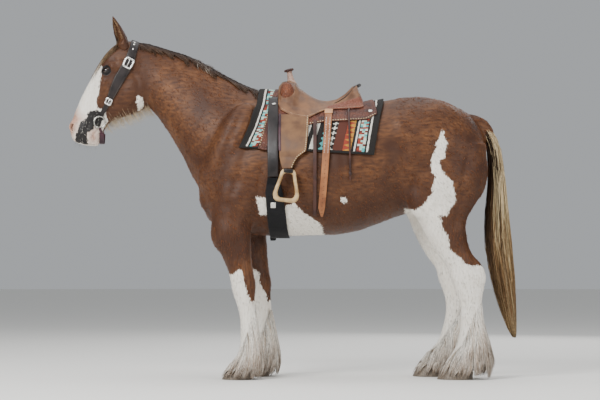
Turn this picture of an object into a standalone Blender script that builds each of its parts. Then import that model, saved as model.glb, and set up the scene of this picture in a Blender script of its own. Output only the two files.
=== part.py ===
"""A life-size standing Clydesdale horse with its stock saddle, blanket, cinch and headstall.

Metres, +Z up. The horse faces -X, its left side is at -Y, and the origin is on the floor under the middle.
The flesh is modelled whole from lofted sections and muscles, and is then parted with thin cuts.
"""

import itertools
import math
import random

import bmesh
import bpy
import numpy as np
from mathutils import Matrix, Vector
from mathutils.bvhtree import BVHTree

# Meshing
GAP = 0.0003  # kept between touching pieces
VOXEL = 0.010
MARGIN = 0.03  # kept past a cut while a piece is made coarser
REACH = 1.5  # from where measuring rays start
RING_POINTS = 28

# Main sizes
CUT_LEG_Z = 0.832  # the legs part from the trunk just under the belly
FORE_SPREAD = 0.185  # from the middle plane to a fore leg at the elbow
FORE_FOOT_SPREAD = 0.168
HIND_SPREAD = 0.170
HIND_FOOT_SPREAD = 0.155
EYE_RADIUS = 0.0215
EYE_CENTRE = (-1.113, 0.0835, 1.833)

# Each section of a loft is (upper or front point, lower or back point, half width, place of the widest line,
# upper roundness, lower roundness). Points are (x, z). The widest line's place runs from 0 at the lower point
# to 1 at the upper. A roundness of 2 is an ellipse, less is pointed and more is square.
TRUNK = (
    ((-0.578, 1.300), (-0.560, 1.080), 0.100, 0.50, 2.0, 2.0),
    ((-0.545, 1.400), (-0.535, 1.000), 0.185, 0.48, 2.0, 2.0),
    ((-0.490, 1.510), (-0.490, 0.930), 0.245, 0.46, 1.9, 2.0),
    ((-0.390, 1.630), (-0.390, 0.885), 0.280, 0.46, 1.8, 2.1),
    ((-0.290, 1.695), (-0.290, 0.862), 0.297, 0.46, 1.7, 2.1),
    ((-0.190, 1.722), (-0.190, 0.850), 0.310, 0.46, 1.65, 2.1),
    ((-0.080, 1.706), (-0.080, 0.845), 0.328, 0.47, 1.7, 2.1),
    ((0.040, 1.664), (0.040, 0.846), 0.347, 0.48, 1.8, 2.1),
    ((0.160, 1.620), (0.160, 0.850), 0.362, 0.49, 1.95, 2.1),
    ((0.280, 1.613), (0.280, 0.856), 0.370, 0.50, 2.1, 2.1),
    ((0.400, 1.628), (0.400, 0.880), 0.366, 0.50, 2.15, 2.1),
    ((0.520, 1.655), (0.520, 0.922), 0.352, 0.52, 2.2, 2.1),
    ((0.640, 1.677), (0.640, 0.968), 0.342, 0.56, 2.3, 2.1),
    ((0.750, 1.682), (0.750, 0.995), 0.345, 0.58, 2.35, 2.0),
    ((0.860, 1.668), (0.860, 1.010), 0.343, 0.56, 2.3, 2.0),
    ((0.965, 1.630), (0.965, 1.045), 0.318, 0.54, 2.2, 2.0),
    ((1.050, 1.580), (1.050, 1.095), 0.272, 0.52, 2.1, 2.0),
    ((1.115, 1.500), (1.120, 1.155), 0.205, 0.50, 2.0, 2.0),
    ((1.150, 1.410), (1.152, 1.230), 0.110, 0.50, 2.0, 2.0),
)
NECK = (
    ((-0.965, 2.005), (-0.895, 1.665), 0.082, 0.55, 2.1, 2.2),
    ((-0.895, 2.008), (-0.862, 1.610), 0.088, 0.50, 1.9, 2.2),
    ((-0.846, 1.995), (-0.832, 1.580), 0.094, 0.47, 1.8, 2.2),
    ((-0.750, 1.968), (-0.780, 1.512), 0.108, 0.44, 1.7, 2.2),
    ((-0.630, 1.930), (-0.714, 1.408), 0.128, 0.42, 1.65, 2.2),
    ((-0.498, 1.864), (-0.654, 1.300), 0.157, 0.42, 1.65, 2.2),
    ((-0.360, 1.786), (-0.606, 1.200), 0.195, 0.43, 1.65, 2.1),
    ((-0.228, 1.726), (-0.540, 1.095), 0.235, 0.44, 1.65, 2.1),
)
HEAD = (
    ((-0.925, 2.004), (-0.872, 1.700), 0.070, 0.60, 2.2, 2.4),
    ((-0.965, 2.022), (-0.862, 1.665), 0.084, 0.62, 2.2, 2.4),
    ((-1.036, 2.014), (-0.868, 1.628), 0.094, 0.64, 2.3, 2.4),
    ((-1.106, 1.962), (-0.900, 1.603), 0.099, 0.66, 2.4, 2.3),
    ((-1.155, 1.900), (-0.945, 1.583), 0.100, 0.66, 2.5, 2.2),
    ((-1.196, 1.828), (-0.998, 1.563), 0.090, 0.64, 2.5, 2.2),
    ((-1.238, 1.752), (-1.052, 1.545), 0.076, 0.62, 2.5, 2.2),
    ((-1.276, 1.678), (-1.098, 1.525), 0.064, 0.60, 2.5, 2.2),
    ((-1.306, 1.612), (-1.126, 1.492), 0.058, 0.58, 2.4, 2.2),
    ((-1.330, 1.548), (-1.138, 1.450), 0.061, 0.56, 2.4, 2.2),
    ((-1.342, 1.494), (-1.156, 1.412), 0.063, 0.54, 2.3, 2.2),
    ((-1.334, 1.446), (-1.194, 1.390), 0.054, 0.52, 2.2, 2.2),
    ((-1.306, 1.410), (-1.240, 1.386), 0.034, 0.50, 2.0, 2.0),
)
FORE_LEG = (
    ((-0.470, 1.180), (-0.225, 1.200), 0.095, 0.50, 2.0, 2.0),
    ((-0.478, 1.050), (-0.225, 1.080), 0.098, 0.50, 2.0, 2.0),
    ((-0.485, 0.940), (-0.232, 0.990), 0.096, 0.52, 2.1, 1.9),
    ((-0.462, 0.815), (-0.244, 0.850), 0.088, 0.54, 2.1, 1.9),
    ((-0.414, 0.710), (-0.240, 0.716), 0.073, 0.54, 2.1, 1.9),
    ((-0.380, 0.625), (-0.230, 0.625), 0.065, 0.55, 2.3, 2.0),
    ((-0.368, 0.560), (-0.216, 0.562), 0.067, 0.55, 2.5, 1.9),
    ((-0.350, 0.488), (-0.220, 0.482), 0.054, 0.55, 2.3, 1.9),
    ((-0.320, 0.392), (-0.216, 0.386), 0.042, 0.58, 2.1, 2.0),
    ((-0.311, 0.284), (-0.213, 0.278), 0.043, 0.58, 2.1, 2.0),
    ((-0.313, 0.200), (-0.198, 0.176), 0.056, 0.52, 2.1, 2.0),
    ((-0.335, 0.138), (-0.222, 0.104), 0.053, 0.50, 2.1, 2.0),
    ((-0.370, 0.094), (-0.238, 0.062), 0.070, 0.50, 2.1, 2.0),
    ((-0.394, 0.050), (-0.242, 0.018), 0.074, 0.50, 2.1, 2.0),
)
HIND_LEG = (
    ((0.730, 1.380), (1.150, 1.390), 0.140, 0.50, 2.0, 2.0),
    ((0.700, 1.180), (1.142, 1.190), 0.142, 0.50, 2.0, 2.0),
    ((0.694, 1.030), (1.092, 1.050), 0.126, 0.50, 2.0, 2.0),
    ((0.744, 0.920), (1.030, 0.935), 0.106, 0.52, 2.0, 1.9),
    ((0.802, 0.812), (1.036, 0.826), 0.085, 0.55, 2.0, 1.7),
    ((0.862, 0.722), (1.066, 0.742), 0.066, 0.58, 2.1, 1.6),
    ((0.912, 0.656), (1.120, 0.676), 0.058, 0.60, 2.3, 1.6),
    ((0.932, 0.590), (1.147, 0.602), 0.062, 0.60, 2.5, 1.7),
    ((0.960, 0.518), (1.132, 0.534), 0.053, 0.60, 2.3, 1.8),
    ((0.984, 0.432), (1.118, 0.444), 0.046, 0.58, 2.1, 2.0),
    ((0.984, 0.318), (1.112, 0.318), 0.047, 0.56, 2.1, 2.0),
    ((0.966, 0.212), (1.130, 0.192), 0.063, 0.52, 2.1, 2.0),
    ((0.930, 0.146), (1.084, 0.110), 0.060, 0.50, 2.1, 2.0),
    ((0.898, 0.098), (1.062, 0.064), 0.078, 0.50, 2.1, 2.0),
    ((0.876, 0.054), (1.058, 0.020), 0.082, 0.50, 2.1, 2.0),
)
# How far each section of the far (right) leg stands from the near one, along X
FORE_FAR_SHIFT = (0.01, 0.03, 0.055, 0.085, 0.09, 0.09, 0.088, 0.088, 0.09, 0.092, 0.094, 0.095, 0.095, 0.095)
HIND_FAR_SHIFT = (
    *(0.0, -0.01, -0.02, -0.03, -0.04, -0.045, -0.048, -0.05),
    *(-0.052, -0.058, -0.072, -0.092, -0.112, -0.125, -0.135),
)

# Muscles and bony forms: (centre x, y, z), (radii x, y, z), pitch in degrees about Y. Each is on both sides.
MUSCLES = (
    ((-0.370, 0.175, 1.370), (0.120, 0.110, 0.290), 24),  # shoulder blade
    ((-0.490, 0.150, 1.190), (0.082, 0.090, 0.110), 0),  # point of the shoulder
    ((-0.320, 0.215, 1.080), (0.150, 0.085, 0.130), 15),  # upper arm and elbow
    ((-0.492, 0.085, 1.078), (0.070, 0.085, 0.100), 0),  # breast
    ((-0.370, 0.190, 0.880), (0.120, 0.098, 0.150), 8),  # forearm
    ((0.820, 0.170, 1.470), (0.210, 0.160, 0.180), 10),  # croup
    ((1.030, 0.145, 1.290), (0.125, 0.130, 0.250), -8),  # buttock
    ((0.765, 0.215, 1.060), (0.100, 0.085, 0.140), -20),  # stifle
    ((0.890, 0.180, 0.920), (0.130, 0.088, 0.160), -25),  # gaskin
    ((0.880, 0.200, 1.200), (0.220, 0.140, 0.230), 0),  # thigh
    ((-0.958, 0.052, 1.728), (0.098, 0.050, 0.125), 25),  # cheek
    ((-1.071, 0.070, 1.859), (0.075, 0.040, 0.040), -50),  # brow and orbit
    ((-1.109, 0.074, 1.833), (0.046, 0.033, 0.034), -50),  # eyeball's bulge
    ((-1.120, 0.056, 1.755), (0.110, 0.018, 0.020), -62),  # facial crest
    ((-1.312, 0.040, 1.508), (0.034, 0.028, 0.044), 25),  # nostril's flare
    ((-1.292, 0.022, 1.440), (0.038, 0.036, 0.040), 0),  # upper lip
    ((-1.196, 0.014, 1.408), (0.040, 0.030, 0.026), 0),  # chin and lower lip
)

# Tail: (front point, back point, half width) from the dock down
DOCK = (
    ((1.020, 1.480), (1.030, 1.590), 0.045),
    ((1.085, 1.480), (1.110, 1.575), 0.045),
    ((1.130, 1.455), (1.180, 1.530), 0.042),
    ((1.158, 1.400), (1.222, 1.440), 0.038),
)
TAIL = (
    ((1.110, 1.475), (1.150, 1.552), 0.050),
    ((1.145, 1.425), (1.215, 1.475), 0.058),
    ((1.168, 1.340), (1.252, 1.365), 0.066),
    ((1.172, 1.180), (1.276, 1.195), 0.078),
    ((1.150, 0.980), (1.292, 0.990), 0.086),
    ((1.148, 0.780), (1.312, 0.780), 0.086),
    ((1.180, 0.600), (1.330, 0.590), 0.074),
    ((1.230, 0.430), (1.338, 0.420), 0.052),
    ((1.280, 0.300), (1.340, 0.290), 0.028),
    ((1.312, 0.240), (1.338, 0.236), 0.010),
)

# Cuts, each through two (x, z) points
POLL_CUT = ((-0.909, 2.028), (-0.858, 1.614))
WITHERS_CUT = ((-0.210, 1.734), (-0.582, 1.146))
DOCK_CUT = ((1.100, 1.600), (1.175, 1.380))
CUT_FORE_FOOT_Z = 0.486
CUT_HIND_FOOT_Z = 0.510

# Triangles of each node of flesh before anything is added to it
HEAD_TRIANGLES = 1350
NECK_TRIANGLES = 420
TORSO_TRIANGLES = 1650
LEG_TRIANGLES = 190
FOOT_TRIANGLES = 150
DOCK_TRIANGLES = 90

# Hair. The bells are the outlines of the feathers: (front point, back point, half width) from the top.
FORE_BELL = (
    ((-0.322, 0.372), (-0.210, 0.366), 0.046),
    ((-0.320, 0.250), (-0.188, 0.235), 0.062),
    ((-0.346, 0.150), (-0.167, 0.130), 0.090),
    ((-0.394, 0.080), (-0.162, 0.065), 0.108),
    ((-0.436, 0.014), (-0.180, 0.010), 0.118),
)
HIND_BELL = (
    ((0.974, 0.430), (1.116, 0.420), 0.050),
    ((0.968, 0.320), (1.138, 0.310), 0.064),
    ((0.946, 0.210), (1.172, 0.200), 0.092),
    ((0.892, 0.100), (1.204, 0.090), 0.118),
    ((0.842, 0.014), (1.182, 0.010), 0.128),
)
LOCK_THICK = 0.008
LOCK_TAPER = ((0.0, 0.33, 0.67, 0.85, 1.0), (0.34, 0.62, 1.0, 0.65, 0.0))  # width along a lock
SUNK = 0.014  # depth of a root below the skin
LOWEST_TIP = 0.010
# How far out a feather lock lies at each step, from the skin to the outline; the root is sunk
FEATHER_UNDER = 0.80  # every other lock lies this much nearer, under its neighbours
FEATHER_REACH = (-1.0, 0.70, 0.92, 1.0)
TAIL_REACH = (0.20, 0.66, 0.84, 0.86, 0.84, 0.80)
LOCK_STAND = 0.010  # how far a lock's middle lies above the skin
# Rows of locks round a lower leg: (how many, first and last turn from the front in degrees,
# height of the roots, height of the tips, width)
FEATHER_ROWS = (
    (9, 20, 340, 0.240, 0.014, 0.092),
    (4, 105, 255, 0.345, 0.100, 0.078),
    (1, 180, 180, 0.440, 0.215, 0.060),
)
# Rows of mane locks: (side, how many, from x to x, how far they hang)
MANE_ROWS = ((1, 9, (-0.880, -0.300), 0.170), (-1, 2, (-0.620, -0.500), 0.080))
CREST_FROM_Z = 1.4  # where the rays that find the crest start
MANE_BEND = 0.022
MANE_RISE = 0.003
MANE_STEPS = (0.35, 0.7, 1.0)
MANE_SLANT = 0.060
MANE_WIDTH = 0.086
FORELOCK_LOCKS = 5
FORELOCK_STEPS = 5
FORELOCK_WIDTH = 0.026
FORELOCK_THICK = 0.007
FORELOCK_SHORTER = 0.35  # by how much the outer ones are shorter
FORELOCK_OUT = (-0.62, 0.0, 0.78)
# Line under the forelock: (x, z, distance of its edge from the middle)
FORELOCK_LINE = (
    (-0.985, 1.990, 0.010),
    (-1.045, 1.985, 0.026),
    (-1.105, 1.930, 0.044),
    (-1.170, 1.850, 0.046),
    (-1.240, 1.755, 0.036),
)
TAIL_LOCKS = 9
TAIL_UNDER = 0.84
TAIL_CORE = 0.45  # size of the core against the whole tail
TAIL_CORE_LOW = 7  # the table row at which the core ends
TAIL_CORE_WIDER = 1.2
TAIL_GIRTH = 2 * math.pi * 0.075  # about how far it is round the tail
TAIL_LOCK_WIDER = 1.25  # how much wider a lock is than its share of the girth
TAIL_LOCK_THICK = 0.018
TAIL_SHORTER = 0.45  # up to how many rows the tips end early
HOOF_TOE_OUT = 0.048
HOOF_FLARE = 0.016
HOOF_EDGE = 0.006  # height of the bevel round the sole

# Head
LID_THICKNESS = 0.0042
EYE_OPENING = (0.0225, 0.0150, 0.0115)  # half its length, its height above and below the middle
EYE_LOOK = (-0.25, 1.0, 0.12)
EYE_SLANT = (0.80, 0.0, 0.60)
NOSTRIL = (-1.326, 0.052, 1.496)
NOSTRIL_RADII = (0.016, 0.022, 0.026)
MOUTH_LINE = (
    *((-1.150, 1.524), (-1.176, 1.486), (-1.206, 1.450)),
    *((-1.236, 1.420), (-1.262, 1.392), (-1.275, 1.370)),
)
MOUTH_SLOT = 0.0024
MOUTH_WIDE = 0.2  # longer than the mouth, so that the slot opens on both cheeks
OPENING_OUT = 0.035  # from the eye's centre to the middle of the tool that opens the lids
OPENING_DEEP = 0.05
EAR_POINTS = 9
EAR_BASE = (-1.004, 0.050, 1.962)
EAR_TIP = (-1.078, 0.082, 2.160)
EAR_OPENING = (-0.75, 0.65, 0.0)
# Rings of the ear and of its hollow: (height over its length, half width, half depth, how far ahead)
EAR_RINGS = (
    (0.00, 0.030, 0.028, 0.000),
    (0.25, 0.034, 0.032, 0.000),
    (0.42, 0.040, 0.030, 0.000),
    (0.60, 0.037, 0.023, 0.000),
    (0.78, 0.027, 0.016, 0.000),
    (0.91, 0.014, 0.010, 0.000),
    (1.00, 0.003, 0.003, 0.000),
)
CUP_RINGS = (
    (0.30, 0.014, 0.016, 0.016),
    (0.42, 0.030, 0.027, 0.015),
    (0.60, 0.030, 0.023, 0.013),
    (0.78, 0.021, 0.017, 0.010),
    (0.89, 0.009, 0.010, 0.008),
    (0.95, 0.003, 0.005, 0.007),
)

# Tack. Fronts, rears and bottoms are at the near side, from the spine down.
BARREL_AXIS_Z = 1.25
OFF_SEAM = (0.00037, 0.00041, 0.0)  # keeps measuring rays off the edges that lie on the voxel grid
LEATHER = 0.006
BLANKET_FRONT = ((0.0, 0.33, 0.67, 1.0), (-0.200, -0.215, -0.260, -0.318))
BLANKET_REAR = ((0.0, 0.33, 0.67, 1.0), (0.545, 0.535, 0.500, 0.471))
# Heights over the flesh of the layers' undersides and tops
BLANKET_UNDER = 0.0055
BLANKET_TOP = 0.0140
SKIRT_UNDER = 0.0165
SKIRT_TOP = 0.0230
SEAT_UNDER = 0.0270
CINCH_UNDER = 0.0040
CINCH_TOP = 0.0140
BLANKET_BOTTOM = (1.356, 1.309)
# Front to rear: (x at the spine, x at the edge, z of the edge)
SKIRT_STATIONS = (
    (-0.100, -0.204, 1.345),
    (-0.060, -0.140, 1.335),
    (-0.020, -0.040, 1.430),
    (0.100, 0.080, 1.480),
    (0.200, 0.190, 1.500),
    (0.300, 0.310, 1.505),
    (0.400, 0.430, 1.510),
    (0.470, 0.495, 1.545),
)
# Front to rear: (x, height in the middle, z of the edge)
SEAT_STATIONS = (
    (-0.088, 0.010, 1.600),
    (-0.074, 0.040, 1.565),
    (-0.040, 0.062, 1.545),
    (0.000, 0.060, 1.526),
    (0.030, 0.036, 1.522),
    (0.085, 0.020, 1.513),
    (0.155, 0.012, 1.548),
    (0.200, 0.012, 1.566),
    (0.260, 0.024, 1.570),
    (0.320, 0.056, 1.572),
    (0.370, 0.092, 1.574),
    (0.398, 0.098, 1.576),
    (0.412, 0.040, 1.580),
    (0.418, 0.004, 1.584),
)
SEAT_FALL = ((0.0, 0.30, 0.55, 0.75, 1.0), (1.0, 0.95, 0.60, 0.15, 0.0))
HORN_FOOT = (-0.008, 0.0, 1.765)
HORN_TOP = (-0.024, 0.0, 1.842)
HORN_RADII = (0.030, 0.016)  # at its foot and under its cap
HORN_CAP = (0.030, 0.030, 0.011)
HORN_LEAN = (-0.25, 0, 1)
ROLL_CENTRE = (-0.034, 0.150, 1.692)
ROLL_RADII = (0.042, 0.044, 0.066)
# Straps and panels that hang down the side: (z, front x, rear x)
FENDER = (
    (1.536, -0.080, 0.094, 0.0255),
    (1.480, -0.080, 0.092, 0.0255),
    (1.430, -0.080, 0.088, 0.0255),
    (1.380, -0.080, 0.084, 0.0250),
    (1.330, -0.079, 0.078, 0.0230),
    (1.298, -0.078, 0.030, 0.0180),
    (1.262, -0.070, 0.006, 0.0180),
    (1.234, -0.060, -0.006, 0.0200),
)
LATIGO = (
    (1.640, -0.145, -0.090, 0.0255),
    (1.500, -0.148, -0.086, 0.0255),
    (1.350, -0.148, -0.086, 0.0250),
    (1.190, -0.146, -0.084, 0.0155),
)
REAR_BILLET = (
    (1.560, 0.190, 0.232, 0.0255),
    (1.400, 0.178, 0.220, 0.0255),
    (1.300, 0.171, 0.212, 0.0150),
    (1.180, 0.162, 0.203, 0.0050),
    (1.010, 0.148, 0.188, 0.0040),
    (0.960, 0.164, 0.176, 0.0040),
)
REAR_STRAP = (
    (1.502, 0.118, 0.140, 0.0255),
    (1.330, 0.118, 0.139, 0.0180),
    (1.200, 0.118, 0.139, 0.0050),
    (0.968, 0.118, 0.138, 0.0040),
)
SADDLE_STRING = (
    (1.600, 0.340, 0.351, 0.0255),
    (1.560, 0.322, 0.333, 0.0255),
    (1.360, 0.325, 0.336, 0.0160),
    (1.240, 0.327, 0.338, 0.0030),
    (1.165, 0.328, 0.340, 0.0040),
)
CINCH_TOP_Z = 1.184
# How far round from its top to under the belly, x of its middle, and half its width
CINCH_WAY = ((0.0, 0.2, 0.5, 1.0), (-0.114, -0.108, -0.095, -0.075), (0.032, 0.052, 0.056, 0.056))
CINCH_PLATE = ((1.046, -0.130, -0.100, 0.0130), (1.016, -0.130, -0.100, 0.0130))
PLATE_THICK = 0.004
STIRRUP_CENTRE = (-0.034, 0.388, 1.1290)
STIRRUP_DEPTH = 0.052
STIRRUP_SWING = math.radians(-6)
# Half of its outline, from the top to the tread: (half width, height) outside, then inside
STIRRUP_HALF = (
    ((0.034, 0.100), (0.014, 0.074)),
    ((0.046, 0.080), (0.026, 0.066)),
    ((0.054, 0.040), (0.032, 0.036)),
    ((0.068, -0.010), (0.044, -0.008)),
    ((0.078, -0.048), (0.050, -0.040)),
    ((0.072, -0.078), (0.044, -0.060)),
    ((0.052, -0.094), (0.030, -0.068)),
)

# Headstall: (x, z, turn from up in degrees, half width), from the bit to the poll
STRAP_THICK = 0.006
STRAP_UNDER = 0.0015
STRAP_STEP = 0.01  # share of the strap over which its direction is taken
INSIDE = 0.03  # how far under the strap's middle a measuring ray ends
OUTSIDE = 0.12  # how far outside it starts
HEADSTALL_STATIONS = (
    (-1.147, 1.570, 90, 0.012),
    (-1.122, 1.612, 90, 0.014),
    (-1.098, 1.653, 90, 0.017),
    (-1.070, 1.712, 90, 0.026),
    (-1.038, 1.776, 90, 0.031),
    (-1.003, 1.836, 90, 0.032),
    (-0.978, 1.885, 90, 0.030),
    (-0.962, 1.935, 90, 0.026),
    (-0.952, 1.955, 70, 0.024),
    (-0.950, 1.955, 45, 0.023),
    (-0.949, 1.955, 22, 0.022),
    (-0.948, 1.955, 0, 0.022),
)
# Chin strap: where its middle lies, half its width, and its first turn from up
CHIN_PLACE = (-1.146, 1.470)
CHIN_HALF = 0.014
CHIN_TURN = math.radians(98)
STRAP_LEAN = (0.45, 0.0, 0.89)
UPPER_BUCKLE = (-0.982, 1.876)
LOWER_BUCKLE = (-1.100, 1.650)
BUCKLE_FEELERS = ((0.0, 0.0), (0.020, 0.0), (0.0, 0.020))
CHEEK_BUCKLE_SIZE = (0.060, 0.068)
BIT_BUCKLE_SIZE = (0.044, 0.044)
BUCKLE_BAR = 0.011  # width of a buckle's frame
BUCKLE_CORNERS = (0.012, 0.006)  # radii of its outer and inner corners
BUCKLE_THICK = 0.006
BUCKLE_STANDOFF = 0.004
RING_PLACE = (-1.156, 1.527)
RING_RADIUS = 0.034
RING_WIRE = 0.005
RING_STANDOFF = 0.016
RING_SPLAY = 0.15  # how far a ring turns forward as it looks outwards
BIT_PLACE = (-1.172, 1.497)
BIT_RADIUS = 0.006
BIT_LENGTH = 0.150

# Colour, roughness and metallic value of each kind of piece, by how its name starts
FINISHES = {
    "hair": ((0.20, 0.065, 0.025), 0.55, 0.0),
    "tail": ((0.42, 0.30, 0.17), 0.6, 0.0),
    "forefoot": ((0.75, 0.72, 0.66), 0.6, 0.0),
    "hindfoot": ((0.75, 0.72, 0.66), 0.6, 0.0),
    "fore_hoof": ((0.16, 0.13, 0.10), 0.4, 0.0),
    "hind_hoof": ((0.16, 0.13, 0.10), 0.4, 0.0),
    "eye": ((0.02, 0.012, 0.008), 0.05, 0.0),
    "saddle": ((0.16, 0.065, 0.03), 0.5, 0.0),
    "saddle_blanket": ((0.04, 0.20, 0.22), 0.9, 0.0),
    "bucking_roll": ((0.13, 0.05, 0.025), 0.45, 0.0),
    "fender": ((0.17, 0.07, 0.035), 0.5, 0.0),
    "latigo": ((0.03, 0.014, 0.014), 0.5, 0.0),
    "cinch": ((0.012, 0.012, 0.014), 0.85, 0.0),
    "cinch_plate": ((0.7, 0.7, 0.68), 0.25, 1.0),
    "rear_billet": ((0.40, 0.19, 0.09), 0.5, 0.0),
    "rear_strap": ((0.04, 0.018, 0.014), 0.5, 0.0),
    "stirrup": ((0.52, 0.36, 0.20), 0.5, 0.0),
    "chin_strap": ((0.06, 0.012, 0.018), 0.5, 0.0),
    "headstall": ((0.02, 0.012, 0.010), 0.4, 0.0),
    "cheek_buckle": ((0.75, 0.74, 0.72), 0.2, 1.0),
    "bit_": ((0.5, 0.5, 0.5), 0.25, 1.0),
}


def clear_scene():
    for obj in list(bpy.data.objects):
        bpy.data.objects.remove(obj, do_unlink=True)


def collection(name, hidden=False):
    made = bpy.data.collections.new(name)
    bpy.context.scene.collection.children.link(made)
    made.hide_render = hidden
    return made


def new_object(name, mesh, home):
    obj = bpy.data.objects.new(name, mesh)
    home.objects.link(obj)
    return obj


def mesh_from_bmesh(name, bm):
    mesh = bpy.data.meshes.new(name)
    bmesh.ops.recalc_face_normals(bm, faces=bm.faces)
    if bm.calc_volume(signed=True) < 0:
        bmesh.ops.reverse_faces(bm, faces=bm.faces)
    bm.to_mesh(mesh)
    bm.free()
    return mesh


def signed_power(value, power):
    return math.copysign(abs(value) ** power, value)


def ring_of(section, side, count):
    """Points of one section, in a plane that holds its two points and runs across the body."""
    upper, lower, half_width = section[:3]
    widest, round_up, round_down = section[3:] if len(section) > 3 else (0.5, 2.0, 2.0)
    top, bottom = Vector((upper[0], side, upper[1])), Vector((lower[0], side, lower[1]))
    points = []
    for i in range(count):
        angle = 2 * math.pi * i / count
        power = 2 / (round_up if math.cos(angle) >= 0 else round_down)
        reach = 1 - widest if math.cos(angle) >= 0 else widest
        place = widest + reach * signed_power(math.cos(angle), power)
        point = bottom.lerp(top, place)
        point.y += half_width * signed_power(math.sin(angle), power)
        points.append(point)
    return points


def refined(sections, side_of, steps=3):
    """Sections put in between the given ones on a smooth curve, as (numbers, side) pairs."""
    flat = np.array(
        [[*s[0], *s[1], s[2], *(s[3:] or (0.5, 2.0, 2.0)), side_of(i)] for i, s in enumerate(sections)]
    )
    out = []
    last = len(flat) - 1
    for i in range(last):
        before, here, after, beyond = flat[max(i - 1, 0)], flat[i], flat[i + 1], flat[min(i + 2, last)]
        for step in range(steps):
            t = step / steps
            out.append(
                0.5
                * (
                    2 * here
                    + (after - before) * t
                    + (2 * before - 5 * here + 4 * after - beyond) * t**2
                    + (3 * here - before - 3 * after + beyond) * t**3
                )
            )
    out.append(flat[last])
    return [(((v[0], v[1]), (v[2], v[3]), max(v[4], 0.004), v[5], v[6], v[7]), v[8]) for v in out]


def loft(bm, sections, side_of, count=RING_POINTS, steps=3):
    """A closed tube through the sections. side_of gives each section's distance from the middle plane."""
    loops = []
    for section, side in refined(sections, side_of, steps):
        loops.append([bm.verts.new(p) for p in ring_of(section, side, count)])
    for a, b in zip(loops, loops[1:]):
        for i in range(count):
            j = (i + 1) % count
            bm.faces.new((a[i], a[j], b[j], b[i]))
    bm.faces.new(loops[0])
    bm.faces.new(loops[-1])


def ellipsoid(bm, centre, radii, pitch=0.0, segments=20, rings=12):
    place = (
        Matrix.Translation(centre)
        @ Matrix.Rotation(math.radians(pitch), 4, "Y")
        @ Matrix.Diagonal((*radii, 1.0))
    )
    bmesh.ops.create_uvsphere(bm, u_segments=segments, v_segments=rings, radius=1.0, matrix=place)


def evaluated_mesh(obj):
    bpy.context.view_layer.update()
    graph = bpy.context.evaluated_depsgraph_get()
    return bpy.data.meshes.new_from_object(obj.evaluated_get(graph))


def baked(obj):
    """The object with its modifiers applied."""
    mesh = evaluated_mesh(obj)
    obj.modifiers.clear()
    obj.data = mesh
    return obj


def combine(obj, others, operation, solver="MANIFOLD"):
    """Joins or cuts obj by a collection of closed meshes, which are then removed."""
    tools = bpy.data.collections.new("tools")
    bpy.context.scene.collection.children.link(tools)
    for other in others:
        for home in list(other.users_collection):
            home.objects.unlink(other)
        tools.objects.link(other)
    modifier = obj.modifiers.new("join", "BOOLEAN")
    modifier.operation = operation
    modifier.solver = solver
    modifier.operand_type = "COLLECTION"
    modifier.collection = tools
    baked(obj)
    for other in others:
        bpy.data.objects.remove(other, do_unlink=True)
    bpy.data.collections.remove(tools)
    return obj


def plane_through(first, second):
    """A plane across the body through two (x, z) points, as a point and a normal."""
    a, b = Vector((first[0], 0, first[1])), Vector((second[0], 0, second[1]))
    return a, Vector((0, 1, 0)).cross((b - a).normalized())


def flipped(plane):
    return plane[0], -plane[1]


def trim(bm, plane, lift=0.0):
    """Cuts away what lies on the side that the plane's normal points to, and closes the cut."""
    point, normal = plane
    geometry = bm.verts[:] + bm.edges[:] + bm.faces[:]
    bmesh.ops.bisect_plane(
        bm, geom=geometry, dist=1e-7, plane_co=point + normal * lift, plane_no=normal, clear_outer=True
    )
    rims = [e for e in bm.edges if e.is_boundary]
    if rims:
        bmesh.ops.holes_fill(bm, edges=rims, sides=0)


def trimmed(obj, planes):
    bm = bmesh.new()
    bm.from_mesh(obj.data)
    for plane in planes:
        trim(bm, plane, -GAP / 2)
    bmesh.ops.triangulate(bm, faces=[f for f in bm.faces if len(f.verts) > 4])
    bm.to_mesh(obj.data)
    bm.free()
    return obj


def shells_of(mesh):
    """The separate closed surfaces of a mesh, largest first."""
    bm = bmesh.new()
    bm.from_mesh(mesh)
    bm.verts.ensure_lookup_table()
    seen, shells = set(), []
    for start in bm.verts:
        if start.index in seen:
            continue
        stack, found = [start], []
        seen.add(start.index)
        while stack:
            vert = stack.pop()
            found.append(vert.index)
            for edge in vert.link_edges:
                other = edge.other_vert(vert)
                if other.index not in seen:
                    seen.add(other.index)
                    stack.append(other)
        shells.append(set(found))
    bm.free()
    return sorted(shells, key=len, reverse=True)


def kept_shell(mesh, keep, name):
    """A copy of the mesh that holds only the given vertices."""
    bm = bmesh.new()
    bm.from_mesh(mesh)
    bm.verts.ensure_lookup_table()
    bmesh.ops.delete(bm, geom=[v for v in bm.verts if v.index not in keep], context="VERTS")
    made = bpy.data.meshes.new(name)
    bm.to_mesh(made)
    bm.free()
    return made


def largest_only(obj):
    """Drops loose scraps and sealed hollows that a union or a cut leaves."""
    shells = shells_of(obj.data)
    if len(shells) > 1:
        obj.data = kept_shell(obj.data, shells[0], obj.data.name)
    return obj


def spread(top, foot, count):
    return lambda i: top + (foot - top) * min(1.0, max(0.0, (i - 1) / (count - 2)))


def shifted(sections, shifts):
    return tuple(
        ((s[0][0] + d, s[0][1]), (s[1][0] + d, s[1][1]), *s[2:]) for s, d in zip(sections, shifts)
    )


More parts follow.
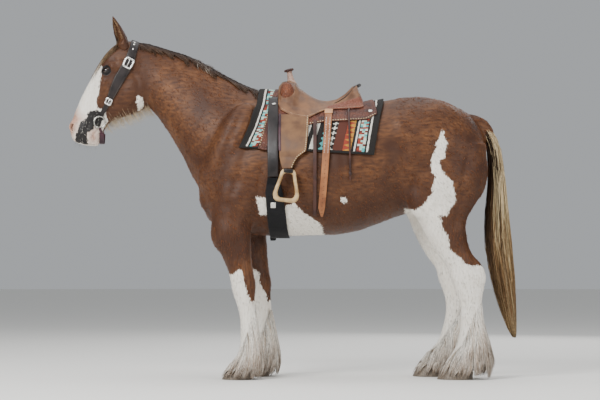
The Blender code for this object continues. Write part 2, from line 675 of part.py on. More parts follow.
def whole_flesh():
    """Trunk, neck, head, legs and dock as one smooth closed surface."""
    bm = bmesh.new()
    for sections in (TRUNK, NECK, HEAD, DOCK):
        loft(bm, sections, lambda i: 0.0)
    for side, fore, hind in (
        (-1, FORE_LEG, HIND_LEG),
        (1, shifted(FORE_LEG, FORE_FAR_SHIFT), shifted(HIND_LEG, HIND_FAR_SHIFT)),
    ):
        loft(bm, fore, spread(side * FORE_SPREAD, side * FORE_FOOT_SPREAD, len(fore)))
        loft(bm, hind, spread(side * HIND_SPREAD, side * HIND_FOOT_SPREAD, len(hind)))
    for (x, y, z), radii, pitch in MUSCLES:
        for side in (-1, 1):
            ellipsoid(bm, (x, side * y, z), radii, pitch)
    obj = new_object("flesh", mesh_from_bmesh("flesh", bm), bpy.context.scene.collection)
    remesh = obj.modifiers.new("remesh", "REMESH")
    remesh.mode = "VOXEL"
    remesh.voxel_size = VOXEL
    smooth = obj.modifiers.new("smooth", "SMOOTH")
    smooth.factor = 0.5
    smooth.iterations = 8
    baked(obj)
    return baked(obj)


def nearest_shell(mesh, place):
    """The closed surface whose middle lies nearest a point."""
    shells = shells_of(mesh)
    middles = [sum((mesh.vertices[i].co for i in shell), Vector()) / len(shell) for shell in shells]
    return min(zip(shells, middles), key=lambda pair: (pair[1] - Vector(place)).length)[0]


def portion(flesh, name, cuts, triangles, place, home):
    """One node of the flesh: what lies between its cuts near a place, with its own share of triangles."""
    bm = bmesh.new()
    bm.from_mesh(flesh.data)
    for cut in cuts:
        trim(bm, cut, MARGIN)
    mesh = mesh_from_bmesh(name, bm)
    if len(shells_of(mesh)) > 1:
        mesh = kept_shell(mesh, nearest_shell(mesh, place), name)
    obj = new_object(name, mesh, home)
    decimate = obj.modifiers.new("decimate", "DECIMATE")
    decimate.ratio = triangles / sum(len(f.vertices) - 2 for f in mesh.polygons)
    baked(obj)
    return largest_only(trimmed(obj, cuts))


def grown_copy(obj, gap):
    """A copy whose faces stand a little outside the object's own."""
    bm = bmesh.new()
    bm.from_mesh(obj.data)
    bm.normal_update()
    moves = [vert.normal * gap * min(vert.calc_shell_factor(), 2.0) for vert in bm.verts]
    for vert, move in zip(bm.verts, moves):
        vert.co += move
    return new_object("tool", mesh_from_bmesh("tool", bm), bpy.context.scene.collection)


def carve(obj, others, gap=1.5 * GAP):
    """Cuts obj clear of other nodes."""
    for other in others:
        combine(obj, [grown_copy(other, gap)], "DIFFERENCE")
    return largest_only(obj)


def join(obj, others):
    return largest_only(combine(obj, others, "UNION"))


def loft_object(name, sections, side_of, home, count=RING_POINTS, steps=3):
    bm = bmesh.new()
    loft(bm, sections, side_of, count, steps)
    return new_object(name, mesh_from_bmesh(name, bm), home)


def ball(name, centre, radii, home, pitch=0.0, segments=20, rings=12):
    bm = bmesh.new()
    ellipsoid(bm, centre, radii, pitch, segments, rings)
    return new_object(name, mesh_from_bmesh(name, bm), home)


def outline_plate(name, outlines, thickness, place, home):
    """A flat plate in its own x-y plane from closed outlines, the later ones being holes."""
    curve = bpy.data.curves.new(name, "CURVE")
    curve.dimensions = "2D"
    curve.fill_mode = "BOTH"
    curve.extrude = thickness / 2
    for outline in outlines:
        spline = curve.splines.new("POLY")
        spline.points.add(len(outline) - 1)
        for point, (x, y) in zip(spline.points, outline):
            point.co = (x, y, 0, 1)
        spline.use_cyclic_u = True
    shape = bpy.data.objects.new(name, curve)
    bpy.context.scene.collection.objects.link(shape)
    bm = bmesh.new()
    bm.from_mesh(evaluated_mesh(shape))
    bpy.data.objects.remove(shape, do_unlink=True)
    bmesh.ops.remove_doubles(bm, verts=bm.verts, dist=1e-5)
    bm.transform(place)
    return new_object(name, mesh_from_bmesh(name, bm), home)


def frame_matrix(origin, x_axis, z_axis):
    """A place whose z axis is given and whose x axis lies near the one given."""
    z = Vector(z_axis).normalized()
    y = z.cross(Vector(x_axis)).normalized()
    turn = Matrix((y.cross(z), y, z)).transposed()
    return Matrix.Translation(origin) @ turn.to_4x4()


def rounded_box(width, height, radius, corner_steps=2):
    """Outline of a rectangle with round corners."""
    points = []
    for quarter in range(4):
        across, up = ((1, 1), (-1, 1), (-1, -1), (1, -1))[quarter]
        for step in range(corner_steps + 1):
            angle = math.pi / 2 * (quarter + step / corner_steps)
            points.append(
                (
                    across * (width / 2 - radius) + radius * math.cos(angle),
                    up * (height / 2 - radius) + radius * math.sin(angle),
                )
            )
    return points


def surface_of(objects):
    """Several pieces together as one surface to measure on."""
    bm = bmesh.new()
    for obj in objects:
        bm.from_mesh(obj.data)
    tree = BVHTree.FromBMesh(bm)
    bm.free()
    return tree


def touch(tree, origin, outward):
    """The outermost point of a surface along a ray out of origin."""
    found = tree.ray_cast(origin + Vector(OFF_SEAM) + outward * REACH, -outward)[0]
    return found if found is not None else origin


def around(side, angle):
    """Direction across the body: 0 is up, and a quarter turn is out to the side."""
    return Vector((0, side * math.sin(angle), math.cos(angle)))


def on_barrel(tree, x, angle, side, lift=0.0):
    outward = around(side, angle)
    return touch(tree, Vector((x, 0, BARREL_AXIS_Z)), outward) + outward * lift


def angle_at(tree, x, z, side):
    """Where round the barrel its surface has a height, measured from straight up."""
    low, high = 0.0, math.pi
    for _ in range(16):
        middle = (low + high) / 2
        if on_barrel(tree, x, middle, side).z > z:
            low = middle
        else:
            high = middle
    return low


def slab_of(name, columns, rows, face, outward, under, home):
    """A closed sheet between two heights. face(u, v, lift) gives a point at a height above what is below."""
    bm = bmesh.new()
    for layer in (0, 1):
        grid = bmesh.ops.create_grid(bm, x_segments=columns, y_segments=rows, size=0.5)["verts"]
        for vert in grid:
            u, v = vert.co.x + 0.5, vert.co.y + 0.5
            vert.co = face(u, v, under if layer else outward(u, v))
    bmesh.ops.bridge_loops(bm, edges=[e for e in bm.edges if e.is_boundary])
    bmesh.ops.triangulate(bm, faces=bm.faces)
    return new_object(name, mesh_from_bmesh(name, bm), home)


def along_table(rows, t):
    """Values of a table at t, which runs from 0 to 1 over its rows."""
    places = np.linspace(0, 1, len(rows))
    return [float(np.interp(t, places, column)) for column in zip(*rows)]


def side_name(name, side):
    return f"{name}_left" if side < 0 else f"{name}_right"


def hoof(name, top, side, home):
    """A hoof under a coronet section, flat on the floor."""
    (x_front, z_front), (x_back, z_back), half = top[:3]
    rings = (
        ((x_front - 0.001, z_front), (x_back + 0.001, z_back), half - 0.001),
        ((x_front - 0.010, z_front - 0.012), (x_back + 0.004, z_back - 0.010), half + 0.005),
        ((x_front - HOOF_TOE_OUT, HOOF_EDGE), (x_back - 0.002, HOOF_EDGE), half + HOOF_FLARE),
        ((x_front - HOOF_TOE_OUT + 0.004, 0.0), (x_back - 0.006, 0.0), half + HOOF_FLARE - 0.004),
    )
    obj = loft_object(name, rings, lambda i: side, home, count=14, steps=1)
    return trimmed(obj, [flipped(plane_through(top[0], top[1]))])


def varied(draw, size, share):
    """A size made a little larger or smaller."""
    return size * (1 + draw.uniform(-share, share))


def lock(spine, facing, width, thick, home):
    """A flat lock along a line of points, tapered to its tip. facing tells where its flat side looks."""
    bm = bmesh.new()
    last = len(spine) - 1
    loops = []
    for i, point in enumerate(spine):
        along = (spine[min(i + 1, last)] - spine[max(i - 1, 0)]).normalized()
        across = along.cross(facing[i]).normalized()
        up = across.cross(along)
        wide = width / 2 * float(np.interp(i / last, *LOCK_TAPER))
        high = thick * (1 - 0.5 * i / last)
        if i < last:
            corners = (across * wide, up * high, -across * wide)
            loops.append([bm.verts.new(point + corner) for corner in corners])
    tip = bm.verts.new(spine[last])
    for a, b in zip(loops, loops[1:]):
        for i in range(3):
            bm.faces.new((a[i], a[i - 1], b[i - 1], b[i]))
    for i in range(3):
        bm.faces.new((loops[-1][i], loops[-1][i - 1], tip))
    bm.faces.new(loops[0])
    bmesh.ops.triangulate(bm, faces=bm.faces)
    return new_object("lock", mesh_from_bmesh("lock", bm), home)


def outline_at(table, z):
    """Middle x, half length and half width of a table of upright sections at a height."""
    rows = sorted(((s[0][1] + s[1][1]) / 2, s[0][0], s[1][0], s[2]) for s in table)
    heights = [row[0] for row in rows]
    front, back, half = (float(np.interp(z, heights, [row[i] for row in rows])) for i in (1, 2, 3))
    return (front + back) / 2, (back - front) / 2, half


def feather(leg, bell, side, draw, home):
    """Locks that hang round a lower leg out to the feather's outline and down to the floor."""
    made = []
    for count, first, final, top, low, width in FEATHER_ROWS:
        for i in range(count):
            turn = math.radians(first + (final - first) * i / max(count - 1, 1) + draw.uniform(-3, 3))
            away = Vector((-math.cos(turn), math.sin(turn), 0))
            start = varied(draw, top, 0.05)
            end = max(low + draw.uniform(0, 0.02), LOWEST_TIP)
            out = (1.0 if i % 2 else FEATHER_UNDER) * draw.uniform(0.97, 1.0)
            spine, facing = [], []
            for step, reach in enumerate(FEATHER_REACH):
                z = start + (end - start) * step / (len(FEATHER_REACH) - 1)
                mid_leg, long_leg, wide_leg = outline_at(leg[-8:], z)
                mid_bell, long_bell, wide_bell = outline_at(bell, z)
                near = Vector((mid_leg + away.x * long_leg, side + away.y * wide_leg, z))
                far = Vector((mid_bell + away.x * long_bell * out, side + away.y * wide_bell * out, z))
                point = near.lerp(far, reach)
                if (point - near).dot(away) < LOCK_STAND:
                    point = near + away * LOCK_STAND
                spine.append(near - away * SUNK if reach < 0 else point)
                facing.append((away + Vector((0, 0, 0.4))).normalized())
            made.append(lock(spine, facing, varied(draw, width, 0.1), LOCK_THICK, home))
    return made


def mane(neck, draw, home):
    """Locks rooted along the crest, nearly all falling to the far side."""
    tree = surface_of([neck])
    made = []
    for side, count, (first, last), drop in MANE_ROWS:
        for i in range(count):
            x = first + (last - first) * (i + 0.5 + draw.uniform(-0.1, 0.1)) / count
            crest = touch(tree, Vector((x, 0, CREST_FROM_Z)), Vector((0, 0, 1)))
            fall = varied(draw, drop, 0.12)
            stand = LOCK_STAND + (LOCK_THICK + 0.002 if i % 2 else 0.0)
            spine = [crest - Vector((0, 0, SUNK)), crest + Vector((0, side * MANE_BEND, MANE_RISE))]
            facing = [Vector((0, side, 0)), Vector((0, side * 0.7, 0.7))]
            for step in MANE_STEPS:
                place = Vector((x + MANE_SLANT * step, 0, crest.z - fall * step))
                on_skin = touch(tree, place, Vector((0, side, 0)))
                spine.append(on_skin + Vector((0, side * stand, 0)))
                facing.append(Vector((0, side, 0.2)).normalized())
            made.append(lock(spine, facing, varied(draw, MANE_WIDTH, 0.1), LOCK_THICK, home))
    return made


def forelock(head, draw, home):
    """Thin locks from between the ears down the forehead."""
    tree = surface_of([head])
    outward = Vector(FORELOCK_OUT).normalized()
    made = []
    for i in range(FORELOCK_LOCKS):
        across = 2 * i / (FORELOCK_LOCKS - 1) - 1
        reach = 1 - FORELOCK_SHORTER * abs(across) - draw.uniform(0, 0.08)
        spine = []
        for k in range(FORELOCK_STEPS):
            x, z, y = along_table(FORELOCK_LINE, reach * k / (FORELOCK_STEPS - 1))
            lift = LOCK_STAND if k else -SUNK
            spine.append(touch_near(tree, Vector((x, y * across, z)), outward) + outward * lift)
        facing = [outward] * FORELOCK_STEPS
        made.append(lock(spine, facing, varied(draw, FORELOCK_WIDTH, 0.1), FORELOCK_THICK, home))
    return made


def tail_hair(draw, home):
    """A core half the tail's size, and locks round it from the dock to the tail's outline and tip."""
    core = [
        (*shrunk(s[0], s[1], TAIL_CORE), s[2] * TAIL_CORE * TAIL_CORE_WIDER) for s in TAIL[:TAIL_CORE_LOW]
    ]
    made = [loft_object("core", core, lambda i: 0.0, home, count=8, steps=1)]
    for i in range(TAIL_LOCKS):
        turn = 2 * math.pi * (i + draw.uniform(-0.1, 0.1)) / TAIL_LOCKS
        end = draw.uniform(0.0, TAIL_SHORTER) if i % 3 else 0.0
        spine, facing = [], []
        for step, reach in enumerate(TAIL_REACH):
            row = step / (len(TAIL_REACH) - 1) * (len(TAIL) - 1 - 2 * end)
            front, back, half = along_rows(TAIL, row)
            middle, arm = (front + back) / 2, (back - front) / 2
            away = arm * math.cos(turn) + Vector((0, half * math.sin(turn), 0))
            spine.append(middle + away * reach * (1.0 if i % 2 else TAIL_UNDER))
            facing.append(away.normalized())
        width = TAIL_GIRTH / TAIL_LOCKS * TAIL_LOCK_WIDER
        made.append(lock(spine, facing, width, TAIL_LOCK_THICK, home))
    return made


def shrunk(first, second, share):
    """Two (x, z) points drawn in towards their middle."""
    middle = ((first[0] + second[0]) / 2, (first[1] + second[1]) / 2)
    return tuple(
        (middle[0] + (p[0] - middle[0]) * share, middle[1] + (p[1] - middle[1]) * share)
        for p in (first, second)
    )


def along_rows(table, row):
    """A table's front point, back point and half width between two of its rows."""
    flat = [(s[0][0], s[0][1], s[1][0], s[1][1], s[2]) for s in table]
    places = range(len(flat))
    values = [float(np.interp(row, places, column)) for column in zip(*flat)]
    return Vector((values[0], 0, values[1])), Vector((values[2], 0, values[3])), values[4]


def foot(flesh, name, leg, bell, top_z, side, place, home):
    """Lower leg with its feather, and the hoof under it."""
    coronet = leg[-2]
    coronet_plane = plane_through(coronet[0], coronet[1])
    obj = portion(
        flesh, name, (level_plane(top_z), coronet_plane), FOOT_TRIANGLES, place, home
    )
    draw = random.Random(name)
    join(obj, feather(leg, bell, side, draw, home))
    return obj, coronet


def level_plane(z, up=True):
    """A level cut that clears away what is above it, or below it."""
    return Vector((0, 0, z)), Vector((0, 0, 1 if up else -1))


def legs(flesh, home):
    """Upper legs, feathered lower legs and hooves."""
    made = []
    for side in (-1, 1):
        for name, table, shifts, bell, spread_out, knee in (
            ("fore", FORE_LEG, FORE_FAR_SHIFT, FORE_BELL, FORE_FOOT_SPREAD, CUT_FORE_FOOT_Z),
            ("hind", HIND_LEG, HIND_FAR_SHIFT, HIND_BELL, HIND_FOOT_SPREAD, CUT_HIND_FOOT_Z),
        ):
            leg, shift = table, 0.0
            if side > 0:
                leg, shift = shifted(table, shifts), shifts[-2]
            middle = (leg[-6][0][0], side * spread_out, 0.65)
            made.append(
                portion(
                    flesh,
                    side_name(f"{name}leg", side),
                    (level_plane(CUT_LEG_Z), level_plane(knee, up=False)),
                    LEG_TRIANGLES,
                    middle,
                    home,
                )
            )
            low = (leg[-2][0][0], side * spread_out, 0.2)
            feather = shifted(bell, [shift] * len(bell))
            lower, coronet = foot(
                flesh, side_name(f"{name}foot", side), leg, feather, knee, side * spread_out, low, home
            )
            shoe = hoof(side_name(f"{name}_hoof", side), coronet, side * spread_out, home)
            carve(lower, [shoe])
            made += [lower, shoe]
    return made


def almond(half_length, up, down, steps=5):
    """Outline of the opening between the lids."""
    points = []
    for i in range(2 * steps):
        angle = math.pi * i / steps
        tall = up if math.sin(angle) >= 0 else down
        points.append((half_length * math.cos(angle), tall * math.sin(angle) * abs(math.sin(angle)) ** 0.3))
    return points


def head_details(head, home):
    """Lids, eye sockets, nostrils and the line of the mouth."""
    x, y, z = EYE_CENTRE
    lids, cutters = [], []
    for side in (-1, 1):
        centre = Vector((x, side * y, z))
        lids.append(ball("lids", centre, [EYE_RADIUS + LID_THICKNESS] * 3, home, segments=14, rings=8))
        outward = Vector((EYE_LOOK[0], side * EYE_LOOK[1], EYE_LOOK[2])).normalized()
        place = frame_matrix(centre + outward * OPENING_OUT, EYE_SLANT, outward)
        cutters.append(outline_plate("opening", [almond(*EYE_OPENING)], OPENING_DEEP, place, home))
        cutters.append(ball("socket", centre, [EYE_RADIUS + GAP] * 3, home, segments=12, rings=7))
        nx, ny, nz = NOSTRIL
        cutters.append(ball("nostril", (nx, side * ny, nz), NOSTRIL_RADII, home, 24, 10, 6))
    join(head, lids)
    rows = len(MOUTH_LINE) - 1
    mouth = slab_of(
        "mouth",
        1,
        rows,
        lambda u, v, lift: mouth_point(u, v, lift),
        lambda u, v: MOUTH_SLOT / 2,
        -MOUTH_SLOT / 2,
        home,
    )
    for cutter in [*cutters, mouth]:
        combine(head, [cutter], "DIFFERENCE")
    return largest_only(head)


def mouth_point(u, v, lift):
    x, z = along_table(MOUTH_LINE, v)
    return Vector((x, (u - 0.5) * MOUTH_WIDE, z + lift))


def eyes(home):
    x, y, z = EYE_CENTRE
    for side in (-1, 1):
        ball(side_name("eye", side), (x, side * y, z), [EYE_RADIUS] * 3, home, segments=12, rings=7)


def ear(side, home):
    """A cupped ear: a leaf-shaped form hollowed from the front."""
    base = Vector((EAR_BASE[0], side * EAR_BASE[1], EAR_BASE[2]))
    tip = Vector((EAR_TIP[0], side * EAR_TIP[1], EAR_TIP[2]))
    length = (tip - base).length
    opening = Vector((EAR_OPENING[0], side * EAR_OPENING[1], EAR_OPENING[2]))
    place = frame_matrix(base, opening, tip - base)
    ear_obj, cup = None, None
    for name, rings, forward in (("ear", EAR_RINGS, 0.0), ("cup", CUP_RINGS, 1.0)):
        bm = bmesh.new()
        loops = []
        for height, wide, deep, ahead in rings:
            ring = []
            for i in range(EAR_POINTS):
                angle = 2 * math.pi * i / EAR_POINTS
                ring.append(
                    bm.verts.new(
                        place
                        @ Vector((ahead + deep * math.cos(angle), wide * math.sin(angle), height * length))
                    )
                )
            loops.append(ring)
        for a, b in zip(loops, loops[1:]):
            for i in range(EAR_POINTS):
                j = (i + 1) % EAR_POINTS
                bm.faces.new((a[i], a[j], b[j], b[i]))
        bm.faces.new(loops[0])
        bm.faces.new(loops[-1])
        made = new_object(side_name(name, side), mesh_from_bmesh(name, bm), home)
        if forward:
            cup = made
        else:
            ear_obj = made
    combine(ear_obj, [cup], "DIFFERENCE")
    return largest_only(ear_obj)


def blanket(tree, torso, home):
    def face(u, v, lift):
        side = -1 if v < 0.5 else 1
        down = abs(2 * v - 1)
        x_front = float(np.interp(down, *BLANKET_FRONT))
        x_rear = float(np.interp(down, *BLANKET_REAR))
        bottom = BLANKET_BOTTOM[0] + (BLANKET_BOTTOM[1] - BLANKET_BOTTOM[0]) * u
        x = x_front + (x_rear - x_front) * u
        return on_barrel(tree, x, down * angle_at(tree, x, bottom, side), side, lift)

    obj = slab_of("saddle_blanket", 5, 10, face, lambda u, v: BLANKET_TOP, BLANKET_UNDER, home)
    return carve(obj, [torso])


def skirts(tree, below, home):
    def face(u, v, lift):
        side = -1 if v < 0.5 else 1
        down = abs(2 * v - 1)
        x_top, x_bottom, z_bottom = along_table(SKIRT_STATIONS, u)
        x = x_top + (x_bottom - x_top) * down
        return on_barrel(tree, x, down * angle_at(tree, x, z_bottom, side), side, lift)

    rows = len(SKIRT_STATIONS) - 1
    obj = slab_of("saddle_skirts", rows, 8, face, lambda u, v: SKIRT_TOP, SKIRT_UNDER, home)
    return carve(obj, below)


def seat(tree, below, home):
    """Fork, seat and cantle over the skirts, with the jockeys that hang from them."""

    def face(u, v, lift):
        side = -1 if v < 0.5 else 1
        down = abs(2 * v - 1)
        x, _, z_bottom = along_table(SEAT_STATIONS, u)
        return on_barrel(tree, x, down * angle_at(tree, x, z_bottom, side), side, lift)

    def rise(u, v):
        _, high, _ = along_table(SEAT_STATIONS, u)
        down = abs(2 * v - 1)
        return SEAT_UNDER + LEATHER + high * float(np.interp(down, *SEAT_FALL))

    obj = slab_of("saddle_seat", len(SEAT_STATIONS) - 1, 10, face, rise, SEAT_UNDER, home)
    return carve(obj, below)


def horn(seat_obj, home):
    neck = Vector(HORN_TOP) - Vector(HORN_FOOT)
    bm = bmesh.new()
    place = frame_matrix((Vector(HORN_FOOT) + Vector(HORN_TOP)) / 2, (1, 0, 0), neck)
    bmesh.ops.create_cone(
        bm,
        cap_ends=True,
        segments=12,
        radius1=HORN_RADII[0],
        radius2=HORN_RADII[1],
        depth=neck.length,
        matrix=place,
    )
    obj = new_object("saddle_horn", mesh_from_bmesh("saddle_horn", bm), home)
    bm = bmesh.new()
    cap = frame_matrix(HORN_TOP, (1, 0, 0), HORN_LEAN) @ Matrix.Diagonal((*HORN_CAP, 1))
    bmesh.ops.create_uvsphere(bm, u_segments=12, v_segments=6, radius=1.0, matrix=cap)
    join(obj, [new_object("cap", mesh_from_bmesh("cap", bm), home)])
    return carve(obj, [seat_obj])


def hanging(name, side, tree, stations, thickness, others, home, rows=8, columns=1):
    """A strap or panel down the side. Each station is (z, front x, rear x, height of its underside)."""

    def face(u, v, lift):
        z, x_front, x_rear, height = along_table(stations, v)
        x = x_front + (x_rear - x_front) * u
        return on_barrel(tree, x, angle_at(tree, x, z, side), side, height + lift)

    obj = slab_of(side_name(name, side), columns, rows, face, lambda u, v: thickness, 0.0, home)
    return carve(obj, others)


def cinch(tree, torso, home):
    def face(u, v, lift):
        below = 1 - abs(2 * v - 1)
        middle, half = (float(np.interp(below, CINCH_WAY[0], row)) for row in CINCH_WAY[1:])
        start = angle_at(tree, middle, CINCH_TOP_Z, -1)
        angle = start + (2 * math.pi - 2 * start) * v
        return on_barrel(tree, middle + (2 * u - 1) * half, angle, -1, lift)

    obj = slab_of("cinch", 2, 16, face, lambda u, v: CINCH_TOP, CINCH_UNDER, home)
    return carve(obj, [torso])


def stirrup(side, home):
    """A wooden stirrup: a bell-shaped loop with a flat tread."""
    middle = (STIRRUP_CENTRE[0], side * STIRRUP_CENTRE[1], STIRRUP_CENTRE[2])
    lean = (math.cos(STIRRUP_SWING), 0, math.sin(STIRRUP_SWING))
    place = frame_matrix(middle, lean, (0, -1, 0))
    bm = bmesh.new()
    corners = []
    for way in (1, -1):
        for pair in STIRRUP_HALF[::way]:
            corner = []
            for (half, height), depth in itertools.product(pair, (-0.5, 0.5)):
                corner.append(bm.verts.new(place @ Vector((way * half, height, depth * STIRRUP_DEPTH))))
            corners.append(corner)
    for here, there in zip(corners, corners[1:] + corners[:1]):
        for a, b in ((0, 1), (1, 3), (3, 2), (2, 0)):
            bm.faces.new((here[a], here[b], there[b], there[a]))
    bmesh.ops.triangulate(bm, faces=bm.faces)
    name = side_name("stirrup", side)
    return new_object(name, mesh_from_bmesh(name, bm), home)


def ribbon(name, tree, stations, thickness, below, home, rows, columns=1):
    """A strap round the head. Each station is (x, z, turn from up in degrees, half width)."""
    def centre(v):
        x, z, turn, half = along_table(stations, v)
        outward = around(-1, math.radians(turn))
        return touch(tree, Vector((x, 0, z)), outward), outward, half

    def face(u, v, lift):
        middle, outward, half = centre(v)
        ahead, behind = centre(min(1.0, v + STRAP_STEP))[0], centre(max(0.0, v - STRAP_STEP))[0]
        across = outward.cross(ahead - behind).normalized()
        shifted_to = middle + across * half * (2 * u - 1)
        start = shifted_to - outward * INSIDE
        return touch_near(tree, start, outward) + outward * lift

    obj = slab_of(name, columns, rows, face, lambda u, v: thickness, STRAP_UNDER, home)
    return carve(obj, below)


def chin_strap(head, rings, home):
    """The strap from ring to ring that lies under the chin."""
    tree = surface_of([head])
    x, z = CHIN_PLACE

    def face(u, v, lift):
        outward = around(-1, CHIN_TURN + (2 * math.pi - 2 * CHIN_TURN) * v)
        starts = [Vector((x + CHIN_HALF * step, 0, z)) for step in (-1, 0, 1)]
        radius = max((touch(tree, start, outward) - start).length for start in starts)
        return Vector((x + CHIN_HALF * (2 * u - 1), 0, z)) + outward * (radius + lift)

    strap = slab_of("chin_strap", 1, 14, face, lambda u, v: STRAP_THICK, STRAP_UNDER, home)
    return carve(strap, [head, *rings])


def touch_near(tree, start, outward):
    """The surface met when coming in from a little outside."""
    found = tree.ray_cast(start + Vector(OFF_SEAM) + outward * OUTSIDE, -outward)[0]
    return found if found is not None else start


def headstall(head, ears, home):
    tree = surface_of([head])
    other = [(x, z, -turn, width) for x, z, turn, width in reversed(HEADSTALL_STATIONS[:-1])]
    stations = [*HEADSTALL_STATIONS, *other]
    strap = ribbon("headstall", tree, stations, STRAP_THICK, [head, *ears], home, rows=30)
    rings = []
    for side in (-1, 1):
        for name, (x, z), size in (
            ("cheek_buckle", UPPER_BUCKLE, CHEEK_BUCKLE_SIZE),
            ("bit_buckle", LOWER_BUCKLE, BIT_BUCKLE_SIZE),
        ):
            around_here = surface_of([head, strap])
            out = Vector((0, side, 0))
            near = [touch(around_here, Vector((x + dx, 0, z + dz)), out) for dx, dz in BUCKLE_FEELERS]
            normal = (near[1] - near[0]).cross(near[2] - near[0]).normalized()
            if normal.y * side < 0:
                normal.negate()
            place = frame_matrix(near[0] + normal * BUCKLE_STANDOFF, STRAP_LEAN, normal)
            loops = [
                rounded_box(size[1], size[0], BUCKLE_CORNERS[0]),
                rounded_box(size[1] - 2 * BUCKLE_BAR, size[0] - 2 * BUCKLE_BAR, BUCKLE_CORNERS[1]),
            ]
            buckle = outline_plate(side_name(name, side), loops, BUCKLE_THICK, place, home)
            carve(buckle, [strap])
        cheek = touch(tree, Vector((RING_PLACE[0], 0, RING_PLACE[1])), Vector((0, side, 0)))
        bm = bmesh.new()
        circle = bmesh.ops.create_circle(bm, segments=5, radius=RING_WIRE)["verts"]
        bmesh.ops.translate(bm, verts=circle, vec=(RING_RADIUS, 0, 0))
        bmesh.ops.rotate(
            bm, verts=circle, cent=(RING_RADIUS, 0, 0), matrix=Matrix.Rotation(math.pi / 2, 3, "X")
        )
        bmesh.ops.spin(
            bm,
            geom=bm.verts[:] + bm.edges[:],
            cent=(0, 0, 0),
            axis=(0, 0, 1),
            angle=2 * math.pi,
            steps=14,
            use_merge=True,
        )
        bmesh.ops.remove_doubles(bm, verts=bm.verts, dist=1e-5)
        ring_middle = Vector((RING_PLACE[0], cheek.y + side * RING_STANDOFF, RING_PLACE[1]))
        bm.transform(frame_matrix(ring_middle, (1, 0, 0), (RING_SPLAY, side, 0)))
        ring = new_object(side_name("bit_ring", side), mesh_from_bmesh("bit_ring", bm), home)
        rings.append(carve(ring, [head, strap]))
    return rings


def bit_bar(head, rings, home):
    """The bar of the bit, which passes through the mouth from ring to ring."""
    place = frame_matrix((BIT_PLACE[0], 0, BIT_PLACE[1]), (1, 0, 0), (0, 1, 0))
    bm = bmesh.new()
    bmesh.ops.create_cone(
        bm, cap_ends=True, segments=8, radius1=BIT_RADIUS, radius2=BIT_RADIUS, depth=BIT_LENGTH, matrix=place
    )
    bar = new_object("bit_mouthpiece", mesh_from_bmesh("bit_mouthpiece", bm), home)
    carve(head, [bar])
    return carve(bar, rings)


def finished(obj):
    """Gives the node a material of its own and a plain mesh."""
    colour, roughness, metallic = FINISHES["hair"]
    for key, finish in FINISHES.items():
        if obj.name.startswith(key):
            colour, roughness, metallic = finish
    material = bpy.data.materials.new(obj.name)
    material.use_nodes = True
    shader = material.node_tree.nodes["Principled BSDF"]
    shader.inputs["Base Color"].default_value = (*colour, 1.0)
    shader.inputs["Roughness"].default_value = roughness
    shader.inputs["Metallic"].default_value = metallic
    material.diffuse_color = (*colour, 1.0)
    obj.data.materials.clear()
    obj.data.materials.append(material)
    bm = bmesh.new()
    bm.from_mesh(obj.data)
    bmesh.ops.triangulate(bm, faces=bm.faces)
    bm.to_mesh(obj.data)
    bm.free()


def tack(tree, torso, home):
    """Blanket, saddle, straps and cinch, from the back outwards."""
    cloth = blanket(tree, torso, home)
    under = skirts(tree, [cloth], home)
    saddle = seat(tree, [under], home)
    horn(saddle, home)
    base = [torso, cloth, under, saddle]
    band = cinch(surface_of([torso]), torso, home)
    for side in (-1, 1):
        centre = (ROLL_CENTRE[0], side * ROLL_CENTRE[1], ROLL_CENTRE[2])
        carve(ball(side_name("bucking_roll", side), centre, ROLL_RADII, home, 0.0, 12, 6), base)
        panel = hanging("fender", side, tree, FENDER, LEATHER, base, home, rows=7, columns=2)
        hanging("latigo", side, tree, LATIGO, LEATHER, [*base, panel, band], home)
        hanging("rear_billet", side, tree, REAR_BILLET, LEATHER, base, home, rows=10)
        hanging("rear_strap", side, tree, REAR_STRAP, LEATHER, base, home)
        hanging("saddle_string", side, tree, SADDLE_STRING, LEATHER, base, home, rows=7)
        stirrup(side, home)
        hanging("cinch_plate", side, tree, CINCH_PLATE, PLATE_THICK, [band], home, 1)


def main():
    clear_scene()
    home = collection("clydesdale_horse")
    flesh = whole_flesh()
    largest_only(flesh)
    poll = plane_through(*POLL_CUT)
    withers = plane_through(*WITHERS_CUT)
    dock = plane_through(*DOCK_CUT)
    head = portion(flesh, "head", [flipped(poll)], HEAD_TRIANGLES, (-1.1, 0, 1.8), home)
    neck = portion(flesh, "neck", [poll, flipped(withers)], NECK_TRIANGLES, (-0.6, 0, 1.6), home)
    torso = portion(
        flesh,
        "torso",
        [withers, flipped(dock), level_plane(CUT_LEG_Z, up=False)],
        TORSO_TRIANGLES,
        (0.3, 0, 1.3),
        home,
    )
    tail = portion(flesh, "tail", [dock], DOCK_TRIANGLES, (1.18, 0, 1.45), home)
    draw = random.Random(7)
    join(tail, tail_hair(draw, home))
    carve(tail, [torso])
    join(neck, mane(neck, draw, home))
    trimmed(neck, [poll, flipped(withers)])
    legs(flesh, home)
    head_details(head, home)
    join(head, forelock(head, draw, home))
    eyes(home)
    ears = [ear(side, home) for side in (-1, 1)]
    for each in ears:
        carve(each, [head])
    rings = headstall(head, ears, home)
    bit_bar(head, rings, home)
    chin_strap(head, rings, home)
    tack(surface_of([flesh]), torso, home)
    bpy.data.objects.remove(flesh, do_unlink=True)
    for obj in home.objects:
        finished(obj)


main()
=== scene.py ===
"""The looks of a life-size Clydesdale horse under a stock saddle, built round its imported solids."""

import logging
import math
from collections.abc import Callable, Sequence
from dataclasses import dataclass, field
from enum import Enum

import bmesh
import bpy
import numpy as np
from mathutils import Matrix, Vector
from mathutils.bvhtree import BVHTree


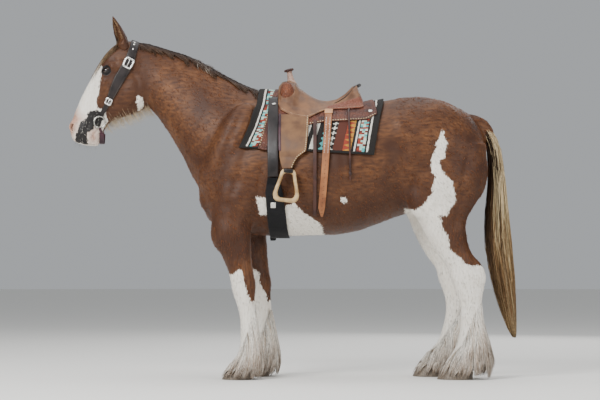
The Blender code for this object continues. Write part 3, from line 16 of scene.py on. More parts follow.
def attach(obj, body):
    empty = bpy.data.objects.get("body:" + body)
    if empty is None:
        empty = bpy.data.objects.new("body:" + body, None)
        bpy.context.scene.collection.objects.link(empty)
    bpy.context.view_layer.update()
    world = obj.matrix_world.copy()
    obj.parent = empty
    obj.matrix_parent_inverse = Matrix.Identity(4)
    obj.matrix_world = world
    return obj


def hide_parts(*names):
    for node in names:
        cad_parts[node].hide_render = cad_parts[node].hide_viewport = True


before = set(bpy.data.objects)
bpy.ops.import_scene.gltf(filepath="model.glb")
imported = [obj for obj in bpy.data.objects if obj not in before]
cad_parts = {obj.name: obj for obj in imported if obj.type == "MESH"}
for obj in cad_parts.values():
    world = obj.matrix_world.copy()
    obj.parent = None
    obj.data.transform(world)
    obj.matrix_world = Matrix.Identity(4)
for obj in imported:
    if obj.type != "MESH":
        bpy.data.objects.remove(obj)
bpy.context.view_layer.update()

LOG = logging.getLogger("clydesdale_horse")
BODY = "root"
MM = 0.001
PIXEL = 0.006  # metres across one pixel of the photo at the horse's middle plane
CAMERA_X, CAMERA_FAR, CAMERA_Z = 0.042, 11.0, 0.66
CAMERA_TILT = 2.1
PHOTO_X, PHOTO_Y = 293, 377  # the photo's pixel where the frame's origin lies
TURN = 2 * math.pi
NONE_NEAR = -60.0  # photo pixels, for a place that a marking can't reach
Point = tuple[float, float]
Place = Callable[[float, float], Vector]
Mesh = bpy.types.Mesh
Obj = bpy.types.Object
Material = bpy.types.Material
Tree = bpy.types.NodeTree
Socket = bpy.types.NodeSocket
BMesh = bmesh.types.BMesh
Draw = np.random.Generator


class Side(Enum):
    """The near (left) and the far (right) side of the horse."""

    LEFT = -1
    RIGHT = 1

    def name_of(self, name: str) -> str:
        """The name of a piece on this side."""
        return f"{name}_{self.name.lower()}"


class Tooling(Enum):
    """How a leather surface is worked."""

    SMOOTH = "smooth"
    FLORAL = "floral carving"


# Meshes


def linked(name: str, mesh: Mesh) -> Obj:
    """Puts a mesh in the scene as an object of its own.

    Args:
        name: The piece's name.
        mesh: Its mesh, with its place in its points.

    Returns:
        The new object.
    """
    obj = bpy.data.objects.new(name, mesh)
    bpy.context.scene.collection.objects.link(obj)
    return obj


def outward_mesh(name: str, bm: BMesh) -> Mesh:
    """Turns a bmesh into a mesh whose faces point outwards.

    Args:
        name: The mesh's name.
        bm: The shape, which is freed.

    Returns:
        The mesh, shaded smooth.
    """
    bmesh.ops.recalc_face_normals(bm, faces=bm.faces)
    if bm.calc_volume(signed=True) < 0:
        bmesh.ops.reverse_faces(bm, faces=bm.faces)
    for face in bm.faces:
        face.smooth = True
    mesh = bpy.data.meshes.new(name)
    bm.to_mesh(mesh)
    bm.free()
    return mesh


def dressed(name: str, shape: Mesh | BMesh, finish: Material, nodes: Sequence[str], slot: str) -> Obj:
    """Puts a finished piece in the scene, hides the CAD nodes that it replaces and logs its faces.

    Args:
        name: The piece's name.
        shape: Its mesh, or the bmesh that it is made from.
        finish: Its material.
        nodes: CAD nodes that it takes the place of.
        slot: Not used.

    Returns:
        The piece.
    """
    mesh = outward_mesh(name, shape) if isinstance(shape, BMesh) else shape
    obj = linked(name, mesh)
    mesh.materials.clear()
    mesh.materials.append(finish)
    if nodes:
        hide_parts(*nodes)
    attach(obj, BODY)
    LOG.info("%s: %d faces", name, len(mesh.polygons))
    return obj


def settled(obj: Obj) -> Obj:
    """Applies an object's modifiers.

    Args:
        obj: The object.

    Returns:
        The same object, with a plain mesh.
    """
    graph = bpy.context.evaluated_depsgraph_get()
    mesh = bpy.data.meshes.new_from_object(obj.evaluated_get(graph))
    obj.modifiers.clear()
    obj.data = mesh
    return obj


def surface_grid(bm: BMesh, columns: int, rows: int, place: Place) -> list[bmesh.types.BMVert]:
    """Adds a grid whose points are placed one by one.

    Args:
        bm: The bmesh that it is added to.
        columns: Faces along u.
        rows: Faces along v.
        place: Gives the point at (u, v), each from 0 to 1.

    Returns:
        The grid's vertices.
    """
    verts = bmesh.ops.create_grid(bm, x_segments=columns, y_segments=rows, size=0.5)["verts"]
    for vert in verts:
        vert.co = place(vert.co.x + 0.5, vert.co.y + 0.5)
    return verts


def add_tube(bm: BMesh, along: int, round_it: int, place: Place) -> None:
    """Adds a closed tube with capped ends.

    Args:
        bm: The bmesh that it is added to.
        along: Faces along it.
        round_it: Faces round it.
        place: Gives the point at (share along, share of a full turn).
    """
    verts = surface_grid(bm, along, round_it, lambda u, v: place(u, v % 1.0))
    bmesh.ops.remove_doubles(bm, verts=verts, dist=1e-6)
    rims = [edge for edge in bm.edges if edge.is_boundary]
    bmesh.ops.holes_fill(bm, edges=rims, sides=0)


def add_ring(bm: BMesh, along: int, round_it: int, place: Place) -> None:
    """Adds a closed ring, such as a buckle's frame, with its point given at two shares of a turn."""
    verts = surface_grid(bm, along, round_it, lambda u, v: place(u % 1.0, v % 1.0))
    bmesh.ops.remove_doubles(bm, verts=verts, dist=1e-6)


def add_ball(
    bm: BMesh, centre: Sequence[float], radii: Sequence[float], pitch: float = 0.0, fine: int = 24
) -> None:
    """Adds an ellipsoid.

    Args:
        bm: The bmesh that it is added to.
        centre: Its middle.
        radii: Its three radii.
        pitch: Its turn about Y, in degrees.
        fine: Faces round it.
    """
    place = (
        Matrix.Translation(centre)
        @ Matrix.Rotation(math.radians(pitch), 4, "Y")
        @ Matrix.Diagonal((*radii, 1.0))
    )
    bmesh.ops.create_uvsphere(bm, u_segments=fine, v_segments=fine // 2, radius=1.0, matrix=place)


def frame_at(origin: Vector, x_axis: Sequence[float], z_axis: Sequence[float]) -> Matrix:
    """A place whose z axis is given and whose x axis lies near the one given.

    Args:
        origin: Its origin.
        x_axis: About where its x axis points.
        z_axis: Where its z axis points.

    Returns:
        The 4 by 4 matrix.
    """
    z = Vector(z_axis).normalized()
    y = z.cross(Vector(x_axis)).normalized()
    turn = Matrix((y.cross(z), y, z)).transposed()
    return Matrix.Translation(origin) @ turn.to_4x4()


def along_table(rows: Sequence[Sequence[float]], t: float) -> list[float]:
    """One value for each column of a table, at a share t of the way down it."""
    places = np.linspace(0, 1, len(rows))
    return [float(np.interp(t, places, column)) for column in zip(*rows)]


def powered(value: float, power: float) -> float:
    """A sine or cosine raised to a power with its sign kept, which squares off a circle."""
    return math.copysign(abs(value) ** power, value)


def smooth_step(value: np.ndarray, low: float, high: float) -> np.ndarray:
    """A soft step from 0 to 1 between two values."""
    share = np.clip((value - low) / (high - low), 0.0, 1.0)
    return share * share * (3 - 2 * share)


def wobble(points: np.ndarray, size: float, seed: int) -> np.ndarray:
    """A smooth random value in space, about from -1 to 1.

    Args:
        points: N by 3 points.
        size: The size of its swells in metres.
        seed: Which pattern.

    Returns:
        N values.
    """
    draw = np.random.default_rng(seed)
    total = np.zeros(len(points))
    for _ in range(7):
        direction = draw.normal(size=3)
        direction *= TURN / size * draw.uniform(0.5, 1.1) / np.linalg.norm(direction)
        total += np.sin(points @ direction + draw.uniform(0, TURN))
    return total / 3.2


def to_photo(points: np.ndarray) -> np.ndarray:
    """Where points of the near side lie in the photo's frame. The far side is read as the near one.

    Args:
        points: N by 3 points.

    Returns:
        N by 2 pixel places.
    """
    deep = (CAMERA_FAR - np.abs(points[:, 1])) / CAMERA_FAR
    x = CAMERA_X + (points[:, 0] - CAMERA_X) / deep
    z = CAMERA_Z + (points[:, 2] - CAMERA_Z) / deep
    return np.stack([PHOTO_X + x / PIXEL, PHOTO_Y - z / PIXEL], axis=1)


def from_photo(px: float, py: float, side_out: float = 0.2) -> Point:
    """The (x, z) place of a photo pixel at a distance from the middle plane."""
    deep = (CAMERA_FAR - side_out) / CAMERA_FAR
    x = CAMERA_X + ((px - PHOTO_X) * PIXEL - CAMERA_X) * deep
    return x, CAMERA_Z + ((PHOTO_Y - py) * PIXEL - CAMERA_Z) * deep


def inside_by(points: np.ndarray, outline: Sequence[Point]) -> np.ndarray:
    """How far 2-D points lie inside a closed outline, negative outside.

    Args:
        points: N by 2 points.
        outline: The outline's corners.

    Returns:
        N signed distances.
    """
    corners = np.array(outline, float)
    after = np.roll(corners, -1, axis=0)
    nearest = np.full(len(points), 1e9)
    crossed = np.zeros(len(points), bool)
    for a, b in zip(corners, after):
        edge = b - a
        t = np.clip(((points - a) @ edge) / max(edge @ edge, 1e-9), 0, 1)
        nearest = np.minimum(nearest, np.linalg.norm(points - (a + t[:, None] * edge), axis=1))
        spans = (a[1] > points[:, 1]) != (b[1] > points[:, 1])
        with np.errstate(divide="ignore", invalid="ignore"):
            where = a[0] + (points[:, 1] - a[1]) / (b[1] - a[1]) * edge[0]
        crossed ^= spans & (points[:, 0] < where)
    return np.where(crossed, nearest, -nearest)


def near_line(points: np.ndarray, line: Sequence[Point]) -> np.ndarray:
    """Distance of 2-D points from an open line."""
    nearest = np.full(len(points), 1e9)
    for a, b in zip(line, line[1:]):
        a, b = np.array(a, float), np.array(b, float)
        edge = b - a
        t = np.clip(((points - a) @ edge) / (edge @ edge), 0, 1)
        nearest = np.minimum(nearest, np.linalg.norm(points - (a + t[:, None] * edge), axis=1))
    return nearest


def points_of(mesh: Mesh) -> tuple[np.ndarray, np.ndarray]:
    """A mesh's points and their normals as arrays."""
    count = len(mesh.vertices)
    places, normals = np.zeros(count * 3), np.zeros(count * 3)
    mesh.vertices.foreach_get("co", places)
    mesh.vertices.foreach_get("normal", normals)
    return places.reshape(-1, 3), normals.reshape(-1, 3)


def surface_of(obj: Obj) -> BVHTree:
    """An object's surface as a tree that rays and nearest places can be looked up in."""
    return BVHTree.FromObject(obj, bpy.context.evaluated_depsgraph_get())


def mirrored(points: np.ndarray) -> np.ndarray:
    """Points of either side moved to the near side."""
    return np.column_stack([points[:, 0], -np.abs(points[:, 1]), points[:, 2]])


def set_value(mesh: Mesh, name: str, values: np.ndarray) -> None:
    """Writes one number for each point of a mesh as a named attribute."""
    made = mesh.attributes.new(name, "FLOAT", "POINT")
    made.data.foreach_set("value", values.astype(np.float32))


# Finishes


def linear(code: str) -> tuple[float, float, float, float]:
    """Turns an sRGB hex colour, such as "7A4B2C", into linear red, green, blue and alpha."""
    parts = [int(code[i : i + 2], 16) / 255 for i in (0, 2, 4)]
    return (*(c / 12.92 if c <= 0.04045 else ((c + 0.055) / 1.055) ** 2.4 for c in parts), 1.0)


def set_inputs(tree: Tree, node: bpy.types.Node, inputs: dict) -> None:
    """Gives a node's inputs their values and links.

    Args:
        tree: The node tree.
        node: The node.
        inputs: Values or output sockets, by input name or number.
    """
    for key, value in inputs.items():
        if isinstance(value, Socket):
            tree.links.new(value, node.inputs[key])
        else:
            node.inputs[key].default_value = value


def add_node(tree: Tree, kind: str, inputs: dict, **settings) -> bpy.types.Node:
    """Adds a node.

    Args:
        tree: The node tree.
        kind: The node's type name.
        inputs: Values or output sockets, by input name or number.
        **settings: The node's own properties.

    Returns:
        The new node.
    """
    made = tree.nodes.new(kind)
    for key, value in settings.items():
        setattr(made, key, value)
    set_inputs(tree, made, inputs)
    return made


def new_material(name: str) -> tuple[Material, Tree, bpy.types.Node]:
    """A new material with its node tree and its main shader."""
    material = bpy.data.materials.new(name)
    material.use_nodes = True
    tree = material.node_tree
    return material, tree, tree.nodes["Principled BSDF"]


def mixed(tree: Tree, share: Socket | float, first: Socket | tuple, second: Socket | tuple) -> Socket:
    """Mixes two colours."""
    return add_node(tree, "ShaderNodeMix", {0: share, 6: first, 7: second}, data_type="RGBA").outputs[2]


def blended(tree: Tree, share: Socket, first: Socket | float, second: Socket) -> Socket:
    """Mixes two numbers."""
    return add_node(tree, "ShaderNodeMix", {0: share, 2: first, 3: second}).outputs[0]


def calc(tree: Tree, operation: str, *values: Socket | float) -> Socket:
    """One sum of two or three values in a node tree."""
    return add_node(tree, "ShaderNodeMath", dict(enumerate(values)), operation=operation).outputs[0]


def ranged(tree: Tree, value: Socket, low: float, high: float, to: Point = (0.0, 1.0)) -> Socket:
    """Spreads a value's range low to high over another one."""
    limits = {"Value": value, "From Min": low, "From Max": high, "To Min": to[0], "To Max": to[1]}
    return add_node(tree, "ShaderNodeMapRange", limits).outputs["Result"]


def bumped(tree: Tree, height: Socket, depth: float, before: Socket | None = None) -> Socket:
    """A bump of a depth in metres, over an earlier one if given."""
    inputs = {"Height": height, "Strength": 1.0, "Distance": depth}
    if before is not None:
        inputs["Normal"] = before
    return add_node(tree, "ShaderNodeBump", inputs).outputs["Normal"]


def object_place(tree: Tree) -> Socket:
    """Object coordinates."""
    return add_node(tree, "ShaderNodeTexCoord", {}).outputs["Object"]


def spread_noise(
    tree: Tree, size_mm: float, stretch: Sequence[float] = (1, 1, 1), detail: float = 2.0
) -> Socket:
    """Noise in Object coordinates, with its feature size in millimetres and a stretch for each axis."""
    scale = tuple(1 / s for s in stretch)
    shrunk = add_node(tree, "ShaderNodeMapping", {"Vector": object_place(tree), "Scale": scale}).outputs[0]
    inputs = {"Vector": shrunk, "Scale": 1000 / size_mm, "Detail": detail}
    return add_node(tree, "ShaderNodeTexNoise", inputs).outputs["Fac"]


def named_value(tree: Tree, name: str, output: str = "Fac") -> Socket:
    """The output of a mesh attribute."""
    return add_node(tree, "ShaderNodeAttribute", {}, attribute_name=name).outputs[output]


@dataclass(frozen=True)
class CoatFinish:
    """Short horse hair over skin: chestnut and white coat, dark and pink bare skin.

    Short hair lies flat, so the surface is satin with a fine streak, and its white parts have ragged edges.
    """

    brown: str = "70482A"
    deep_brown: str = "3E2416"
    white: str = "E9E4DA"
    soiled: str = "C9BBA8"
    dark_skin: str = "211E1E"
    pink_skin: str = "B28B78"
    roughness: float = 0.52

    def material(self, name: str) -> Material:
        """Builds the coat's material.

        Args:
            name: The material's name.

        Returns:
            The material.
        """
        material, tree, shader = new_material(name)
        deep_brown, dark_skin = linear(self.deep_brown), linear(self.dark_skin)
        patches = spread_noise(tree, 170, detail=3)
        streak = spread_noise(tree, 9, (6, 1, 1.6), detail=4)
        streak_down = spread_noise(tree, 9, (1, 1, 7), detail=4)
        leg = named_value(tree, "leg")
        lie = blended(tree, leg, streak, streak_down)
        shade = calc(tree, "MULTIPLY", ranged(tree, patches, 0.35, 0.7), ranged(tree, lie, 0.3, 0.75))
        brown = mixed(tree, ranged(tree, shade, 0.0, 0.75), deep_brown, linear(self.brown))
        # The "deep" value darkens the coat: painted shade round the belly and the tops of the legs, and
        # darker hair over the head, round the eyes, along the crest and on the ears.
        brown = mixed(tree, named_value(tree, "deep"), brown, deep_brown)
        ragged = ranged(tree, spread_noise(tree, 6, (1, 1, 3), detail=4), 0.3, 0.7, (-0.28, 0.28))
        edge = calc(tree, "ADD", named_value(tree, "white"), ragged)
        soiling = ranged(tree, streak_down, 0.35, 0.75, (0.0, 0.5))
        white = mixed(tree, soiling, linear(self.white), linear(self.soiled))
        colour = mixed(tree, ranged(tree, edge, 0.44, 0.56), brown, white)
        mottle = spread_noise(tree, 14)
        freckles = ranged(tree, mottle, 0.5, 0.7, (0.0, 0.35))
        pink = mixed(tree, freckles, linear(self.pink_skin), dark_skin)
        colour = mixed(tree, named_value(tree, "pink"), colour, pink)
        wandering = ranged(tree, mottle, 0.3, 0.7, (-0.2, 0.2))
        # The "dark" value holds the dark bare skin, and painted shade inside the nostrils.
        dark_edge = calc(tree, "ADD", named_value(tree, "dark"), wandering)
        fine = blended(tree, leg, spread_noise(tree, 2.6, (5, 1, 1.4)), spread_noise(tree, 2.6, (1, 1, 6)))
        set_inputs(tree, shader, {
            "Base Color": mixed(tree, ranged(tree, dark_edge, 0.4, 0.6), colour, dark_skin),
            "Normal": bumped(tree, lie, 1.6 * MM, bumped(tree, fine, 0.7 * MM)),
            "Roughness": self.roughness,
            "Specular IOR Level": 0.25,
        })
        return material


@dataclass(frozen=True)
class HairFinish:
    """Long horse hair in locks, whose colour runs along each lock."""

    roughness: float = 0.52

    def material(self, name: str) -> Material:
        """Builds the hair's material, which reads its colour from the locks."""
        material, tree, shader = new_material(name)
        streak = spread_noise(tree, 3.5, (1, 1, 9))
        tint = named_value(tree, "tint", "Color")
        dark = mixed(tree, 0.55, tint, (0.0, 0.0, 0.0, 1.0))
        set_inputs(tree, shader, {
            "Base Color": mixed(tree, ranged(tree, streak, 0.25, 0.6), dark, tint),
            "Normal": bumped(tree, streak, 0.8 * MM),
            "Roughness": self.roughness,
            "Specular IOR Level": 0.22,
        })
        return material


@dataclass(frozen=True)
class LeatherFinish:
    """Vegetable-tanned saddle leather: a satin, slightly worn skin, carved in places."""

    light: str
    dark: str
    tooling: Tooling = Tooling.SMOOTH
    roughness: float = 0.5
    only_where: str = ""  # the mesh attribute that bounds the tooling
    tooled_tint: str = ""  # the tooled part's own colour

    def tooled(self, tree: Tree) -> Socket:
        """The height of carved flowers and leaves of about 15 mm, beaten down round their edges."""
        place = object_place(tree)
        bent = add_node(tree, "ShaderNodeTexNoise", {"Vector": place, "Scale": 30.0, "Detail": 1.0})
        inputs = {"Vector": mixed(tree, 0.012, place, bent.outputs["Color"]), "Scale": 70.0}
        cells = add_node(tree, "ShaderNodeTexVoronoi", inputs, feature="DISTANCE_TO_EDGE")
        return ranged(tree, cells.outputs["Distance"], 0.0, 0.24)

    def material(self, name: str) -> Material:
        """Builds the leather's material.

        Args:
            name: The material's name.

        Returns:
            The material.
        """
        material, tree, shader = new_material(name)
        worn = spread_noise(tree, 60, detail=5)
        colour = mixed(tree, ranged(tree, worn, 0.35, 0.65), linear(self.dark), linear(self.light))
        normal = bumped(tree, spread_noise(tree, 1.8), 0.25 * MM)
        if self.tooling is Tooling.FLORAL:
            height = self.tooled(tree)
            if self.only_where:
                share = named_value(tree, self.only_where)
                colour = mixed(tree, share, colour, linear(self.tooled_tint))
                height = blended(tree, share, 1.0, height)
            colour = mixed(tree, ranged(tree, height, 0.0, 0.5, (0.72, 0.0)), colour, linear(self.dark))
            normal = bumped(tree, height, 2.4 * MM, normal)
        wear = (self.roughness - 0.08, self.roughness + 0.12)
        set_inputs(tree, shader, {
            "Base Color": colour,
            "Normal": normal,
            "Roughness": ranged(tree, worn, 0.3, 0.7, wear),
            "Specular IOR Level": 0.38,
        })
        return material


@dataclass(frozen=True)
class MetalFinish:
    """Nickel silver, engraved and polished, or plain steel."""

    colour: str = "D8D6D0"
    roughness: float = 0.24
    engraved: bool = False

    def material(self, name: str) -> Material:
        """Builds the metal's material."""
        material, tree, shader = new_material(name)
        smear = (self.roughness * 0.7, self.roughness * 1.5)
        set_inputs(tree, shader, {
            "Base Color": linear(self.colour),
            "Metallic": 1.0,
            "Roughness": ranged(tree, spread_noise(tree, 20, detail=4), 0.3, 0.7, smear),
        })
        if self.engraved:
            scroll = ranged(tree, spread_noise(tree, 5, detail=1), 0.45, 0.55)
            set_inputs(tree, shader, {"Normal": bumped(tree, scroll, 0.4 * MM)})
        return material


@dataclass(frozen=True)
class HornFinish:
    """Hoof horn: dull, streaked down its growth, with faint rings."""

    light: str = "8A7C6B"
    dark: str = "4A4139"

    def material(self, name: str) -> Material:
        """Builds the horn's material."""
        material, tree, shader = new_material(name)
        down = spread_noise(tree, 5, (1, 1, 12), detail=3)
        rings = spread_noise(tree, 9, (9, 9, 1))
        set_inputs(tree, shader, {
            "Base Color": mixed(tree, ranged(tree, down, 0.3, 0.7), linear(self.dark), linear(self.light)),
            "Normal": bumped(tree, rings, 1.2 * MM, bumped(tree, down, 0.5 * MM)),
            "Roughness": 0.5,
        })
        return material


# The horse's form

# Each section is (upper or front point, lower or back point, half width, place of the widest line,
# upper roundness, lower roundness). Points are (x, z). A roundness of 2 is an ellipse.
TRUNK = (
    ((-0.578, 1.300), (-0.560, 1.080), 0.100, 0.50, 2.0, 2.0),
    ((-0.545, 1.400), (-0.535, 1.000), 0.185, 0.48, 2.0, 2.0),
    ((-0.490, 1.510), (-0.490, 0.930), 0.245, 0.46, 1.9, 2.0),
    ((-0.390, 1.630), (-0.390, 0.885), 0.280, 0.46, 1.8, 2.1),
    ((-0.290, 1.695), (-0.290, 0.862), 0.297, 0.46, 1.7, 2.1),
    ((-0.190, 1.722), (-0.190, 0.850), 0.310, 0.46, 1.65, 2.1),
    ((-0.080, 1.706), (-0.080, 0.845), 0.328, 0.47, 1.7, 2.1),
    ((0.040, 1.664), (0.040, 0.846), 0.347, 0.48, 1.8, 2.1),
    ((0.160, 1.620), (0.160, 0.850), 0.362, 0.49, 1.95, 2.1),
    ((0.280, 1.613), (0.280, 0.856), 0.370, 0.50, 2.1, 2.1),
    ((0.400, 1.628), (0.400, 0.880), 0.366, 0.50, 2.15, 2.1),
    ((0.520, 1.655), (0.520, 0.922), 0.352, 0.52, 2.2, 2.1),
    ((0.640, 1.677), (0.640, 0.968), 0.342, 0.56, 2.3, 2.1),
    ((0.750, 1.682), (0.750, 0.995), 0.345, 0.58, 2.35, 2.0),
    ((0.860, 1.668), (0.860, 1.010), 0.343, 0.56, 2.3, 2.0),
    ((0.965, 1.630), (0.965, 1.045), 0.318, 0.54, 2.2, 2.0),
    ((1.050, 1.580), (1.050, 1.095), 0.272, 0.52, 2.1, 2.0),
    ((1.115, 1.500), (1.120, 1.155), 0.205, 0.50, 2.0, 2.0),
    ((1.150, 1.410), (1.152, 1.230), 0.110, 0.50, 2.0, 2.0),
)
NECK = (
    ((-0.965, 2.005), (-0.895, 1.665), 0.082, 0.55, 2.1, 2.2),
    ((-0.895, 2.008), (-0.862, 1.610), 0.088, 0.50, 1.9, 2.2),
    ((-0.846, 1.995), (-0.832, 1.580), 0.094, 0.47, 1.8, 2.2),
    ((-0.750, 1.968), (-0.780, 1.512), 0.108, 0.44, 1.7, 2.2),
    ((-0.630, 1.930), (-0.714, 1.408), 0.128, 0.42, 1.65, 2.2),
    ((-0.498, 1.864), (-0.654, 1.300), 0.157, 0.42, 1.65, 2.2),
    ((-0.360, 1.786), (-0.606, 1.200), 0.195, 0.43, 1.65, 2.1),
    ((-0.228, 1.726), (-0.540, 1.095), 0.235, 0.44, 1.65, 2.1),
)
HEAD = (
    ((-0.925, 2.004), (-0.872, 1.700), 0.070, 0.60, 2.2, 2.4),
    ((-0.965, 2.022), (-0.862, 1.665), 0.084, 0.62, 2.2, 2.4),
    ((-1.036, 2.014), (-0.868, 1.628), 0.094, 0.64, 2.3, 2.4),
    ((-1.106, 1.962), (-0.900, 1.603), 0.099, 0.66, 2.4, 2.3),
    ((-1.155, 1.900), (-0.945, 1.583), 0.100, 0.66, 2.5, 2.2),
    ((-1.196, 1.828), (-0.998, 1.563), 0.090, 0.64, 2.5, 2.2),
    ((-1.238, 1.752), (-1.052, 1.545), 0.076, 0.62, 2.5, 2.2),
    ((-1.276, 1.678), (-1.098, 1.525), 0.064, 0.60, 2.5, 2.2),
    ((-1.306, 1.612), (-1.126, 1.492), 0.058, 0.58, 2.4, 2.2),
    ((-1.330, 1.548), (-1.138, 1.450), 0.061, 0.56, 2.4, 2.2),
    ((-1.342, 1.494), (-1.156, 1.412), 0.063, 0.54, 2.3, 2.2),
    ((-1.334, 1.446), (-1.194, 1.390), 0.054, 0.52, 2.2, 2.2),
    ((-1.306, 1.410), (-1.240, 1.386), 0.034, 0.50, 2.0, 2.0),
)
FORE_LEG = (
    ((-0.470, 1.180), (-0.225, 1.200), 0.095, 0.50, 2.0, 2.0),
    ((-0.478, 1.050), (-0.225, 1.080), 0.098, 0.50, 2.0, 2.0),
    ((-0.485, 0.940), (-0.232, 0.990), 0.096, 0.52, 2.1, 1.9),
    ((-0.462, 0.815), (-0.244, 0.850), 0.088, 0.54, 2.1, 1.9),
    ((-0.414, 0.710), (-0.240, 0.716), 0.073, 0.54, 2.1, 1.9),
    ((-0.380, 0.625), (-0.230, 0.625), 0.065, 0.55, 2.3, 2.0),
    ((-0.368, 0.560), (-0.216, 0.562), 0.067, 0.55, 2.5, 1.9),
    ((-0.350, 0.488), (-0.220, 0.482), 0.054, 0.55, 2.3, 1.9),
    ((-0.320, 0.392), (-0.216, 0.386), 0.042, 0.58, 2.1, 2.0),
    ((-0.311, 0.284), (-0.213, 0.278), 0.043, 0.58, 2.1, 2.0),
    ((-0.313, 0.200), (-0.198, 0.176), 0.056, 0.52, 2.1, 2.0),
    ((-0.335, 0.138), (-0.222, 0.104), 0.053, 0.50, 2.1, 2.0),
    ((-0.370, 0.094), (-0.238, 0.062), 0.070, 0.50, 2.1, 2.0),
    ((-0.394, 0.050), (-0.242, 0.018), 0.074, 0.50, 2.1, 2.0),
)
HIND_LEG = (
    ((0.730, 1.380), (1.150, 1.390), 0.140, 0.50, 2.0, 2.0),
    ((0.700, 1.180), (1.142, 1.190), 0.142, 0.50, 2.0, 2.0),
    ((0.694, 1.030), (1.092, 1.050), 0.126, 0.50, 2.0, 2.0),
    ((0.744, 0.920), (1.030, 0.935), 0.106, 0.52, 2.0, 1.9),
    ((0.802, 0.812), (1.036, 0.826), 0.085, 0.55, 2.0, 1.7),
    ((0.862, 0.722), (1.066, 0.742), 0.066, 0.58, 2.1, 1.6),
    ((0.912, 0.656), (1.120, 0.676), 0.058, 0.60, 2.3, 1.6),
    ((0.932, 0.590), (1.147, 0.602), 0.062, 0.60, 2.5, 1.7),
    ((0.960, 0.518), (1.132, 0.534), 0.053, 0.60, 2.3, 1.8),
    ((0.984, 0.432), (1.118, 0.444), 0.046, 0.58, 2.1, 2.0),
    ((0.984, 0.318), (1.112, 0.318), 0.047, 0.56, 2.1, 2.0),
    ((0.966, 0.212), (1.130, 0.192), 0.063, 0.52, 2.1, 2.0),
    ((0.930, 0.146), (1.084, 0.110), 0.060, 0.50, 2.1, 2.0),
    ((0.898, 0.098), (1.062, 0.064), 0.078, 0.50, 2.1, 2.0),
    ((0.876, 0.054), (1.058, 0.020), 0.082, 0.50, 2.1, 2.0),
)
# Muscles and bony forms on both sides: (centre), (radii), pitch in degrees about Y
MUSCLES = (
    ((-0.370, 0.175, 1.370), (0.120, 0.110, 0.290), 24),  # shoulder blade
    ((-0.490, 0.150, 1.190), (0.082, 0.090, 0.110), 0),  # point of the shoulder
    ((-0.320, 0.215, 1.080), (0.150, 0.085, 0.130), 15),  # upper arm and elbow
    ((-0.492, 0.085, 1.078), (0.070, 0.085, 0.100), 0),  # breast
    ((-0.370, 0.190, 0.880), (0.120, 0.098, 0.150), 8),  # forearm
    ((0.820, 0.170, 1.470), (0.210, 0.160, 0.180), 10),  # croup
    ((1.030, 0.145, 1.290), (0.125, 0.130, 0.250), -8),  # buttock
    ((0.765, 0.215, 1.060), (0.100, 0.085, 0.140), -20),  # stifle
    ((0.890, 0.180, 0.920), (0.130, 0.088, 0.160), -25),  # gaskin
    ((0.880, 0.200, 1.200), (0.220, 0.140, 0.230), 0),  # thigh
    ((-0.958, 0.052, 1.728), (0.098, 0.050, 0.125), 25),  # cheek
    ((-1.071, 0.070, 1.859), (0.075, 0.040, 0.040), -50),  # brow and orbit
    ((-1.109, 0.074, 1.833), (0.046, 0.033, 0.034), -50),  # eyeball's bulge
    ((-1.120, 0.056, 1.755), (0.110, 0.018, 0.020), -62),  # facial crest
    ((-1.312, 0.040, 1.508), (0.034, 0.028, 0.044), 25),  # nostril's flare
    ((-1.292, 0.022, 1.440), (0.038, 0.036, 0.040), 0),  # upper lip
    ((-1.196, 0.014, 1.408), (0.040, 0.030, 0.026), 0),  # chin and lower lip
)
DOCK = (
    ((1.020, 1.480), (1.030, 1.590), 0.045),
    ((1.085, 1.480), (1.110, 1.575), 0.045),
    ((1.130, 1.455), (1.180, 1.530), 0.042),
    ((1.158, 1.400), (1.222, 1.440), 0.038),
)
# Outlines of the tail and of the feathers: (front point, back point, half width), from the top
TAIL = (
    ((1.110, 1.475), (1.150, 1.552), 0.050),
    ((1.145, 1.425), (1.215, 1.475), 0.058),
    ((1.168, 1.340), (1.252, 1.365), 0.066),
    ((1.172, 1.180), (1.276, 1.195), 0.078),
    ((1.150, 0.980), (1.292, 0.990), 0.086),
    ((1.148, 0.780), (1.312, 0.780), 0.086),
    ((1.180, 0.600), (1.330, 0.590), 0.074),
    ((1.230, 0.430), (1.338, 0.420), 0.052),
    ((1.280, 0.300), (1.340, 0.290), 0.028),
    ((1.312, 0.240), (1.338, 0.236), 0.010),
)
FORE_BELL = (
    ((-0.322, 0.372), (-0.210, 0.366), 0.046),
    ((-0.320, 0.250), (-0.188, 0.235), 0.062),
    ((-0.346, 0.150), (-0.167, 0.130), 0.090),
    ((-0.394, 0.080), (-0.162, 0.065), 0.108),
    ((-0.436, 0.014), (-0.180, 0.010), 0.118),
)
HIND_BELL = (
    ((0.974, 0.430), (1.116, 0.420), 0.050),
    ((0.968, 0.320), (1.138, 0.310), 0.064),
    ((0.946, 0.210), (1.172, 0.200), 0.092),
    ((0.892, 0.100), (1.204, 0.090), 0.118),
    ((0.842, 0.014), (1.182, 0.010), 0.128),
)
# Rings of an ear: (height over its length, half width, half depth)
EAR_RINGS = (
    (0.00, 0.030, 0.028),
    (0.25, 0.034, 0.032),
    (0.42, 0.040, 0.030),
    (0.60, 0.037, 0.023),
    (0.78, 0.027, 0.016),
    (0.91, 0.014, 0.010),
    (1.00, 0.003, 0.003),
)
FORE_FAR_SHIFT = (
    0.01, 0.03, 0.055, 0.085, 0.09, 0.09, 0.088, 0.088, 0.09, 0.092, 0.094, 0.095, 0.095, 0.095
)
HIND_FAR_SHIFT = (
    0.0, -0.01, -0.02, -0.03, -0.04, -0.045, -0.048, -0.05,
    -0.052, -0.058, -0.072, -0.092, -0.112, -0.125, -0.135,
)
FORE_SPREAD = (0.185, 0.168)
HIND_SPREAD = (0.170, 0.155)
EYE_CENTRE = (-1.113, -0.0835, 1.833)
EYE_RADIUS = 0.0215
EYE_LOOK = (-0.25, -1.0, 0.12)
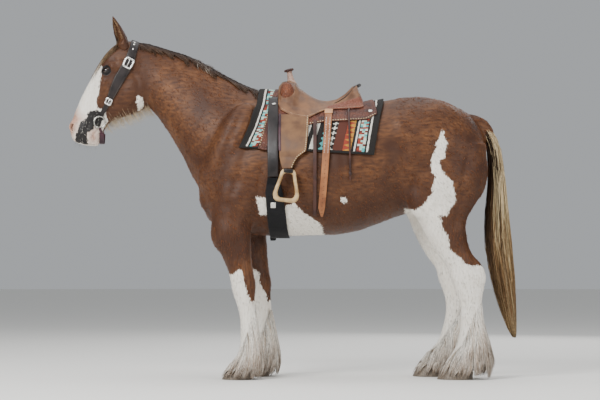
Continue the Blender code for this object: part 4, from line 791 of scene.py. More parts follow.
EYE_SLANT = (0.80, 0.0, 0.60)
EYE_PLACE = frame_at(Vector(EYE_CENTRE), EYE_SLANT, EYE_LOOK)
NOSTRIL = (-1.326, -0.054, 1.498)
EAR_BASE = (-1.004, 0.050, 1.962)
EAR_TIP = (-1.078, 0.082, 2.160)
EAR_OPENING = (-0.75, 0.65, 0.0)
BARREL_AXIS_Z = 1.25


def side_spread(ends: Point, count: int, side: Side) -> list[float]:
    """Distance of each section of a leg from the middle plane.

    Args:
        ends: The distance at the second section and at the last but one.
        count: How many sections there are.
        side: Which leg.

    Returns:
        One value for each section.
    """
    shares = [min(1.0, max(0.0, (i - 1) / (count - 2))) for i in range(count)]
    return [side.value * (ends[0] + (ends[1] - ends[0]) * share) for share in shares]


def shifted(sections: Sequence, shifts: Sequence[float]) -> tuple:
    """Sections moved along X, each by its own distance."""
    return tuple(((s[0][0] + d, s[0][1]), (s[1][0] + d, s[1][1]), *s[2:]) for s, d in zip(sections, shifts))


@dataclass(frozen=True)
class Limb:
    """A leg's sections, its feather's outline, the far leg's stance and the distance between a pair."""

    name: str
    sections: tuple
    bell: tuple
    shifts: tuple  # how far each section of the far leg stands behind the near one
    spread: Point  # from the middle plane to the leg, at its top and at its foot

    def on(self, side: Side) -> tuple[tuple, tuple]:
        """The sections and the feather's outline on a side."""
        if side is Side.LEFT:
            return self.sections, self.bell
        return shifted(self.sections, self.shifts), shifted(self.bell, [self.shifts[-2]] * len(self.bell))


FORE = Limb("fore", FORE_LEG, FORE_BELL, FORE_FAR_SHIFT, FORE_SPREAD)
HIND = Limb("hind", HIND_LEG, HIND_BELL, HIND_FAR_SHIFT, HIND_SPREAD)


def ear_frame(side: float) -> tuple[Matrix, float, Vector]:
    """An ear's place, its length and the way that its cup looks."""
    base, tip = (Vector((p[0], side * p[1], p[2])) for p in (EAR_BASE, EAR_TIP))
    opening = Vector((EAR_OPENING[0], side * EAR_OPENING[1], 0.0))
    return frame_at(base, opening, tip - base), (tip - base).length, opening


@dataclass(frozen=True)
class Loft:
    """A closed tube on a smooth curve through upright sections."""

    sections: Sequence
    sides: Sequence[float]
    steps: int = 5
    round_it: int = 56

    def rows(self) -> np.ndarray:
        """The sections' numbers with more put in between them."""
        flat = np.array(
            [
                [*s[0], *s[1], s[2], *(s[3:] or (0.5, 2.0, 2.0)), d] for s,
                d in zip(self.sections, self.sides)
            ]
        )
        last, out = len(flat) - 1, []
        for i in range(last):
            before, here, after, beyond = flat[max(i - 1, 0)], flat[i], flat[i + 1], flat[min(i + 2, last)]
            for t in np.arange(self.steps) / self.steps:
                bend = 2 * before - 5 * here + 4 * after - beyond
                twist = 3 * here - before - 3 * after + beyond
                out.append(0.5 * (2 * here + (after - before) * t + bend * t**2 + twist * t**3))
        return np.array([*out, flat[last]])

    def build(self, bm: BMesh) -> None:
        """Adds the tube to a bmesh."""
        rows = self.rows()

        def place(u: float, v: float) -> Vector:
            """The point at a share along the tube and a share of a turn round it."""
            ux, uz, lx, lz, half, widest, round_up, round_down, side = rows[round(u * (len(rows) - 1))]
            cosine, sine = math.cos(TURN * v), math.sin(TURN * v)
            power = 2 / (round_up if cosine >= 0 else round_down)
            reach = 1 - widest if cosine >= 0 else widest
            share = widest + reach * powered(cosine, power)
            out = max(half, 0.004) * powered(sine, power)
            return Vector((lx + (ux - lx) * share, side + out, lz + (uz - lz) * share))

        add_tube(bm, len(rows) - 1, self.round_it, place)


def leg_loft(limb: Limb, side: Side) -> Loft:
    """The tube of one leg."""
    sections, _ = limb.on(side)
    return Loft(sections, side_spread(limb.spread, len(sections), side))


def near_twin(points: np.ndarray) -> np.ndarray:
    """Points of either side moved to the near side's place, with the legs' different stance taken out.

    Args:
        points: N by 3 points.

    Returns:
        N by 3 points with y below 0.
    """
    twin = points.copy()
    for limb in (FORE, HIND):
        heights = [(s[0][1] + s[1][1]) / 2 for s in limb.sections][::-1]
        moves = np.interp(points[:, 2], heights, limb.shifts[::-1], right=0.0)
        on_leg = (points[:, 1] > 0.02) & ((points[:, 0] < 0.25) == (limb is FORE))
        twin[:, 0] -= np.where(on_leg, moves, 0.0)
    twin[:, 1] = -np.abs(twin[:, 1])
    return twin


# Modelled lines of the near side in photo pixels: (line, half width in pixels, height in mm)
SCULPTED = (
    (((104, 80), (99, 96), (95, 108)), 2.2, 4.0),  # facial crest
    (((88, 84), (80, 104), (76, 118)), 2.0, 1.6),  # edge of the nose bone
    (((93, 84), (87, 103), (83, 116)), 3.2, -3.2),  # hollow between nose and crest
    (((128, 64), (137, 80), (139, 95), (131, 108), (121, 114)), 2.6, -3.6),  # behind the cheek
    (((119, 84), (125, 92), (121, 102)), 6.0, 3.0),  # fullness of the cheek
    (((113, 59), (115, 61)), 3.0, -6.5),  # hollow over the eye
    (((111, 66), (117, 67), (123, 66)), 1.8, 3.2),  # bony arch behind the eye
    (((104, 63), (108, 62), (112, 64)), 1.5, 2.4),  # brow
    (((101, 83), (95, 92), (90, 104)), 0.9, 1.4),  # vein down the face
    (((112, 96), (108, 104), (104, 112)), 0.9, 1.0),
    (((82, 112), (86, 118), (84, 126), (80, 132)), 2.4, 2.0),  # upper lip's fullness
    (((92, 126), (88, 134), (88, 141)), 2.6, 2.0),  # lower lip
    (((97, 136), (100, 141)), 2.4, -3.0),  # groove behind the chin
    (((150, 108), (170, 136), (190, 170), (205, 196)), 5.0, -7.0),  # groove of the throat
    (((165, 60), (200, 76), (230, 92)), 7.0, -3.5),  # under the crest
    (((146, 70), (152, 92), (150, 104)), 1.6, -1.8),  # folds behind the throat
    (((152, 72), (158, 92), (157, 106)), 1.6, -1.6),
    (((243, 108), (226, 148), (213, 190)), 5.0, -6.5),  # front edge of the shoulder blade
    (((252, 130), (238, 175), (228, 205)), 4.0, -4.0),  # ridge of the shoulder blade
    (((262, 165), (256, 205), (243, 228)), 4.0, -5.0),  # behind the upper arm
    (((232, 198), (246, 214), (256, 222)), 3.5, 3.0),  # elbow
    (((225, 232), (228, 250), (232, 264)), 3.2, 2.6),  # forearm's front muscle
    (((238, 236), (242, 262)), 2.6, -3.4),
    (((402, 150), (397, 188)), 7.5, -8.0),  # flank
    (((412, 178), (404, 198), (394, 214)), 3.0, 4.0),  # fold of the flank
    (((398, 118), (402, 122)), 5.5, 7.0),  # point of the hip
    (((470, 148), (463, 190), (456, 226)), 4.0, -5.5),  # behind the thigh
    (((440, 130), (430, 178), (424, 214)), 5.5, -4.5),  # between thigh and croup
    (((468, 240), (478, 268)), 3.2, -6.0),  # over the hock's cord
    (((478, 245), (486, 270)), 1.8, 3.0),  # the hock's cord
    (((452, 282), (457, 292), (461, 298)), 3.0, 2.2),  # hock joint
    (((231, 276), (232, 288), (234, 296)), 3.2, 2.2),  # knee
    (((244, 300), (246, 326)), 1.5, -3.0),  # beside the cannon's cords
    (((474, 302), (478, 330)), 1.6, -3.0),
    *(
        (
            ((x, 148 + abs(x - 350) * 0.1), (x + 5, 190), (x - 2, 222)), 2.6, -1.6
        ) for x in range(330, 386, 11)
    ),
)
# Markings in photo pixels
BLAZE = (
    (121, 20), (112, 44), (104, 54), (100.5, 63), (100, 74), (99, 88), (96, 101), (97, 106), (104, 109),
    (107, 120), (95, 150), (60, 150), (60, 90), (90, 40),
)
JAW_PATCH = ((137, 95), (142, 101), (144, 105), (138, 111), (135, 102))
BELLY_PATCH = (
    (284, 206), (294, 203), (300, 209), (304, 214), (311, 217), (320, 223), (330, 250), (284, 250),
)
GIRTH_PATCH = ((256, 196), (268, 198), (267, 215), (260, 214))
FLANK_SPOT = ((341, 196), (347, 197), (348, 202), (342, 203))
FORE_WHITE = (
    (226, 272), (232, 274), (238, 269), (242, 271), (244, 279), (247, 290), (250, 295), (252, 302),
    (257, 300), (262, 295), (275, 300), (275, 390), (200, 390), (200, 272),
)
HIND_WHITE = (
    (440, 137), (434, 143), (436, 148), (433, 154), (431, 159), (431, 169), (437, 177), (430, 188),
    (433, 191), (423, 205), (415, 210), (404, 208), (420, 290), (420, 390), (520, 390), (500, 266),
    (475, 266), (464, 262), (457, 256), (450, 248), (448, 236), (442, 224), (439, 216), (447, 216),
    (451, 208), (457, 201), (453, 187), (452, 181), (444, 171), (439, 160), (445, 159), (446, 149),
    (449, 143), (443, 128),
)
NOSE_PATCH = (
    (90, 111), (97, 110.5), (102, 112), (104, 119), (99, 126), (92, 128), (88, 133), (86.5, 141),
    (88, 143.5), (97, 144), (97, 150), (75, 150), (74, 137), (77, 131), (79.5, 125), (84, 118),
)
LIP_PINK = ((88, 127), (98, 126), (100, 136), (99, 144), (86, 143))
NOSE_PINK = ((60, 106), (76, 106), (84, 118), (79.5, 125), (77, 131), (74, 137), (76, 150), (60, 150))


@dataclass(frozen=True)
class Markings:
    """Where the coat is white and where the bare skin is dark or pink, measured in the photo."""

    ragged: float = 0.9  # pixels by which the edges wander

    def ragged_photo(self, points: np.ndarray, sizes: Point, seed: int) -> np.ndarray:
        """Where points lie in the photo, wandering a little so that edges come out ragged."""
        sway = [wobble(points, size, seed + i) for i, size in enumerate(sizes)]
        return to_photo(near_twin(points)) + self.ragged * np.stack(sway, axis=1)

    def white_by(self, points: np.ndarray) -> np.ndarray:
        """How far points lie inside the white, in photo pixels."""
        flat = self.ragged_photo(points, (0.055, 0.05), 3)
        head = points[:, 0] < -0.86
        most = np.full(len(points), NONE_NEAR)
        for outline, ok in (
            (BLAZE, head),
            (JAW_PATCH, head),
            (BELLY_PATCH, points[:, 2] < 1.1),
            (GIRTH_PATCH, points[:, 2] < 1.2),
            (FLANK_SPOT, np.full(len(points), True)),
            (FORE_WHITE, (points[:, 0] < 0.2) & (points[:, 2] < 0.8)),
            (HIND_WHITE, points[:, 0] > 0.6),
        ):
            most = np.maximum(most, np.where(ok, inside_by(flat, outline), NONE_NEAR))
        # Above the eyes the white keeps to a band along the middle of the face
        narrow = (0.048 - np.abs(points[:, 1])) / PIXEL
        return np.where(head & (points[:, 2] > 1.93), np.minimum(most, narrow), most)

    def bare(self, points: np.ndarray) -> tuple[np.ndarray, np.ndarray]:
        """How far points lie inside the dark skin and inside the pink skin, in photo pixels."""
        flat = self.ragged_photo(points, (0.03, 0.028), 5)
        head = points[:, 0] < -1.1
        dark = np.where(head, inside_by(flat, NOSE_PATCH), NONE_NEAR)
        dark = np.where(np.abs(points[:, 1]) < 0.026, -60.0, dark)
        pink = np.maximum(inside_by(flat, NOSE_PINK), inside_by(flat, LIP_PINK))
        return dark, np.where(head, pink, NONE_NEAR)


@dataclass
class Skin:
    """The whole skin of the horse: one closed surface with lids, nostrils, lips and ears."""

    voxel: float = 0.0124
    under_coat: float = 0.0030  # how far the skin lies inside the solids
    finish: CoatFinish = field(default_factory=CoatFinish)
    marks: Markings = field(default_factory=Markings)

    def base(self) -> Obj:
        """Trunk, neck, head, legs and dock grown together as one smooth surface."""
        bm = bmesh.new()
        for sections in (TRUNK, NECK, HEAD, DOCK):
            Loft(sections, [0.0] * len(sections)).build(bm)
        for side in Side:
            for limb in (FORE, HIND):
                leg_loft(limb, side).build(bm)
            for (x, y, z), radii, pitch in MUSCLES:
                add_ball(bm, (x, side.value * y, z), radii, pitch)
        obj = linked("skin", outward_mesh("skin", bm))
        remesh = obj.modifiers.new("remesh", "REMESH")
        remesh.mode = "VOXEL"
        remesh.voxel_size = self.voxel
        smooth = obj.modifiers.new("smooth", "SMOOTH")
        smooth.factor = 0.5
        smooth.iterations = 8
        settled(obj)
        settled(obj)
        self.refine(obj.data)
        return obj

    def refine(self, mesh: Mesh) -> None:
        """Makes the mesh finer over the head, and finest round the eyes and nostrils.

        Args:
            mesh: The skin's mesh, which is changed.
        """
        bm = bmesh.new()
        bm.from_mesh(mesh)
        eye, nose = Vector(EYE_CENTRE), Vector(NOSTRIL)

        def split(chosen: Callable[[Vector], bool]) -> None:
            """Parts the faces near the chosen points in four."""
            edges = [e for e in bm.edges if chosen((e.verts[0].co + e.verts[1].co) / 2)]
            bmesh.ops.subdivide_edges(bm, edges=edges, cuts=1, use_grid_fill=True)
            near = [v for v in bm.verts if chosen(v.co)]
            bmesh.ops.smooth_vert(
                bm, verts=near, factor=0.5, use_axis_x=True, use_axis_y=True, use_axis_z=True
            )

        def twin(point: Vector) -> Vector:
            """The point on the near side."""
            return Vector((point.x, -abs(point.y), point.z))

        split(lambda p: p.x < -0.90 and p.z > 1.2)
        for reach in (0.052, 0.040):
            split(lambda p: (twin(p) - eye).length < reach or (twin(p) - nose).length < reach)
        bm.to_mesh(mesh)
        bm.free()

    def sculpt(self, mesh: Mesh) -> None:
        """Models grooves, bones and muscles into the surface, and sinks it under the coat.

        Args:
            mesh: The skin's mesh, which is changed.
        """
        points, normals = points_of(mesh)
        flat = to_photo(near_twin(points))
        facing = np.abs(normals[:, 1]) ** 0.7
        height = np.zeros(len(points))
        for line, half, rise in SCULPTED:
            height += 1.5 * rise * np.exp(-((near_line(flat, line) / half) ** 2)) * facing
        mouth = ((101, 124), (96, 131), (91, 138), (86, 142), (80, 143))
        off = near_line(flat, mouth)
        lips = points[:, 2] < 1.53
        height += np.where(
            lips, -5.0 * np.exp(-((off / 0.55) ** 2)) + 1.4 * np.exp(-(((off - 1.9) / 1.1) ** 2)), 0
        )
        soft = wobble(points, 0.16, 11) * 1.1 + wobble(points, 0.05, 12) * 0.4
        points += normals * ((height + soft) * MM - self.under_coat)[:, None]
        mesh.vertices.foreach_set("co", points.ravel())
        mesh.update()

    def open_eyes(self, mesh: Mesh) -> None:
        """Shapes the lids over the eyeballs and opens them.

        Args:
            mesh: The skin's mesh, which is changed.
        """
        place = EYE_PLACE
        lids = LidShape()
        bm = bmesh.new()
        bm.from_mesh(mesh)
        back = place.inverted()
        for side in Side:
            flip = Matrix.Diagonal((1.0, -side.value, 1.0, 1.0))
            here, home = back @ flip, flip @ place
            near = [v for v in bm.verts if (here @ v.co).length < 0.06 and side.value * v.co.y > 0]
            for vert in near:
                vert.co = home @ lids.shaped(here @ vert.co)
            inside = []
            for face in {f for v in near for f in v.link_faces}:
                middle = here @ face.calc_center_median()
                if middle.z > 0 and lids.beyond(middle.x, middle.y) < 0:
                    inside.append(face)
            bmesh.ops.delete(bm, geom=inside, context="FACES")
            rim = [e for e in bm.edges if e.is_boundary]
            for vert in {v for e in rim for v in e.verts}:
                vert.co = home @ lids.on_margin(here @ vert.co, 0.0034)
            for lift, scale in ((0.0004, 0.97), (-0.004, 0.93)):
                made = bmesh.ops.extrude_edge_only(bm, edges=rim)["geom"]
                rim = [g for g in made if isinstance(g, bmesh.types.BMEdge) and g.is_boundary]
                for vert in {v for e in rim for v in e.verts}:
                    vert.co = home @ lids.on_margin(here @ vert.co, lift, scale)
            bmesh.ops.holes_fill(bm, edges=rim, sides=0)
        bm.to_mesh(mesh)
        bm.free()

    def open_nostrils(self, mesh: Mesh) -> np.ndarray:
        """Sinks the nostrils and raises their rims.

        Args:
            mesh: The skin's mesh, which is changed.

        Returns:
            How far inside a nostril each point lies, from 0 to 1.
        """
        points, _ = points_of(mesh)
        place = frame_at(Vector(NOSTRIL), (0.35, 0.0, 0.94), (-0.66, -0.74, 0.1))
        twin = mirrored(points)
        local = (twin - np.array(place.translation)) @ np.array(place.to_3x3())
        along, across = local[:, 0], local[:, 1] + 14.0 * local[:, 0] ** 2
        off = np.hypot(along / 0.0215, across / 0.0095)
        near = np.linalg.norm(local, axis=1) < 0.05
        pocket = np.where(near, 1 - smooth_step(off, 0.72, 1.12), 0.0)
        rim = np.where(near, np.exp(-(((off - 1.45) / 0.28) ** 2)), 0.0)
        move = -0.026 * pocket + 0.0032 * rim
        outward = np.array(place.to_3x3().col[2])
        points += move[:, None] * outward * np.column_stack(
            [np.ones(len(points)), -np.sign(points[:, 1]), np.ones(len(points))]
        )
        mesh.vertices.foreach_set("co", points.ravel())
        mesh.update()
        return pocket

    def ears(self, bm: BMesh) -> None:
        """Adds both cupped ears, with rolled rims.

        Args:
            bm: The skin's bmesh.
        """
        for side in Side:
            place, length, _ = ear_frame(side.value)

            def point(u: float, v: float) -> Vector:
                """A point of the ear: its back is round, and its front is drawn in to a cup."""
                height, wide, deep = along_table(EAR_RINGS, u)
                angle = TURN * v
                cup = float(np.interp(height, (0.2, 0.34, 0.5, 0.85, 0.97), (0.0, 0.85, 1.0, 1.0, 0.2)))
                out = deep * math.cos(angle)
                if math.cos(angle) > 0:
                    out *= 1 - cup * (1.62 + 0.1 * math.cos(angle))
                    out += 0.35 * deep * cup * math.cos(angle) ** 0.4
                lean = 0.006 * math.sin(math.pi * height)
                return place @ Vector((out + lean, (wide - 0.002) * math.sin(angle), height * length))

            rings = np.linspace(0, 1, len(EAR_RINGS))
            heights = [ring[0] for ring in EAR_RINGS]
            add_tube(bm, 36, 48, lambda u, v: point(float(np.interp(u, heights, rings)), v))

    def build(self) -> tuple[Obj, BVHTree]:
        """Builds the skin.

        Returns:
            The skin, and the plain flesh under it to lay tack on.
        """
        obj = self.base()
        flesh = surface_of(obj)
        self.sculpt(obj.data)
        self.open_eyes(obj.data)
        pocket = self.open_nostrils(obj.data)
        bm = bmesh.new()
        bm.from_mesh(obj.data)
        body = len(bm.verts)
        self.ears(bm)
        for face in bm.faces:
            face.smooth = True
        bm.to_mesh(obj.data)
        bm.free()
        self.dress(obj, pocket, body)
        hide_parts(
            "torso", "neck", "head", "ear_left", "ear_right", "foreleg_left", "foreleg_right",
            "hindleg_left", "hindleg_right", "forefoot_left", "forefoot_right",
            "hindfoot_left", "hindfoot_right",
        )
        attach(obj, BODY)
        return obj, flesh

    def dress(self, obj: Obj, pocket: np.ndarray, body: int) -> None:
        """Writes the markings and the painted shade on the skin, unwraps it and gives it its coat.

        Args:
            obj: The skin.
            pocket: How far inside a nostril each point lies.
            body: How many points the skin has without the ears.
        """
        points, normals = points_of(obj.data)
        band = 5.0  # photo pixels over which an edge's value runs
        white = 0.5 + self.marks.white_by(points) / band
        dark, pink = self.marks.bare(points)
        dark, pink = 0.5 + dark / band, 0.35 + pink / (2 * band)
        # Inside the nostrils the skin is painted dark: painted shade in the hollows.
        dark[: len(pocket)] = np.maximum(dark[: len(pocket)], pocket)
        twin = mirrored(points)
        lid = np.linalg.norm(twin - np.array(EYE_CENTRE), axis=1)
        dark = np.maximum(dark, 1.0 - smooth_step(lid, 0.0235, 0.042))
        ear = np.arange(len(points)) >= body
        inner = ear & (normals @ np.array((-0.75, 0.0, 0.0)) > 0.2)
        leg = smooth_step(-points[:, 2], -1.05, -0.9)
        # Painted shade: a darker band round the belly and the tops of the legs, where shade falls under the
        # barrel. The whole head is darker too.
        deep = np.maximum(
            0.55 * smooth_step(-np.abs(near_twin(points)[:, 2] - 0.95), -0.25, -0.05),
            np.where(points[:, 0] < -0.86, 0.55, 0.0),
        )
        around_eye = near_line(to_photo(twin), ((104, 66), (107, 74), (112, 74)))
        deep = np.maximum(deep, 1.0 - smooth_step(around_eye, 3.0, 7.5))
        deep = np.maximum(deep, 0.8 * smooth_step(-near_line(to_photo(near_twin(points)), CREST), -9, -2))
        white[ear] = -0.5
        dark[ear], pink[ear] = 0.0, 0.0
        deep[ear], deep[inner] = 0.6, 1.0
        for name, values in (
            ("white", white), ("dark", dark), ("pink", pink), ("leg", leg), ("deep", deep)
        ):
            set_value(obj.data, name, np.clip(values, 0, 1))
        unwrap(obj)
        obj.data.materials.append(self.finish.material("clipped summer coat"))


CREST = ((136, 38), (165, 46), (199, 58), (230, 74), (262, 92))


@dataclass(frozen=True)
class LidShape:
    """The form of a pair of lids, in the eye's own frame: x along the opening, y up, z outwards."""

    half: float = 0.0225
    up: float = 0.0150
    down: float = 0.0115
    thick: float = 0.0040
    # Folds: (distance from the margin above, depth, width), then below
    folds_up: tuple = ((0.0085, -0.0024, 0.0018), (0.0150, -0.0014, 0.0020), (0.0115, 0.0012, 0.0020))
    folds_down: tuple = ((0.0070, -0.0016, 0.0016), (0.0125, -0.0010, 0.0018))

    def beyond(self, x: float, y: float) -> float:
        """How far a place lies outside the opening, negative inside."""
        tall = self.up if y >= 0 else self.down
        share = math.hypot(x / self.half, y / tall)
        if share < 1e-6:
            return -tall
        return math.hypot(x, y) * (1 - 1 / share)

    def shaped(self, point: Vector) -> Vector:
        """A point of the skin near the eye drawn onto the lids.

        Args:
            point: The point in the eye's frame.

        Returns:
            Its new place.
        """
        off = math.hypot(point.x, point.y)
        if point.z < -0.03 or off > 0.05:
            return point
        ball = EYE_RADIUS + self.thick
        lid = math.sqrt(max(ball * ball - min(off, ball * 0.98) ** 2, 0.0))
        take = float(smooth_step(np.array(-off), -0.034, -0.0215))
        far = self.beyond(point.x, point.y)
        fade = float(smooth_step(np.array(-off), -0.046, -0.030))
        folds = self.folds_up if point.y > 0 else self.folds_down
        ripple = sum(deep * math.exp(-(((far - at) / wide) ** 2)) for at, deep, wide in folds)
        height = point.z + (lid - point.z) * take + ripple * fade
        return Vector((point.x, point.y, height))

    def on_margin(self, point: Vector, lift: float, scale: float = 1.0) -> Vector:
        """The place on the lids' edge nearest a point.

        Args:
            point: The point in the eye's frame.
            lift: Height over the eyeball.
            scale: Size of the opening against its own.

        Returns:
            The place.
        """
        angle = math.atan2(point.y, point.x)
        tall = self.up if point.y >= 0 else self.down
        reach = scale / math.hypot(math.cos(angle) / self.half, math.sin(angle) / tall)
        x, y = reach * math.cos(angle), reach * math.sin(angle)
        ball = EYE_RADIUS + lift
        return Vector((x, y, math.sqrt(max(ball * ball - x * x - y * y, 0.000004))))


def unwrap(obj: Obj) -> None:
    """Unwraps a piece's own shape into a new map named OFBake."""
    obj.data.uv_layers.new(name="OFBake")
    bpy.context.view_layer.objects.active = obj
    obj.select_set(True)
    bpy.ops.object.mode_set(mode="EDIT")
    bpy.ops.mesh.select_all(action="SELECT")
    bpy.ops.uv.smart_project(angle_limit=math.radians(66), island_margin=0.0006)
    bpy.ops.object.mode_set(mode="OBJECT")
    obj.select_set(False)


# Hair


@dataclass
class Locks:
    """Many tapered locks of hair in one mesh, each a closed three-sided spike along a line of points."""

    name: str
    spines: list = field(default_factory=list)
    facings: list = field(default_factory=list)
    widths: list = field(default_factory=list)
    tints: list = field(default_factory=list)

    def add(self, spine: np.ndarray, facing: np.ndarray, width: np.ndarray, tint: np.ndarray) -> None:
        """Adds locks.

        Args:
            spine: N by S by 3 points from the roots to the tips.
            facing: N by 3 directions that the flat sides look to.
            width: N widths in metres.
            tint: N by S by 3 linear colours.
        """
        self.spines.append(spine)
        self.facings.append(facing)
        self.widths.append(width)
        self.tints.append(tint)

    def build(self, skin: Obj, finish: HairFinish, nodes: Sequence[str], slot: str) -> Obj:
        """Makes the mesh, with a small patch of the skin's unwrap for each lock.

        Args:
            skin: The unwrapped skin.
            finish: The hair's finish.
            nodes: CAD nodes that the locks take the place of.
            slot: The material slot.

        Returns:
            The piece.
        """
        spine = np.concatenate(self.spines)
        facing = np.concatenate(self.facings)
        width = np.concatenate(self.widths)
        tint = np.concatenate(self.tints)
        count, steps = spine.shape[:2]
        along = np.gradient(spine, axis=1)
        along /= np.linalg.norm(along, axis=2, keepdims=True) + 1e-12
        across = np.cross(along, facing[:, None, :])
        across /= np.linalg.norm(across, axis=2, keepdims=True) + 1e-12
        up = np.cross(across, along)
        share = np.linspace(0, 1, steps)
        taper = np.interp(share, (0.0, 0.25, 0.7, 1.0), (0.55, 1.0, 0.72, 0.05))
        wide = (width[:, None] * taper / 2)[..., None]
        corners = np.stack([spine + across * wide, spine + up * wide * 0.8, spine - across * wide], axis=2)
        corners = corners[:, :-1].reshape(count, -1, 3)
        verts = np.concatenate([corners, spine[:, -1:]], axis=1)
        each = verts.shape[1]
        quads = [
            (s * 3 + i, s * 3 + (i + 1) % 3, s * 3 + 3 + (i + 1) % 3, s * 3 + 3 + i)
            for s in range(steps - 2)
            for i in range(3)
        ]
        last = (steps - 2) * 3
        tris = [(last + i, last + (i + 1) % 3, last + 3) for i in range(3)] + [(2, 1, 0)]
        loops = np.concatenate([np.array(quads).ravel(), np.array(tris).ravel()])
        sizes = np.array([4] * len(quads) + [3] * len(tris))
        mesh = bpy.data.meshes.new(self.name)
        mesh.vertices.add(count * each)
        mesh.vertices.foreach_set("co", verts.astype(np.float32).ravel())
        every = (loops[None, :] + (np.arange(count) * each)[:, None]).ravel()
        mesh.loops.add(len(every))
        mesh.loops.foreach_set("vertex_index", every.astype(np.int32))
        all_sizes = np.tile(sizes, count)
        mesh.polygons.add(len(all_sizes))
        starts = np.concatenate([[0], np.cumsum(all_sizes)[:-1]])
        mesh.polygons.foreach_set("loop_start", starts.astype(np.int32))
        mesh.update(calc_edges=True)
        self.paint(mesh, tint, count, steps)
        self.place_patches(mesh, skin, spine, loops, steps)
        mesh.validate()
        LOG.info("%s: %d locks", self.name, count)
        return dressed(self.name, mesh, finish.material(f"{self.name} hair"), nodes, slot)

    def paint(self, mesh: Mesh, tint: np.ndarray, count: int, steps: int) -> None:
        """Writes each lock's colours on its points."""
        at_points = np.ones((count, (steps - 1) * 3 + 1, 4))
        at_points[:, :-1, :3] = np.repeat(tint[:, :-1], 3, axis=1)
        at_points[:, -1, :3] = tint[:, -1]
        layer = mesh.color_attributes.new("tint", "FLOAT_COLOR", "POINT")
        layer.data.foreach_set("color", at_points.astype(np.float32).ravel())

    def place_patches(
        self, mesh: Mesh, skin: Obj, spine: np.ndarray, loops: np.ndarray, steps: int
    ) -> None:
        """Gives each lock a small patch at its root's place on the skin's unwrap.

        Args:
            mesh: The locks' mesh.
            skin: The unwrapped skin.
            spine: The locks' middle lines.
            loops: Corner numbers of one lock.
            steps: Points along a lock.
        """
        patch = 0.003  # side of a lock's patch in the unwrap
        tree = surface_of(skin)
        layer = skin.data.uv_layers["OFBake"].data
        polygons = skin.data.polygons
        homes = np.zeros((len(spine), 2))
        for i, root in enumerate(spine[:, 0]):
            index = tree.find_nearest(Vector(root))[2]
            start = polygons[index].loop_start
            homes[i] = layer[start].uv
        up = np.concatenate([np.repeat(np.linspace(0, 1, steps)[:-1], 3), [1.0]])
        side = np.concatenate([np.tile((0.0, 0.5, 1.0), steps - 1), [0.5]])
        local = np.stack([side, up], axis=1)[loops] * patch
        uv = np.clip(homes, 0.0, 1 - patch)[:, None, :] + local[None]
        made = mesh.uv_layers.new(name="OFBake")
        made.data.foreach_set("uv", uv.astype(np.float32).ravel())


def shades(draw: Draw, count: int, steps: int, codes: Sequence[str], spread: float) -> np.ndarray:
    """Colours along locks, through the given ones from root to tip, each lock a little lighter or darker.

    Args:
        draw: The source of random numbers.
        count: How many locks.
        steps: Points along a lock.
        codes: sRGB colours from root to tip.
        spread: How much the locks differ.

    Returns:
        N by S by 3 linear colours.
    """
    ends = np.array([linear(code)[:3] for code in codes])
    places = np.linspace(0, 1, len(codes))
    share = np.clip(np.linspace(0, 1, steps) + draw.normal(0, 0.12, (count, 1)), 0, 1)
    tint = np.stack([np.interp(share, places, ends[:, c]) for c in range(3)], axis=2)
    return np.clip(tint * np.exp(draw.normal(0, spread, (count, 1, 1))), 0, 1)


def upright_rows(table: Sequence, heights: np.ndarray) -> tuple[np.ndarray, np.ndarray, np.ndarray]:
    """Middle x, half length and half width of a table's sections at heights."""
    rows = sorted(((s[0][1] + s[1][1]) / 2, s[0][0], s[1][0], s[2]) for s in table)
    columns = [np.interp(heights, [r[0] for r in rows], [r[i] for r in rows]) for i in (1, 2, 3)]
    return (columns[0] + columns[1]) / 2, (columns[1] - columns[0]) / 2, columns[2]


